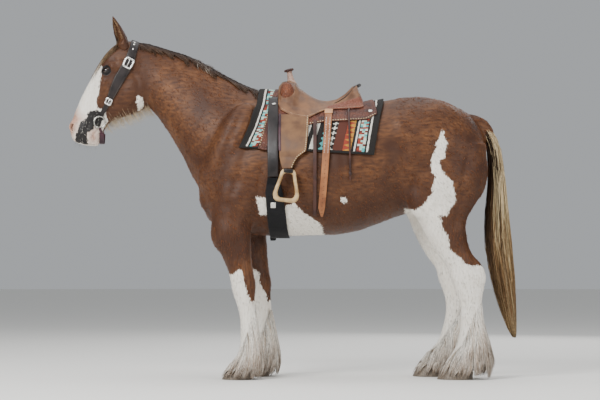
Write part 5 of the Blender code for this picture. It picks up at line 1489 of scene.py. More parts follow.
@dataclass
class Feather:
    """The long silky hair that falls from the back and the sides of a lower leg over the hoof."""

    limb: Limb
    side: Side
    count: int = 3000
    steps: int = 8
    clumps: int = 70

    def build(self, skin: Obj) -> Obj:
        """Builds one leg's feather.

        Args:
            skin: The skin that it grows on.

        Returns:
            The piece.
        """
        draw = np.random.default_rng(40 + 2 * (self.limb is FORE) + (self.side is Side.LEFT))
        leg, bell = self.limb.on(self.side)
        count, steps = self.count, self.steps
        # Roots lie thicker at the back, and high ones only there
        rise = draw.random(count) ** 0.8
        top = 0.40 if self.limb is FORE else 0.45
        root = 0.105 + (top - 0.105) * rise
        open_front = math.radians(8) + rise**1.3 * math.radians(132)
        turn = open_front + draw.random(count) * (TURN - 2 * open_front)
        clump_turn = draw.uniform(0, TURN, self.clumps)
        clump_rise = draw.random(self.clumps)
        away = np.abs((turn[:, None] - clump_turn + math.pi) % TURN - math.pi)
        own = np.argmin(away + 1.4 * np.abs(rise[:, None] - clump_rise), axis=1)
        length = (0.16 + 0.10 * draw.random(count)) * (1 + 0.35 * clump_rise[own])
        low = np.maximum(root - length, 0.010 + 0.055 * draw.random(count) ** 2)
        reach = draw.uniform(0.80, 1.0, count) ** 0.5 * (0.93 + 0.07 * np.sin(7 * clump_turn[own]))
        wave = draw.uniform(0, TURN, self.clumps)[own]
        towards = ((clump_turn[own] - turn + math.pi) % TURN) - math.pi
        spine = np.zeros((count, steps, 3))
        for k in range(steps):
            t = k / (steps - 1)
            z = root + (low - root) * t
            angle = turn + towards * 0.62 * t**1.2 + 0.05 * np.sin(wave + 7 * t)
            front = np.stack([-np.cos(angle), np.sin(angle)], axis=1)
            mid, long, wide = upright_rows(leg[-8:], z)
            bell_mid, bell_long, bell_wide = upright_rows(bell, z)
            side = self.side.value * self.limb.spread[1]
            near = np.stack(
                [mid + front[:, 0] * (long - 0.004), side + front[:, 1] * (wide - 0.004)], axis=1
            )
            far = np.stack([bell_mid + front[:, 0] * bell_long, side + front[:, 1] * bell_wide], axis=1)
            out = np.clip(t * 3.4, 0, 1) * reach * (0.74 + 0.26 * t)
            blend = near + (far - near) * out[:, None]
            least = near + front * (0.002 + 0.010 * min(1.0, 4 * t))
            inward = ((blend - near) * front).sum(axis=1) < 0.006
            spine[:, k, :2] = np.where(inward[:, None], least, blend)
            spine[:, k, 2] = z + 0.006 * np.sin(wave + 5 * t) * t
        facing = np.stack([-np.cos(turn), np.sin(turn), np.full(count, 0.3)], axis=1)
        tint = shades(draw, count, steps, ("EFEAE0", "E9E3D8", "DDD3C6", "B8A595"), 0.09)
        stained = draw.random(count) < 0.16
        tint[stained] *= np.array([0.74, 0.64, 0.55])
        tint[own % 9 == 0] *= 0.86
        locks = Locks(self.side.name_of(f"{self.limb.name}_feather"))
        locks.add(spine, facing, draw.uniform(0.0022, 0.0058, count), tint)
        return locks.build(skin, HairFinish(), (), "white_hair")


@dataclass
class Tail:
    """The tail: cream outer hair over dark inner hair, down to the fetlocks."""

    count: int = 3000
    steps: int = 12
    clumps: int = 90

    def build(self, skin: Obj) -> list[Obj]:
        """Builds the tail's outer and inner hair.

        Args:
            skin: The skin that its dock is part of.

        Returns:
            The pieces.
        """
        table = np.array([[*s[0], *s[1], s[2]] for s in TAIL])
        made = []
        for piece, name, seed in ((0, "tail_outer", 61), (1, "tail_inner", 62)):
            draw = np.random.default_rng(seed)
            count, steps = self.count, self.steps
            clump = draw.uniform(0, TURN, self.clumps)
            own = draw.integers(0, self.clumps, count)
            spread = draw.normal(0, 0.5, count)
            turn = clump[own] + spread
            deep = draw.uniform(0.62, 1.0, count) if piece == 0 else draw.uniform(0.15, 0.75, count)
            start = draw.uniform(0.0, 2.2, count)
            end = np.minimum(9.0, draw.uniform(6.6, 9.3, self.clumps)[own] + draw.normal(0, 0.35, count))
            wave = draw.uniform(0, TURN, self.clumps)[own]
            stray = draw.normal(0, 1, count)
            spine = np.zeros((count, steps, 3))
            for k in range(steps):
                t = k / (steps - 1)
                row = start + (end - start) * t
                values = [np.interp(row, range(len(table)), table[:, c]) for c in range(5)]
                middle_x, middle_z = (values[0] + values[2]) / 2, (values[1] + values[3]) / 2
                arm_x, arm_z = (values[2] - values[0]) / 2, (values[3] - values[1]) / 2
                angle = clump[own] + spread * (1 - 0.72 * t) + 0.10 * np.sin(wave + 6 * t)
                loose = 0.90 + 0.10 * np.sin(wave * 3 + 9 * t) - 0.16 * (np.sin(clump[own] * 31) > 0.2) * t
                loose += 0.10 * stray * t
                out = deep * np.clip(0.35 + t * 5, 0, 1) * np.minimum(loose, 1.04)
                spine[:, k, 0] = middle_x + arm_x * np.cos(angle) * out
                spine[:, k, 2] = middle_z + arm_z * np.cos(angle) * out
                spine[:, k, 1] = values[4] * np.sin(angle) * out
            facing = np.stack([np.cos(turn), np.sin(turn), np.full(count, 0.1)], axis=1)
            if piece == 0:
                tint = shades(
                    draw, count, steps, ("A98F6A", "D6C29C", "CDB68C", "8F7049", "7C5C3C", "BFA67E"), 0.17
                )
                dark = np.cos(turn) < -0.15 + draw.normal(0, 0.28, count)
                tint[dark] = shades(
                    draw, int(dark.sum()), steps, ("3C291D", "2F2017", "46321F", "6E5236", "A58A62"), 0.2
                )
            else:
                tint = shades(draw, count, steps, ("4A3626", "2C1E15", "281B13", "4A3524", "8A6F4C"), 0.2)
            locks = Locks(name)
            locks.add(spine, facing, draw.uniform(0.0026, 0.0062, count), tint)
            made.append(locks.build(skin, HairFinish(), ("tail",) if piece == 0 else (), "tail_hair"))
        return made


def skin_hits(tree: BVHTree, origins: np.ndarray, ways: np.ndarray) -> tuple[np.ndarray, np.ndarray]:
    """Where rays from outside meet a surface.

    Args:
        tree: The surface.
        origins: N by 3 places to aim at.
        ways: N by 3 directions outwards.

    Returns:
        The N points met and the surface's N normals there.
    """
    points, normals = origins.copy(), ways.copy()
    for i, (origin, way) in enumerate(zip(origins, ways)):
        out = Vector(way).normalized()
        found, normal, _, _ = tree.ray_cast(Vector(origin) + out * 0.6, -out)
        if found is not None:
            points[i], normals[i] = found, normal
    return points, normals


@dataclass
class Mane:
    """The mane, which falls to the far side, with a short fringe on the near side and a thin forelock."""

    finish: HairFinish = field(default_factory=HairFinish)

    def fringe(self, tree: BVHTree, side: Side, count: int, drop: float, seed: int) -> tuple:
        """Locks from the crest down one side of the neck.

        Args:
            tree: The skin.
            side: The side they fall to.
            count: How many.
            drop: About how far they hang, in metres.
            seed: Which random draw.

        Returns:
            Spines, facings, widths and colours.
        """
        draw = np.random.default_rng(seed)
        steps = 8
        x = draw.uniform(-0.955, -0.215, count)
        homes = draw.uniform(-0.97, -0.20, 52)
        own = np.abs(x[:, None] - homes + draw.normal(0, 0.012, (count, 1))).argmin(axis=1)
        clump = homes[own]
        fall = drop * draw.uniform(0.25, 1.15, count) * draw.uniform(0.55, 1.15, 52)[own]
        top, _ = skin_hits(
            tree,
            np.stack([x, draw.normal(0, 0.006, count), np.full(count, 1.9)], axis=1),
            np.tile((0.0, 0.0, 1.0), (count, 1)),
        )
        spine = np.zeros((count, steps, 3))
        spine[:, 0] = top - np.array([0, 0, 0.006])
        spine[:, 1] = top + np.stack(
            [
                np.zeros(count), side.value * draw.uniform(0.004, 0.014, count),
                draw.uniform(0.001, 0.007, count)
            ], axis=1
        )
        stand = draw.uniform(0.001, 0.012, count)
        for k in range(2, steps):
            t = (k - 1) / (steps - 2)
            px = x + (clump - x) * 0.55 * t + (0.050 + 0.035 * np.sin(own * 2.4)) * t
            aim = np.stack([px, np.zeros(count), top[:, 2] - 0.012 - fall * t], axis=1)
            hit, _ = skin_hits(tree, aim, np.tile((0.0, float(side.value), 0.25), (count, 1)))
            spine[:, k] = hit
            spine[:, k, 1] += side.value * (0.002 + stand)
        facing = np.tile((0.0, float(side.value), 0.4), (count, 1))
        tint = shades(draw, count, steps, ("271A12", "33231A", "463224", "5A4331"), 0.24)
        grey = (np.abs(clump + 0.56) < 0.045) & (draw.random(count) < 0.22)
        tint[grey] = shades(draw, int(grey.sum()), steps, ("8E877E", "A29A8E"), 0.12)
        return spine, facing, draw.uniform(0.0022, 0.0050, count), tint

    def forelock(self, tree: BVHTree) -> tuple:
        """Thin strands from between the ears down the forehead."""
        draw = np.random.default_rng(77)
        count, steps = 320, 8
        clump = draw.integers(0, 11, count)
        spread = (clump / 5 - 1) + draw.normal(0, 0.13, count)
        reach = (0.55 + 0.42 * draw.random(11)[clump]) * draw.uniform(0.8, 1.05, count)
        line = np.array([(-0.985, 1.990, 0.030), (-1.045, 1.985, 0.052), (-1.105, 1.930, 0.064),
                         (-1.170, 1.850, 0.056), (-1.240, 1.755, 0.042)])
        spine = np.zeros((count, steps, 3))
        outward = np.array((-0.62, 0.0, 0.78))
        for k in range(steps):
            row = reach * k / (steps - 1) * 4
            x, z, half = (np.interp(row, range(5), line[:, c]) for c in range(3))
            side = half * spread * (1 + 0.06 * np.sin(clump + k))
            aim = np.stack([x, side, z], axis=1)
            hit, _ = skin_hits(tree, aim, np.tile(outward, (count, 1)))
            lift = -0.004 if k == 0 else 0.003 + 0.004 * draw.random()
            spine[:, k] = hit + outward * lift
        facing = np.tile(outward, (count, 1))
        tint = shades(draw, count, steps, ("3A2A1E", "644C36", "8F7453", "A98E6B"), 0.25)
        dark = draw.random(count) < 0.42
        tint[dark] = shades(draw, int(dark.sum()), steps, ("2C2018", "38291E", "4E3A2A", "6A523C"), 0.2)
        return spine, facing, draw.uniform(0.0014, 0.0032, count), tint

    def build(self, skin: Obj) -> Obj:
        """Builds mane and forelock as one piece.

        Args:
            skin: The skin that they grow on.

        Returns:
            The piece.
        """
        tree = surface_of(skin)
        locks = Locks("mane_and_forelock")
        locks.add(*self.fringe(tree, Side.RIGHT, 2300, 0.165, 71))
        locks.add(*self.fringe(tree, Side.LEFT, 1700, 0.064, 72))
        locks.add(*self.forelock(tree))
        return locks.build(skin, self.finish, (), "tail_hair")


@dataclass
class ShortCoat:
    """Short tufts that lie along the body and break its outline."""

    count: int = 17000
    marks: Markings = field(default_factory=Markings)

    def lie(self, points: np.ndarray) -> np.ndarray:
        """The way that the hair points at places of the skin."""
        way = np.tile((0.55, 0.0, -0.65), (len(points), 1))
        way[points[:, 0] < -0.88] = (-0.45, 0.0, -0.85)
        way[points[:, 2] < 0.9] = (0.12, 0.0, -1.0)
        return way

    def build(self, skin: Obj) -> Obj:
        """Builds the tufts.

        Args:
            skin: The skin that they grow on.

        Returns:
            The piece.
        """
        draw = np.random.default_rng(91)
        mesh = skin.data
        faces = len(mesh.polygons)
        areas, centres, normals = np.zeros(faces), np.zeros(faces * 3), np.zeros(faces * 3)
        mesh.polygons.foreach_get("area", areas)
        mesh.polygons.foreach_get("center", centres)
        mesh.polygons.foreach_get("normal", normals)
        centres, normals = centres.reshape(-1, 3), normals.reshape(-1, 3)
        under_tack = (centres[:, 0] > -0.33) & (centres[:, 0] < 0.60) & (centres[:, 2] > 1.26)
        weights = areas * np.where(under_tack, 0.0, 1.0)
        twin = mirrored(centres)
        near_eye = np.linalg.norm(twin - np.array(EYE_CENTRE), axis=1) < 0.045
        muzzle = centres[:, 0] < -1.27
        weights[near_eye | muzzle | (centres[:, 2] < 0.1)] = 0
        index = draw.choice(faces, self.count, p=weights / weights.sum())
        root, normal = centres[index], normals[index]
        way = self.lie(root) + draw.normal(0, 0.12, (self.count, 3))
        way -= normal * (way * normal).sum(axis=1)[:, None]
        way /= np.linalg.norm(way, axis=1)[:, None] + 1e-9
        side = np.cross(normal, way)
        root = root + (
            side * draw.normal(0, 0.004, (self.count, 1))
        ) + way * draw.normal(0, 0.004, (self.count, 1))
        head = root[:, 0] < -0.88
        length = np.where(head, 0.010, 0.019) * draw.uniform(0.7, 1.3, self.count)
        steps = 3
        spine = np.zeros((self.count, steps, 3))
        for k, rise in enumerate((-0.0016, 0.0022, 0.0024)):
            spine[:, k] = root + way * (length * k / (steps - 1))[:, None] + normal * rise
        inside = self.marks.white_by(root) > 0
        tint = shades(draw, self.count, steps, ("6A3D22", "7C4A2B", "8A5533"), 0.2)
        tint[inside] = shades(draw, int(inside.sum()), steps, ("E9E4DA", "EDE8DF"), 0.06)
        tint[head & ~inside] *= 0.62
        locks = Locks("short_coat")
        locks.add(spine, normal, np.where(head, 0.0016, 0.0026) * draw.uniform(0.7, 1.2, self.count), tint)
        return locks.build(skin, HairFinish(0.5), (), "coat")


@dataclass
class FineHairs:
    """Single long hairs of the head: whiskers of jaw and muzzle, lashes, and tufts in the ears."""

    def jaw(self, tree: BVHTree, draw: Draw) -> tuple:
        """Pale hairs that hang from the jaw's edge."""
        count, steps = 520, 6
        px = draw.uniform(104, 149, count)
        place = np.array(
            [from_photo(p, 117 + 4 * math.sin(p) + (p < 112) * (112 - p) * 1.2, 0.05) for p in px]
        )
        aim = np.stack([place[:, 0], draw.normal(0, 0.022, count), place[:, 1]], axis=1)
        root, _ = skin_hits(tree, aim, np.tile((0.0, 0.0, -1.0), (count, 1)))
        length = draw.uniform(0.02, 0.075, count)
        bend = draw.normal(0, 0.18, (count, 2))
        spine = np.zeros((count, steps, 3))
        for k in range(steps):
            t = k / (steps - 1)
            spine[:, k] = root + np.stack(
                [
                    length * t * (0.25 + bend[:, 0] + 0.3 * t), length * t * bend[:, 1], 0.004 - length * t
                ], axis=1
            )
        tint = shades(draw, count, steps, ("A98E70", "C9B597", "D9CDB8"), 0.18)
        return spine, np.tile((0.0, -1.0, 0.0), (count, 1)), draw.uniform(0.0009, 0.0018, count), tint

    def muzzle(self, tree: BVHTree, draw: Draw) -> tuple:
        """Stiff whiskers of the lips and chin."""
        count, steps = 150, 6
        px, py = draw.uniform(74, 97, count), draw.uniform(128, 145, count)
        place = np.array([from_photo(a, b, 0.04) for a, b in zip(px, py)])
        side = draw.choice((-1.0, 1.0), count)
        way = np.stack([draw.normal(-0.2, 0.3, count), side, draw.normal(-0.25, 0.25, count)], axis=1)
        aim = np.stack([place[:, 0], np.zeros(count), place[:, 1]], axis=1)
        root, normal = skin_hits(tree, aim, way)
        length = draw.uniform(0.012, 0.034, count)[:, None]
        spine = np.stack(
            [
                root + normal * (
                    length * t - 0.002
                ) - np.array([0, 0, 0.5]) * length * t * t for t in np.linspace(0, 1, steps)
            ],
            axis=1,
        )
        tint = shades(draw, count, steps, ("4A403A", "8A8078"), 0.3)
        return spine, np.tile((1.0, 0.0, 0.0), (count, 1)), np.full(count, 0.0008), tint

    def lashes(self, draw: Draw) -> tuple:
        """Dark lashes of the upper lids, which point out and down."""
        count, steps = 110, 6
        shape = LidShape()
        place = EYE_PLACE
        spine = np.zeros((count, steps, 3))
        for i in range(count):
            flip = Matrix.Diagonal((1.0, 1.0 if i % 2 else -1.0, 1.0, 1.0))
            angle = draw.uniform(0.12, 0.92) * math.pi
            root = shape.on_margin(
                Vector((math.cos(angle) * shape.half, math.sin(angle) * shape.up, 0.02)), 0.0036
            )
            length = draw.uniform(0.010, 0.016)
            lean = draw.normal(0, 0.15)
            for k in range(steps):
                t = k / (steps - 1)
                move = Vector(
                    (lean * t + 0.3 * math.cos(angle) * t, 0.25 * t - 0.55 * t * t, 0.95 * t)
                ) * length
                spine[i, k] = (flip @ place) @ (root + move)
        tint = shades(draw, count, steps, ("14100E", "1E1815"), 0.1)
        return spine, np.tile((0.3, 0.0, 1.0), (count, 1)), np.full(count, 0.0008), tint

    def ear_tufts(self, draw: Draw) -> tuple:
        """Soft hairs in the ears, which lie across the cup from its edges."""
        count, steps = 900, 6
        spine = np.zeros((count, steps, 3))
        facing = np.zeros((count, 3))
        for i in range(count):
            place, length, opening = ear_frame(1.0 if i % 2 else -1.0)
            height, edge = draw.uniform(0.16, 0.84), draw.choice((-1.0, 1.0))
            wide = float(np.interp(height, [r[0] for r in EAR_RINGS], [r[1] for r in EAR_RINGS]))
            start = Vector(
                (draw.uniform(-0.002, 0.004), edge * wide * draw.uniform(0.55, 0.86), height * length)
            )
            reach = draw.uniform(0.012, 0.026)
            for k in range(steps):
                t = k / (steps - 1)
                move = Vector((0.25 * t, -edge * 0.55 * t, 0.85 * t)) * reach
                spine[i, k] = place @ (start + move)
            facing[i] = opening
        tint = shades(draw, count, steps, ("4A3226", "7A5C42", "A88C68"), 0.22)
        return spine, facing, draw.uniform(0.0010, 0.0018, count), tint

    def build(self, skin: Obj) -> Obj:
        """Builds all of them as one piece."""
        tree = surface_of(skin)
        draw = np.random.default_rng(83)
        locks = Locks("fine_head_hairs")
        locks.add(*self.jaw(tree, draw))
        locks.add(*self.muzzle(tree, draw))
        locks.add(*self.lashes(draw))
        locks.add(*self.ear_tufts(draw))
        return locks.build(skin, HairFinish(), (), "coat")


# Eyes and hooves


@dataclass
class Eye:
    """A horse's eyeball: dark brown iris, level pupil, and a wet surface."""

    side: Side
    iris: float = 0.0150

    def build(self) -> Obj:
        """Builds the eyeball with its zones written on it."""
        place = EYE_PLACE
        if self.side is Side.RIGHT:
            place = Matrix.Diagonal((1.0, -1.0, 1.0, 1.0)) @ place
        bm = bmesh.new()
        bmesh.ops.create_uvsphere(bm, u_segments=72, v_segments=48, radius=EYE_RADIUS)
        local = np.array([v.co for v in bm.verts])
        zone = np.hypot(local[:, 0], local[:, 1]) / self.iris
        pupil = np.hypot(local[:, 0] / 0.0072, local[:, 1] / 0.0036)
        zone[local[:, 2] < 0] = 2.0
        bm.transform(place)
        mesh = outward_mesh(self.side.name_of("eyeball"), bm)
        set_value(mesh, "zone", zone)
        set_value(mesh, "pupil", np.where(local[:, 2] < 0, 3.0, pupil))
        return dressed(mesh.name, mesh, self.finish(), (self.side.name_of("eye"),), "eye")

    def finish(self) -> Material:
        """Eyeball tissue under a clear wet cornea: dark and very glossy."""
        material, tree, shader = new_material("wet dark eye")
        streak = spread_noise(tree, 1.5, detail=3)
        iris = mixed(tree, ranged(tree, streak, 0.35, 0.65), linear("140B07"), linear("2C180D"))
        white = mixed(tree, ranged(tree, streak, 0.4, 0.7), linear("5C4A40"), linear("33261F"))
        colour = mixed(tree, ranged(tree, named_value(tree, "zone"), 0.97, 1.08), iris, white)
        colour = mixed(tree, ranged(tree, named_value(tree, "pupil"), 0.9, 1.1), linear("030304"), colour)
        wet = {"Roughness": 0.06, "IOR": 1.38, "Coat Weight": 1.0, "Coat Roughness": 0.02}
        set_inputs(tree, shader, {"Base Color": colour, **wet})
        return material


@dataclass
class Hoof:
    """A broad hoof with growth rings, a bevelled toe and a flat sole."""

    limb: Limb
    side: Side
    toe_out: float = 0.048
    flare: float = 0.016

    def build(self) -> Obj:
        """Builds the hoof under its coronet."""
        table, _ = self.limb.on(self.side)
        (front, front_z), (back, back_z), half = table[-2][:3]
        side = self.side.value * self.limb.spread[1]
        # Rings from the coronet down: (share of the way down, outwards at the toe, at the heel, at the sides)
        rings = (
            (0.0, -0.012, -0.006, -0.010), (0.02, 0.000, 0.000, 0.0), (0.12, 0.008, 0.003, 0.004),
            (0.97, self.toe_out, -0.002, self.flare), (
                1.0, self.toe_out - 0.003, -0.006, self.flare - 0.004
            ),
        )

        def place(u: float, v: float) -> Vector:
            """A point of the hoof's wall."""
            down, toe, heel, out = along_table(rings, u)
            angle = TURN * v
            fore_share = (1 + math.cos(angle)) / 2
            x_front, x_back = front - toe, back + heel
            ripple = 0.0006 * math.sin(down * 60) * (0.1 < down < 0.95)
            x = (x_front + x_back) / 2 - ((x_back - x_front) / 2 + ripple) * math.cos(angle)
            y = side + (half + out + ripple) * math.sin(angle)
            top = back_z + (front_z - back_z) * fore_share
            return Vector((x, y, max(top * (1 - down), 0.0)))

        bm = bmesh.new()
        add_tube(
            bm, 40, 64, lambda u,
            v: place(float(np.interp(u, (0, 0.1, 0.2, 0.9, 1), (0, 0.25, 0.5, 0.75, 1))), v)
        )
        kind = f"{self.limb.name}_hoof"
        horn = HornFinish().material("streaked hoof horn")
        return dressed(self.side.name_of(f"{kind}_wall"), bm, horn, (self.side.name_of(kind),), "hoof_horn")


# Tack

FRONT_EDGE = ((0.0, 0.33, 0.67, 1.0), (-0.200, -0.215, -0.260, -0.318))
REAR_EDGE = ((0.0, 0.33, 0.67, 1.0), (0.545, 0.535, 0.500, 0.471))
BLANKET_BOTTOM = (1.356, 1.309)
# Front to rear: (x at the spine, x at the edge, z of the edge)
SKIRT_STATIONS = (
    (-0.100, -0.204, 1.345), (-0.060, -0.140, 1.335), (-0.020, -0.040, 1.430), (0.100, 0.080, 1.480),
    (0.200, 0.190, 1.500), (0.300, 0.310, 1.505), (0.400, 0.430, 1.510), (0.470, 0.495, 1.545),
)
# Front to rear: (x, height in the middle, z of the edge)
SEAT_STATIONS = (
    (-0.088, 0.010, 1.600), (-0.074, 0.040, 1.565), (-0.040, 0.062, 1.545), (0.000, 0.060, 1.526),
    (0.030, 0.036, 1.522), (0.085, 0.020, 1.513), (0.155, 0.012, 1.548), (0.200, 0.012, 1.566),
    (0.260, 0.024, 1.570), (0.320, 0.056, 1.572), (0.370, 0.092, 1.574), (0.398, 0.098, 1.576),
    (0.412, 0.040, 1.580), (0.418, 0.004, 1.584),
)
SEAT_FALL = ((0.0, 0.30, 0.55, 0.75, 1.0), (1.0, 0.95, 0.60, 0.15, 0.0))
# Straps and panels down the side: (z, front x, rear x, height of the underside over the flesh)
FENDER = (
    (1.536, -0.080, 0.094, 0.0255), (1.480, -0.080, 0.092, 0.0255), (1.430, -0.080, 0.088, 0.0255),
    (1.380, -0.080, 0.084, 0.0250), (1.330, -0.079, 0.078, 0.0230), (1.298, -0.078, 0.030, 0.0180),
    (1.262, -0.070, 0.006, 0.0180), (1.234, -0.060, -0.006, 0.0200),
)
LATIGO = (
    (1.640, -0.145, -0.090, 0.0255), (1.500, -0.148, -0.086, 0.0255), (1.350, -0.148, -0.086, 0.0250),
    (1.190, -0.146, -0.084, 0.0155),
)
REAR_BILLET = (
    (1.560, 0.190, 0.232, 0.0255), (1.400, 0.178, 0.220, 0.0255), (1.300, 0.171, 0.212, 0.0150),
    (1.180, 0.162, 0.203, 0.0050), (1.010, 0.148, 0.188, 0.0040), (0.960, 0.164, 0.176, 0.0040),
)
REAR_STRAP = (
    (1.502, 0.118, 0.140, 0.0255), (1.330, 0.118, 0.139, 0.0180), (1.200, 0.118, 0.139, 0.0050),
    (0.968, 0.118, 0.138, 0.0040),
)
SADDLE_STRING = (
    (1.600, 0.340, 0.351, 0.0255), (1.560, 0.322, 0.333, 0.0255), (1.360, 0.325, 0.336, 0.0160),
    (1.240, 0.327, 0.338, 0.0030), (1.165, 0.328, 0.340, 0.0040),
)
CINCH_WAY = ((0.0, 0.2, 0.5, 1.0), (-0.114, -0.108, -0.095, -0.075), (0.032, 0.052, 0.056, 0.056))
# Outline of the horn's cap, from below: (radius, height)
HORN_CAP = (
    (0.001, -0.006), (0.020, -0.006), (0.0295, -0.002), (0.0300, 0.003), (0.0270, 0.0085),
    (0.0140, 0.0105), (0.001, 0.0108),
)
LEG_TOP_Z = 0.834
LEATHER = 0.0058
SADDLE_TAN = LeatherFinish("7C5639", "553722", Tooling.FLORAL, 0.5, "tooled", "7A4230")
TOOLED_TAN = LeatherFinish("8A4E2E", "4A2416", Tooling.FLORAL)
DARK_TOOLED = LeatherFinish("6E3D2A", "361A14", Tooling.FLORAL)
OILED_DARK = LeatherFinish("1F1615", "110C0C", roughness=0.4)
PLUM_LEATHER = LeatherFinish("43202B", "26111A", roughness=0.4)
LACE = LeatherFinish("D8C4A0", "A98F68")


def from_axis(point: Vector) -> Vector:
    """The way from the barrel's long axis out to a point."""
    return Vector((0, point.y, point.z - BARREL_AXIS_Z))


@dataclass(frozen=True)
class Barrel:
    """The trunk as a place to lay tack on: round the barrel by angle, and out by height."""

    tree: BVHTree

    def at(self, x: float, angle: float, side: int, lift: float) -> Vector:
        """A point over the flesh.

        Args:
            x: Its place along the horse.
            angle: Its turn from straight up.
            side: -1 for the near side, 1 for the far one.
            lift: Its height over the flesh.

        Returns:
            The point.
        """
        outward = Vector((0, side * math.sin(angle), math.cos(angle)))
        origin = Vector((x + 0.0004, 0.0004, BARREL_AXIS_Z))
        found = self.tree.ray_cast(origin + outward * 1.5, -outward)[0]
        if found is None or found.z < LEG_TOP_Z:
            # Under the belly the legs don't count
            found = origin + outward * ((LEG_TOP_Z - BARREL_AXIS_Z) / min(outward.z, -1e-6))
        return found + outward * lift

    def angle(self, x: float, z: float, side: int) -> float:
        """Where round the barrel its surface has a height, as a turn from straight up."""
        low, high = 0.0, math.pi
        for _ in range(15):
            middle = (low + high) / 2
            low, high = (middle, high) if self.at(x, middle, side, 0.0).z > z else (low, middle)
        return low

    def down_side(self, stations: Sequence, side: int, lift: float = 0.0) -> Place:
        """The face of a strap that hangs down the side.

        Args:
            stations: Rows of (z, front x, rear x, height of the underside).
            side: -1 or 1.
            lift: Height over the underside.

        Returns:
            A function of (share across, share down).
        """

        def place(u: float, v: float) -> Vector:
            """A point of the strap."""
            z, front, rear, height = along_table(stations, v)
            x = front + (rear - front) * u
            return self.at(x, self.angle(x, z, side), side, height + lift)

        return place


def sheet_mesh(
    name: str,
    columns: int,
    rows: int,
    place: Place,
    thick: float | Callable[[float, float], float],
    axis_z: float = BARREL_AXIS_Z,
) -> Mesh:
    """A closed sheet with rounded edges, over an underside given by a function.

    Args:
        name: The mesh's name.
        columns: Faces across.
        rows: Faces down.
        place: The underside's point at (u, v).
        thick: Its thickness, or a function of (u, v) that gives it.
        axis_z: Height of the middle of what it lies on.

    Returns:
        The mesh, with a map named Cut that holds (u, v).
    """
    bm = bmesh.new()
    bm.loops.layers.uv.new("Cut")
    verts = bmesh.ops.create_grid(bm, x_segments=columns, y_segments=rows, size=0.5, calc_uvs=True)["verts"]
    cuts = [(v.co.x + 0.5, v.co.y + 0.5) for v in verts]
    for vert, (u, v) in zip(verts, cuts):
        vert.co = place(u, v)
    bm.normal_update()
    outward = sum(v.normal.dot(Vector((0, v.co.y, v.co.z - axis_z))) for v in verts)
    if outward < 0:
        bmesh.ops.reverse_faces(bm, faces=bm.faces)
        bm.normal_update()
    if callable(thick):
        heights = {vert: thick(u, v) for vert, (u, v) in zip(verts, cuts)}
    else:
        heights = dict.fromkeys(verts, thick)
    lifts = [(vert.normal.copy(), heights[vert]) for vert in verts]
    top = bmesh.ops.duplicate(bm, geom=bm.verts[:] + bm.edges[:] + bm.faces[:])["vert_map"]
    for vert, (normal, height) in zip(verts, lifts):
        top[vert].co += normal * height
    under = [f for f in bm.faces if f.verts[0] in heights]
    bmesh.ops.reverse_faces(bm, faces=under)
    bmesh.ops.bridge_loops(bm, edges=[e for e in bm.edges if e.is_boundary])
    bmesh.ops.recalc_face_normals(bm, faces=bm.faces)
    sharp = [e for e in bm.edges if len(e.link_faces) == 2 and e.calc_face_angle() > math.radians(50)]
    least = min(heights.values())
    bmesh.ops.bevel(
        bm, geom=sharp, offset=min(
            0.38 * least, 0.003
        ), affect="EDGES", segments=2, profile=0.5, material=-1
    )
    return outward_mesh(name, bm)


@dataclass
class Beads:
    """Many small equal shapes set on a surface: stitches, lacing, dots or studs."""

    name: str
    size: tuple
    round_shape: bool = False
    places: list = field(default_factory=list)

    def along(self, face: Place, path: Sequence[Point], pitch: float, fill: float = 0.62) -> None:
        """Sets shapes along a path on a face.

        Args:
            face: Gives the surface's point at (u, v).
            path: Corners of the path, as (u, v).
            pitch: Distance between shapes in metres.
            fill: Length of a shape against the pitch.
        """
        fine = []
        for (ua, va), (ub, vb) in zip(path, path[1:]):
            fine += [
                face(ua + (ub - ua) * t, va + (vb - va) * t) for t in np.linspace(0, 1, 24, endpoint=False)
            ]
        fine.append(face(*path[-1]))
        steps = np.cumsum([0.0, *((b - a).length for a, b in zip(fine, fine[1:]))])
        for at in np.arange(pitch / 2, steps[-1], pitch):
            spot = Vector([float(np.interp(at, steps, [p[i] for p in fine])) for i in range(3)])
            ahead = Vector([float(np.interp(at + 0.002, steps, [p[i] for p in fine])) for i in range(3)])
            out = from_axis(spot).normalized()
            self.add(spot, ahead - spot, out)
        if not self.round_shape:
            self.size = (pitch * fill, *self.size[1:])

    def add(self, spot: Vector, along: Vector, out: Vector) -> None:
        """Sets one shape.

        Args:
            spot: Its place.
            along: The direction of its length.
            out: The way that the surface looks.
        """
        self.places.append(frame_at(spot, along, out))

    def build(self, finish: Material, slot: str, nodes: Sequence[str] = ()) -> Obj:
        """Makes all the shapes as one piece."""
        bm = bmesh.new()
        for place in self.places:
            shape = place @ Matrix.Diagonal((*self.size, 1.0))
            if self.round_shape:
                bmesh.ops.create_uvsphere(bm, u_segments=8, v_segments=5, radius=0.5, matrix=shape)
            else:
                bmesh.ops.create_uvsphere(bm, u_segments=6, v_segments=4, radius=0.6, matrix=shape)
        return dressed(self.name, bm, finish, nodes, slot)


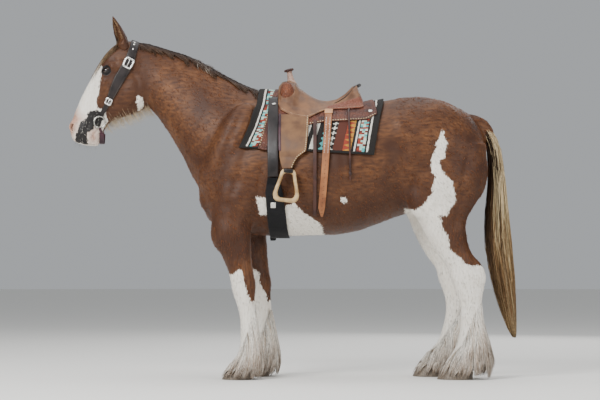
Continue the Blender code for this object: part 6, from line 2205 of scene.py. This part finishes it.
@dataclass(frozen=True)
class WovenWool:
    """Hand-woven wool: matt and ribbed, with a striped border and bands of figures."""

    black: str = "15120F"
    white: str = "E8E4D8"
    turquoise: str = "4FAFB0"
    red: str = "9C3A26"
    ochre: str = "C48A34"
    brown: str = "5A2A1C"
    long: float = 0.79
    over: float = 1.28

    def within(self, tree: Tree, value: Socket, middle: float, half: float) -> Socket:
        """1 where a value lies near a middle one, and 0 elsewhere."""
        return calc(tree, "COMPARE", value, middle, half)

    def off(self, tree: Tree, value: Socket, middle: float) -> Socket:
        """How far a value lies from a middle one."""
        return calc(tree, "ABSOLUTE", calc(tree, "SUBTRACT", value, middle))

    def material(self) -> Material:
        """Builds the blanket's material from its own map, in metres from the near edges."""
        material, tree, shader = new_material("hand-woven saddle wool")
        cut = add_node(tree, "ShaderNodeUVMap", {}, uv_map="Cut").outputs["UV"]
        split = add_node(tree, "ShaderNodeSeparateXYZ", {"Vector": cut})
        waver = calc(tree, "MULTIPLY", calc(tree, "SUBTRACT", spread_noise(tree, 16), 0.5), 0.006)
        from_front = calc(tree, "MULTIPLY", split.outputs[0], self.long)
        from_rear = calc(tree, "MULTIPLY", calc(tree, "SUBTRACT", 1.0, split.outputs[0]), self.long)
        edge = calc(tree, "ADD", calc(tree, "MINIMUM", from_rear, from_front), waver)
        down = calc(tree, "ADD", calc(tree, "MULTIPLY", split.outputs[1], self.over), waver)
        colour = linear(self.black)
        for middle, half, code in (
            (0.044, 0.0055, self.white), (0.119, 0.0050, self.white), (0.215, 0.030, self.brown),
            (0.165, 0.022, self.red), (0.370, 0.012, self.white),
        ):
            colour = mixed(tree, self.within(tree, edge, middle, half), colour, linear(code))
        colour = self.checks(tree, edge, down, colour)
        slope = calc(tree, "MULTIPLY", calc(tree, "SUBTRACT", edge, 0.138), 0.42)
        teeth = calc(tree, "LESS_THAN", slope, calc(tree, "PINGPONG", down, 0.020))
        in_teeth = calc(tree, "MULTIPLY", teeth, self.within(tree, edge, 0.163, 0.024))
        colour = mixed(tree, in_teeth, colour, linear(self.ochre))
        across = self.off(tree, edge, 0.262)
        along = calc(tree, "SUBTRACT", 0.022, calc(tree, "PINGPONG", down, 0.022))
        arms = calc(tree, "LESS_THAN", calc(tree, "MINIMUM", across, along), 0.0048)
        ends = calc(tree, "LESS_THAN", calc(tree, "MAXIMUM", across, along), 0.0165)
        colour = mixed(tree, calc(tree, "MULTIPLY", arms, ends), colour, linear(self.white))
        lozenge = calc(tree, "ADD", self.off(tree, edge, 0.312), calc(tree, "MULTIPLY", along, 0.72))
        colour = mixed(tree, calc(tree, "LESS_THAN", lozenge, 0.0165), colour, linear(self.turquoise))
        bottom = calc(tree, "MINIMUM", down, calc(tree, "SUBTRACT", self.over, down))
        colour = mixed(tree, calc(tree, "LESS_THAN", bottom, 0.018), colour, linear(self.black))
        fuzz = spread_noise(tree, 5, detail=4)
        height = bumped(tree, fuzz, 1.2 * MM)
        for scale, bend, way, depth in ((40.0, 1.0, "X", 0.8 * MM), (62.0, 1.2, "Y", 1.6 * MM)):
            inputs = {"Vector": cut, "Scale": scale, "Distortion": bend}
            ribs = add_node(tree, "ShaderNodeTexWave", inputs, bands_direction=way)
            height = bumped(tree, ribs.outputs["Fac"], depth, height)
        lint = ranged(tree, fuzz, 0.3, 0.7, (0.28, 0.0))
        colour = mixed(tree, lint, colour, linear("2A2420"))
        set_inputs(tree, shader, {"Base Color": colour, "Normal": height, "Roughness": 0.92})
        return material

    def checks(self, tree: Tree, edge: Socket, down: Socket, colour: Socket) -> Socket:
        """Lays three columns of small coloured blocks beside the white border line."""
        column = calc(tree, "DIVIDE", calc(tree, "SUBTRACT", edge, 0.060), 0.0158)
        row = calc(tree, "DIVIDE", down, 0.0145)
        whole = {0: calc(tree, "FLOOR", column), 1: calc(tree, "FLOOR", row)}
        cell = add_node(tree, "ShaderNodeCombineXYZ", whole).outputs[0]
        chance = add_node(tree, "ShaderNodeTexWhiteNoise", {"Vector": cell}).outputs["Value"]
        ramp = add_node(tree, "ShaderNodeValToRGB", {"Fac": chance})
        ramp.color_ramp.interpolation = "CONSTANT"
        stops = ramp.color_ramp.elements
        for place, code in (
            (0.0, "A9D6C6"), (0.26, self.turquoise), (0.5, self.red), (0.68, "D9E6D8"), (0.86, "6B2A22"),
        ):
            stop = stops.new(place) if place else stops[0]
            stop.color = linear(code)
        stops.remove(stops[len(stops) - 1])
        return mixed(tree, self.within(tree, edge, 0.0837, 0.0237), colour, ramp.outputs["Color"])


@dataclass
class Saddle:
    """Blanket, skirts, seat, horn, rolls, fenders, straps and stirrups of a stock saddle."""

    barrel: Barrel

    def over_back(
        self, edge_x: Callable[[float, float], float], bottom: Callable[[float], float], lift: float
    ) -> Place:
        """The face of a piece that lies over the back and down both sides.

        Args:
            edge_x: Gives x from (u, share down).
            bottom: Gives the height of its lower edge from u.
            lift: Its height over the flesh.

        Returns:
            A function of (u, v), where v runs from the near edge over the spine to the far one.
        """

        def place(u: float, v: float) -> Vector:
            """A point of the piece."""
            side = -1 if v < 0.5 else 1
            down = abs(2 * v - 1)
            x = edge_x(u, down)
            return self.barrel.at(x, down * self.barrel.angle(x, bottom(u), side), side, lift)

        return place

    def blanket(self) -> None:
        """The woven blanket, thick and soft-edged."""

        def edge_x(u: float, down: float) -> float:
            """x at a share from front to rear."""
            front, rear = float(np.interp(down, *FRONT_EDGE)), float(np.interp(down, *REAR_EDGE))
            return front + (rear - front) * u

        face = self.over_back(
            edge_x, lambda u: BLANKET_BOTTOM[0] + (BLANKET_BOTTOM[1] - BLANKET_BOTTOM[0]) * u, 0.0050
        )

        def soft(u: float, v: float) -> Vector:
            """The face with slight waves towards its lower edges."""
            point = face(u, v)
            down = abs(2 * v - 1) ** 4
            wave = 0.0016 * down * (1 + math.sin(23 * u + 2 * math.sin(9 * u)))
            return point + Vector((0, math.copysign(wave, point.y), 0))

        mesh = sheet_mesh("woven_blanket", 60, 96, soft, 0.0080)
        obj = dressed("woven_blanket", mesh, WovenWool().material(), ("saddle_blanket",), "blanket_wool")

    def skirts(self) -> None:
        """The tooled skirts under the seat, laced along their front and lower edges."""

        def edge_x(u: float, down: float) -> float:
            """x at a share from front to rear."""
            top, low, _ = along_table(SKIRT_STATIONS, u)
            return top + (low - top) * down

        face = self.over_back(edge_x, lambda u: along_table(SKIRT_STATIONS, u)[2], 0.0165)
        mesh = sheet_mesh("tooled_skirts", 56, 64, face, 0.0062)
        dressed(
            "tooled_skirts", mesh, DARK_TOOLED.material("carved brown leather"), ("saddle_skirts",),
            "saddle_leather"
        )
        top = self.over_back(edge_x, lambda u: along_table(SKIRT_STATIONS, u)[2], 0.0230)
        lacing = Beads("skirt_lacing", (0.006, 0.0062, 0.0036))
        for v in ((0.012, 0.36), (0.988, 0.64)):
            lacing.along(top, ((0.014, v[1]), (0.014, v[0])), 0.0150, 0.55)
            lacing.along(top, ((0.30, v[0]), (0.985, v[0])), 0.0150, 0.55)
        lacing.build(LACE.material("rawhide lacing"), "rawhide")

    def seat(self) -> None:
        """Swell, seat, cantle and jockeys as one smooth leather form, with a rolled cantle rim."""

        def edge_x(u: float, down: float) -> float:
            """x at a share from front to rear, which is the same all the way down."""
            return along_table(SEAT_STATIONS, u)[0]

        def rise(u: float, v: float) -> float:
            """Height of the leather over the skirts."""
            high = along_table(SEAT_STATIONS, u)[1]
            return 0.0058 + high * float(np.interp(abs(2 * v - 1), *SEAT_FALL))

        face = self.over_back(edge_x, lambda u: along_table(SEAT_STATIONS, u)[2], 0.0262)
        mesh = sheet_mesh("saddle_seat_leather", 104, 80, face, rise)
        points, _ = points_of(mesh)
        jockey_top = 1.612 + 0.30 * (points[:, 0] - 0.2)
        tooled = smooth_step(points[:, 0], 0.196, 0.206) * smooth_step(
            jockey_top - points[:, 2], -0.004, 0.004
        )
        set_value(mesh, "tooled", tooled)
        dressed(
            "saddle_seat_leather", mesh, SADDLE_TAN.material("oiled saddle leather"), ("saddle_seat",),
            "saddle_leather"
        )

        def top(u: float, v: float) -> Vector:
            """A point of the seat's upper face."""
            point = face(u, v)
            out = from_axis(point).normalized()
            return point + out * rise(u, v)

        jockey = Beads("seat_stitching", (0.004, 0.0016, 0.0012))
        for v in (0.022, 0.978):
            jockey.along(top, ((0.02, v), (0.98, v)), 0.0065)
        jockey.build(LACE.material("waxed linen stitching"), "rawhide")
        bm = bmesh.new()
        path = [
            top((11.1 - 3.3 * (abs(2 * v - 1) / 0.62) ** 1.5) / 13, v) for v in np.linspace(0.19, 0.81, 48)
        ]

        def rim(u: float, v: float) -> Vector:
            """A point of the rolled rim round the cantle."""
            at = u * (len(path) - 1)
            low = min(int(at), len(path) - 2)
            middle = path[low].lerp(path[low + 1], at - low)
            ahead = (path[low + 1] - path[low]).normalized()
            back = Vector((1, 0, 0.25)).normalized()
            up = back.cross(ahead).normalized()
            radius = 0.0075 * (0.35 + 0.65 * math.sin(math.pi * u) ** 0.4)
            angle = TURN * v
            return middle + back * (1.5 * radius * math.cos(angle)) + up * (radius * math.sin(angle))

        add_tube(bm, 60, 12, rim)
        dressed("cantle_roll", bm, OILED_DARK.material("dark rolled leather"), (), "saddle_leather")

    def horn(self) -> None:
        """The horn: rawhide-wrapped neck and a dark leather cap."""
        foot, top = Vector((-0.008, 0.0, 1.765)), Vector((-0.024, 0.0, 1.842))
        bm = bmesh.new()

        def neck(u: float, v: float) -> Vector:
            """A point of the wrapped neck."""
            radius = float(np.interp(u, (0, 0.3, 0.8, 1), (0.030, 0.021, 0.0155, 0.0165)))
            radius += 0.0009 * math.sin(TURN * (u * 14 + v))
            angle = TURN * v
            return foot.lerp(top, u) + Vector((radius * math.cos(angle), radius * math.sin(angle), 0))

        add_tube(bm, 70, 32, neck)
        dressed(
            "horn_neck", bm, LeatherFinish("B79A8A", "87675A").material("wrapped horn rawhide"),
            ("saddle_horn",), "rawhide"
        )
        bm = bmesh.new()
        place = frame_at(top, (1, 0, 0), (-0.25, 0, 1))

        def cap(u: float, v: float) -> Vector:
            """A point of the horn's cap."""
            radius, height = along_table(HORN_CAP, u)
            return place @ Vector((radius * math.cos(TURN * v), radius * math.sin(TURN * v), height))

        add_tube(bm, 30, 40, cap)
        dressed("horn_cap", bm, DARK_TOOLED.material("horn cap leather"), (), "saddle_leather")

    def rolls(self) -> None:
        """The tooled bucking rolls beside the swell, with a dark welt round each."""
        finish = TOOLED_TAN.material("floral carved leather")
        for side in Side:
            centre = Vector((-0.034, side.value * 0.150, 1.692))
            bm = bmesh.new()

            def roll(u: float, v: float) -> Vector:
                """A point of the roll, a little squared at its ends."""
                tall = math.cos(math.pi * u)
                out = abs(math.sin(math.pi * u)) ** 0.75
                angle = TURN * v
                return centre + Vector(
                    (0.0415 * out * math.cos(angle), 0.0435 * out * math.sin(angle), 0.0655 * tall)
                )

            add_tube(bm, 40, 48, roll)
            name = side.name_of("bucking_roll")
            dressed(f"carved_{name}", bm, finish, (name,), "saddle_leather")
            bm = bmesh.new()

            def welt(u: float, v: float) -> Vector:
                """A point of the piping round the roll."""
                turn, angle = TURN * u, TURN * v
                ring = Vector((0.0400 * math.sin(turn), 0, 0.0640 * math.cos(turn)))
                out = ring.normalized()
                thin = 0.0028
                middle = centre + Vector((0, side.value * 0.006, 0)) + ring
                return middle + out * thin * math.cos(angle) + Vector((0, thin * math.sin(angle), 0))

            add_ring(bm, 72, 10, welt)
            dressed(
                side.name_of("roll_welt"), bm, OILED_DARK.material("dark piping leather"), (),
                "saddle_leather"
            )

    def straps(self) -> None:
        """Fenders, latigos, rear billets, tie straps and saddle strings of both sides."""
        fender_skin = LeatherFinish("765334", "593A22").material("plain fender leather")
        dark = OILED_DARK.material("black latigo leather")
        tan = LeatherFinish("A06840", "7A4829").material("russet billet leather")
        brown = LeatherFinish("4A2A20", "2C1814").material("dark tie leather")
        plum = PLUM_LEATHER.material("plum edging leather")
        silver = MetalFinish().material("nickel silver dots")
        lace = Beads("fender_lacing", (0.006, 0.0060, 0.0036))
        dots = Beads("billet_dots", (0.0052, 0.0052, 0.0030), True)
        # Dark discs stand in for the billet's punched holes: painted shade in the holes.
        holes = Beads("billet_hole_shade", (0.0056, 0.0056, 0.0012), True)
        for side in Side:
            way = side.value
            for name, table, columns, rows, finish, slot in (
                ("fender", FENDER, 22, 44, fender_skin, "saddle_leather"),
                ("latigo", LATIGO, 6, 40, dark, "latigo_leather"),
                ("rear_billet", REAR_BILLET, 6, 56, tan, "billet_leather"),
                ("rear_strap", REAR_STRAP, 4, 44, brown, "latigo_leather"),
                ("saddle_string", SADDLE_STRING, 3, 44, brown, "latigo_leather"),
            ):
                node = side.name_of(name)
                mesh = sheet_mesh(
                    f"{node}_leather", columns, rows, self.barrel.down_side(table, way), LEATHER
                )
                dressed(f"{node}_leather", mesh, finish, (node,), slot)
            face = self.barrel.down_side(FENDER, way, LEATHER)
            lace.along(face, ((0.955, 0.02), (0.955, 0.55), (0.93, 0.62)), 0.0135, 0.55)
            lace.along(face, ((0.93, 0.625), (0.94, 0.75), (0.93, 0.97)), 0.0135, 0.55)
            edge = tuple(
                (z, front - 0.004, front + 0.010, height + 0.0062) for z, front, _, height in FENDER[:5]
            )
            trim = sheet_mesh(
                side.name_of("fender_edging"), 3, 36, self.barrel.down_side(edge, way), 0.0022
            )
            dressed(side.name_of("fender_edging"), trim, plum, (), "plum_leather")
            billet = self.barrel.down_side(REAR_BILLET, way, LEATHER)
            for u in (0.24, 0.76):
                dots.along(billet, ((u, 0.05), (u, 0.36)), 0.0085)
            holes.along(billet, ((0.5, 0.42), (0.5, 0.93)), 0.0250)
            self.knot(side, brown)
            tab = tuple((z, front - 0.002, rear + 0.002, height + 0.0062) for z, front, rear, height in (
                (1.566, 0.190, 0.234, 0.0255), (1.540, 0.188, 0.232, 0.0255)))
            piece = sheet_mesh(side.name_of("billet_tab"), 6, 6, self.barrel.down_side(tab, way), 0.0030)
            dressed(
                side.name_of("billet_tab"), piece,
                LeatherFinish("C89468", "A87448").material("pale billet tab"), (), "billet_leather"
            )
            concho = Beads(side.name_of("saddle_conchos"), (0.030, 0.030, 0.007), True)
            for x, z, lift in ((-0.112, 1.600, 0.0300), (0.335, 1.585, 0.0300), (0.455, 1.560, 0.0240)):
                spot = self.barrel.at(x, self.barrel.angle(x, z, way), way, lift)
                concho.add(spot, Vector((1, 0, 0)), from_axis(spot))
            concho.build(MetalFinish(engraved=True).material("engraved silver conchos"), "silver")
        lace.build(LACE.material("pale fender lacing"), "rawhide")
        dots.build(silver, "silver")
        # The holes' near-black discs are painted shade.
        holes.build(LeatherFinish("120C0A", "0A0706").material("painted shade in punched holes"), "latigo_leather")

    def knot(self, side: Side, finish: Material) -> None:
        """The knot low on a saddle string.

        Args:
            side: Which string.
            finish: Its leather.
        """
        centre = self.barrel.at(0.333, self.barrel.angle(0.333, 1.205, side.value), side.value, 0.009)
        bm = bmesh.new()
        for turn in (-35, 30):
            add_ball(bm, centre, (0.0075, 0.0060, 0.0125), turn, 16)
        dressed(side.name_of("string_knot"), bm, finish, (), "latigo_leather")

    def cinch(self) -> None:
        """The cinch under the belly: many cords side by side, crossed by woven bars."""

        def face(u: float, v: float) -> Vector:
            """A point of the cinch's underside."""
            below = 1 - abs(2 * v - 1)
            middle, half = (float(np.interp(below, CINCH_WAY[0], row)) for row in CINCH_WAY[1:])
            start = self.barrel.angle(middle, 1.184, -1)
            angle = start + (TURN - 2 * start) * v
            return self.barrel.at(middle + (2 * u - 1) * half, angle, -1, 0.0040)

        def cords(u: float, v: float) -> float:
            """Thickness across the cords."""
            bar = 0.0016 * (math.cos(TURN * v * 9) > 0.93)
            return 0.0062 + 0.0032 * abs(math.sin(math.pi * u * 15)) + bar

        finish = LeatherFinish("17161A", "0A0A0C", roughness=0.8).material("black mohair cinch")
        dressed(
            "mohair_cinch", sheet_mesh("mohair_cinch", 90, 150, face, cords), finish, ("cinch",),
            "cinch_webbing"
        )
        silver = MetalFinish(engraved=True).material("engraved cinch silver")
        for side in Side:
            table = ((1.046, -0.130, -0.100, 0.0135), (1.016, -0.130, -0.100, 0.0135))
            node = side.name_of("cinch_plate")
            mesh = sheet_mesh(f"silver_{node}", 8, 8, self.barrel.down_side(table, side.value), 0.0034)
            dressed(f"silver_{node}", mesh, silver, (node,), "silver")

    def stirrups(self) -> None:
        """Rawhide-bound stirrups with a wrap at the top."""
        half = (
            ((0.034, 0.100), (0.014, 0.074)), ((0.046, 0.080), (0.026, 0.066)), (
                (0.054, 0.040), (0.032, 0.036)
            ),
            ((0.068, -0.010), (0.044, -0.008)), ((0.078, -0.048), (0.050, -0.040)),
            ((0.072, -0.078), (0.044, -0.060)), ((0.052, -0.094), (0.030, -0.068)),
        )
        loop = [(o, i, 1) for o, i in half] + [(o, i, -1) for o, i in half[::-1]]
        finish = LeatherFinish("CDB083", "9A7A50", roughness=0.5).material("rawhide-bound stirrup wood")
        for side in Side:
            lean = (math.cos(math.radians(-6)), 0, math.sin(math.radians(-6)))
            place = frame_at(Vector((-0.034, side.value * 0.388, 1.129)), lean, (0, -1, 0))
            bm = bmesh.new()

            def point(u: float, v: float) -> Vector:
                """A point of the loop, with its edges rounded."""
                at = u * len(loop)
                low = int(at) % len(loop)
                after = (low + 1) % len(loop)
                t = at - int(at)
                outer, inner = (
                    np.array((loop[low][k][0] * loop[low][2], loop[low][k][1])) * (1 - t)
                    + np.array((loop[after][k][0] * loop[after][2], loop[after][k][1])) * t
                    for k in (0, 1)
                )
                angle = TURN * v
                across = powered(math.cos(angle), 0.6)
                deep = powered(math.sin(angle), 0.6)
                mid, arm = (outer + inner) / 2, (outer - inner) / 2 * 0.97
                spot = mid + arm * across
                return place @ Vector((spot[0], spot[1], 0.0255 * deep))

            add_ring(bm, 112, 24, point)
            for _ in range(5):
                bmesh.ops.smooth_vert(
                    bm, verts=bm.verts, factor=0.5, use_axis_x=True, use_axis_y=True, use_axis_z=True
                )
            node = side.name_of("stirrup")
            dressed(f"bound_{node}", bm, finish, (node,), "rawhide")
            bm = bmesh.new()
            wrap = place @ Matrix.Translation((0, 0.088, 0)) @ Matrix.Diagonal((0.058, 0.024, 0.0545, 1.0))
            bmesh.ops.create_cube(bm, size=1.0, matrix=wrap)
            bmesh.ops.bevel(
                bm, geom=bm.edges[:], offset=0.006, affect="EDGES", segments=3, profile=0.5, material=-1
            )
            dressed(
                side.name_of("stirrup_wrap"), bm, OILED_DARK.material("stirrup wrap leather"), (),
                "latigo_leather"
            )

    def build(self) -> None:
        """Builds the whole saddle."""
        self.blanket()
        self.skirts()
        self.seat()
        self.horn()
        self.rolls()
        self.straps()
        self.cinch()
        self.stirrups()


@dataclass
class Headstall:
    """The wide dark headstall with its buckles and studs, the bit, its rings and the chin strap."""

    head: BVHTree
    thick: float = 0.0058
    # (x, z, turn from up in degrees, half width) from the bit to the poll
    stations: tuple = (
        (-1.147, 1.570, 90, 0.012), (-1.122, 1.612, 90, 0.014), (-1.098, 1.653, 90, 0.017),
        (-1.070, 1.712, 90, 0.026), (-1.038, 1.776, 90, 0.031), (-1.003, 1.836, 90, 0.032),
        (-0.978, 1.885, 90, 0.030), (-0.962, 1.935, 90, 0.026), (-0.952, 1.955, 70, 0.024),
        (-0.950, 1.955, 45, 0.023), (-0.949, 1.955, 22, 0.022), (-0.948, 1.955, 0, 0.022),
    )

    def touch(self, origin: Vector, outward: Vector, reach: float = 0.5) -> Vector:
        """The head's surface met on the way in along a direction."""
        found = self.head.ray_cast(origin + outward * reach, -outward)[0]
        return found or origin

    def face(self, lift: float) -> Place:
        """The strap's face at a height, from the near bit ring over the poll to the far one.

        Args:
            lift: Height over the head.

        Returns:
            A function of (share across, share along).
        """
        half = [(x, z, turn, width) for x, z, turn, width in self.stations]
        rows = half + [(x, z, -turn, width) for x, z, turn, width in reversed(half[:-1])]

        def centre(v: float) -> tuple[Vector, Vector, float]:
            """Middle of the strap, the way it looks, and half its width."""
            x, z, turn, width = along_table(rows, min(max(v, 0.0), 1.0))
            angle = math.radians(turn)
            outward = Vector((0, -math.sin(angle), math.cos(angle)))
            return self.touch(Vector((x, 0.0004, z)), outward), outward, width

        def place(u: float, v: float) -> Vector:
            """A point of the strap."""
            middle, outward, width = centre(v)
            across = outward.cross(centre(v + 0.012)[0] - centre(v - 0.012)[0]).normalized()
            spot = middle + across * width * (2 * u - 1)
            return self.touch(spot - outward * 0.03, outward, 0.15) + outward * lift

        return place

    def straps(self) -> None:
        """The headstall and the chin strap."""
        face = self.face(0.0015)
        mesh = sheet_mesh("dark_headstall", 8, 150, face, self.thick, 1.75)
        dressed(
            "dark_headstall", mesh, OILED_DARK.material("black bridle leather"), ("headstall",),
            "bridle_leather"
        )
        x, z, turn = -1.146, 1.470, math.radians(98)

        def chin(u: float, v: float) -> Vector:
            """A point of the chin strap."""
            angle = turn + (TURN - 2 * turn) * v
            outward = Vector((0, -math.sin(angle), math.cos(angle)))
            starts = [Vector((x + 0.014 * step, 0.0004, z)) for step in (-1, 0, 1)]
            radius = max((self.touch(start, outward) - start).length for start in starts)
            return Vector((x + 0.014 * (2 * u - 1), 0, z)) + outward * (radius + 0.0015)

        mesh = sheet_mesh("plum_chin_strap", 6, 60, chin, self.thick, z)
        dressed(
            "plum_chin_strap", mesh, PLUM_LEATHER.material("plum chin leather"), ("chin_strap",),
            "plum_leather"
        )
        bm = bmesh.new()
        for side in Side:
            ring = self.touch(Vector((-1.156, 0, 1.527)), Vector((0, side.value, 0))).y + side.value * 0.016
            ends = [chin(0.5, 0.02 if side is Side.LEFT else 0.98), Vector((-1.154, ring, 1.492))]
            out = Vector((0, side.value, 0))

            def keeper(u: float, v: float) -> Vector:
                """A point of the short strap that holds the chin strap to the ring."""
                angle = TURN * v
                middle = ends[0].lerp(ends[1], u) + out * (0.004 + 0.004 * math.sin(math.pi * u))
                return middle + Vector((0.0085 * math.cos(angle), 0.0030 * math.sin(angle), 0))

            add_tube(bm, 16, 16, keeper)
        keepers = outward_mesh("chin_strap_keepers", bm)
        dressed(
            "chin_strap_keepers", keepers, PLUM_LEATHER.material("plum keeper leather"), (), "plum_leather"
        )
        stitching = Beads("headstall_stitching", (0.004, 0.0014, 0.0010))
        for u in (0.09, 0.91):
            top = self.face(0.0074)
            stitching.along(top, ((u, 0.04), (u, 0.35), (u, 0.65), (u, 0.96)), 0.0075)
        stitching.build(LeatherFinish("8A7A66", "6A5A48").material("waxed bridle thread"), "rawhide")

    def buckles(self) -> None:
        """Engraved silver buckles with their bars, and round studs."""
        silver = MetalFinish("E4E2DC", 0.2, True).material("engraved buckle silver")
        for side in Side:
            for name, (x, z), (tall, wide) in (
                (
                    "cheek_buckle", (-0.982, 1.876), (0.068, 0.060)
                ), ("bit_buckle", (-1.100, 1.650), (0.044, 0.044)),
            ):
                out = Vector((0, side.value, 0))
                near = [
                    self.touch(
                        Vector((x + dx, 0, z + dz)), out
                    ) for dx, dz in ((0, 0), (0.020, 0), (0, 0.020))
                ]
                normal = (near[1] - near[0]).cross(near[2] - near[0]).normalized()
                if normal.y * side.value < 0:
                    normal.negate()
                place = frame_at(near[0] + normal * 0.0118, (0.45, 0.0, 0.89), normal)
                bm = bmesh.new()

                def rim(u: float, v: float) -> Vector:
                    """A point of the buckle's rounded frame."""
                    turn, angle = TURN * u, TURN * v
                    corner = [powered(f(turn), 0.45) for f in (math.cos, math.sin)]
                    inset = 0.0052 * (1 - math.cos(angle))
                    return place @ Vector(
                        (
                            (tall / 2 - inset) * corner[0], (wide / 2 - inset) * corner[1],
                            0.0034 * math.sin(angle)
                        )
                    )

                add_ring(bm, 80, 12, rim)
                bar = place @ Matrix.Translation((0, 0, 0.001)) @ Matrix.Diagonal(
                    (tall * 0.84, 0.0045, 0.003, 1)
                )
                bmesh.ops.create_cube(bm, size=1.0, matrix=bar)
                node = side.name_of(name)
                dressed(f"silver_{node}", bm, silver, (node,), "silver")
            studs = Beads(side.name_of("headstall_studs"), (0.013, 0.013, 0.006), True)
            top = self.face(0.0074)
            for share in (0.285, 0.345, 0.385, 0.415):
                v = share if side is Side.LEFT else 1 - share
                spot = top(0.5, v)
                ahead = top(0.5, v + 0.004) - spot
                studs.add(spot, ahead, (top(1.0, v) - top(0.0, v)).cross(ahead))
            studs.build(silver, "silver")

    def bit(self) -> None:
        """The rings and the bar through the mouth."""
        steel = MetalFinish("B9B7B0", 0.2).material("polished bit steel")
        for side in Side:
            cheek = self.touch(Vector((-1.156, 0, 1.527)), Vector((0, side.value, 0)))
            middle = Vector((-1.156, cheek.y + side.value * 0.016, 1.527))
            place = frame_at(middle, (1, 0, 0), (0.15, side.value, 0))
            bm = bmesh.new()

            def ring(u: float, v: float) -> Vector:
                """A point of the ring."""
                turn, angle = TURN * u, TURN * v
                radius = 0.034 + 0.0048 * math.cos(angle)
                return place @ Vector(
                    (radius * math.cos(turn), radius * math.sin(turn), 0.0048 * math.sin(angle))
                )

            add_ring(bm, 72, 14, ring)
            node = side.name_of("bit_ring")
            dressed(f"steel_{node}", bm, steel, (node,), "silver")
        bm = bmesh.new()

        def bar(u: float, v: float) -> Vector:
            """A point of the bar."""
            angle = TURN * v
            return Vector(
                (-1.172 + 0.006 * math.cos(angle), (u - 0.5) * 0.15, 1.497 + 0.006 * math.sin(angle))
            )

        add_tube(bm, 12, 20, bar)
        dressed("steel_mouthpiece", bm, steel, ("bit_mouthpiece",), "silver")

    def build(self) -> None:
        """Builds the whole headstall."""
        self.straps()
        self.buckles()
        self.bit()


# Studio


@dataclass
class Studio:
    """The camera of the photo's view, a pale floor and soft lights."""

    lens: float = 110.0

    def build(self) -> None:
        """Makes camera, floor, sky and lights."""
        camera = bpy.data.cameras.new("view")
        camera.lens, camera.sensor_width, camera.clip_end = self.lens, 36.0, 100.0
        obj = bpy.data.objects.new("view", camera)
        obj.location = (CAMERA_X, -CAMERA_FAR, CAMERA_Z)
        obj.rotation_euler = (math.radians(90 + CAMERA_TILT), 0.0, 0.0)
        bpy.context.scene.collection.objects.link(obj)
        bpy.context.scene.camera = obj
        self.floor()
        self.light("key", (-3.5, -5.5, 5.0), 3.2, 620.0)
        self.light("fill", (5.0, -5.0, 2.6), 4.0, 190.0)
        self.light("top", (0.5, 0.5, 6.5), 6.0, 260.0)
        self.light("back", (2.5, 6.0, 3.0), 4.0, 90.0)
        world = bpy.data.worlds.new("studio air")
        world.use_nodes = True
        ground = world.node_tree.nodes["Background"]
        ground.inputs["Color"].default_value = linear("E6EAEE")
        ground.inputs["Strength"].default_value = 0.52
        bpy.context.scene.world = world

    def floor(self) -> None:
        """A wide, flat, pale floor."""
        bm = bmesh.new()
        bmesh.ops.create_circle(bm, cap_ends=True, radius=45.0, segments=96)
        mesh = bpy.data.meshes.new("studio_floor")
        bm.to_mesh(mesh)
        bm.free()
        material, _, shader = new_material("pale studio paper")
        shader.inputs["Base Color"].default_value = linear("EFEDE8")
        shader.inputs["Roughness"].default_value = 0.9
        mesh.materials.append(material)
        linked("studio_floor", mesh)

    def light(self, name: str, place: tuple, size: float, power: float) -> None:
        """A soft square light that looks at the horse.

        Args:
            name: The light's name.
            place: Where it stands.
            size: Its side in metres.
            power: Its power in watts.
        """
        lamp = bpy.data.lights.new(name, "AREA")
        lamp.shape, lamp.size, lamp.energy = "SQUARE", size, power
        obj = bpy.data.objects.new(name, lamp)
        obj.location = place
        obj.rotation_euler = (Vector((0, 0, 1.0)) - Vector(place)).to_track_quat("-Z", "Y").to_euler()
        bpy.context.scene.collection.objects.link(obj)


def main() -> None:
    """Builds the studio and every piece of the horse."""
    logging.basicConfig(level=logging.INFO, format="%(message)s")
    Studio().build()
    skin, flesh = Skin().build()
    LOG.info("skin: %d faces", len(skin.data.polygons))
    for side in Side:
        Eye(side).build()
        for limb in (FORE, HIND):
            Hoof(limb, side).build()
            Feather(limb, side).build(skin)
    Saddle(Barrel(flesh)).build()
    Headstall(flesh).build()
    Tail().build(skin)
    Mane().build(skin)
    ShortCoat().build(skin)
    FineHairs().build(skin)


if __name__ == "__main__":
    main()
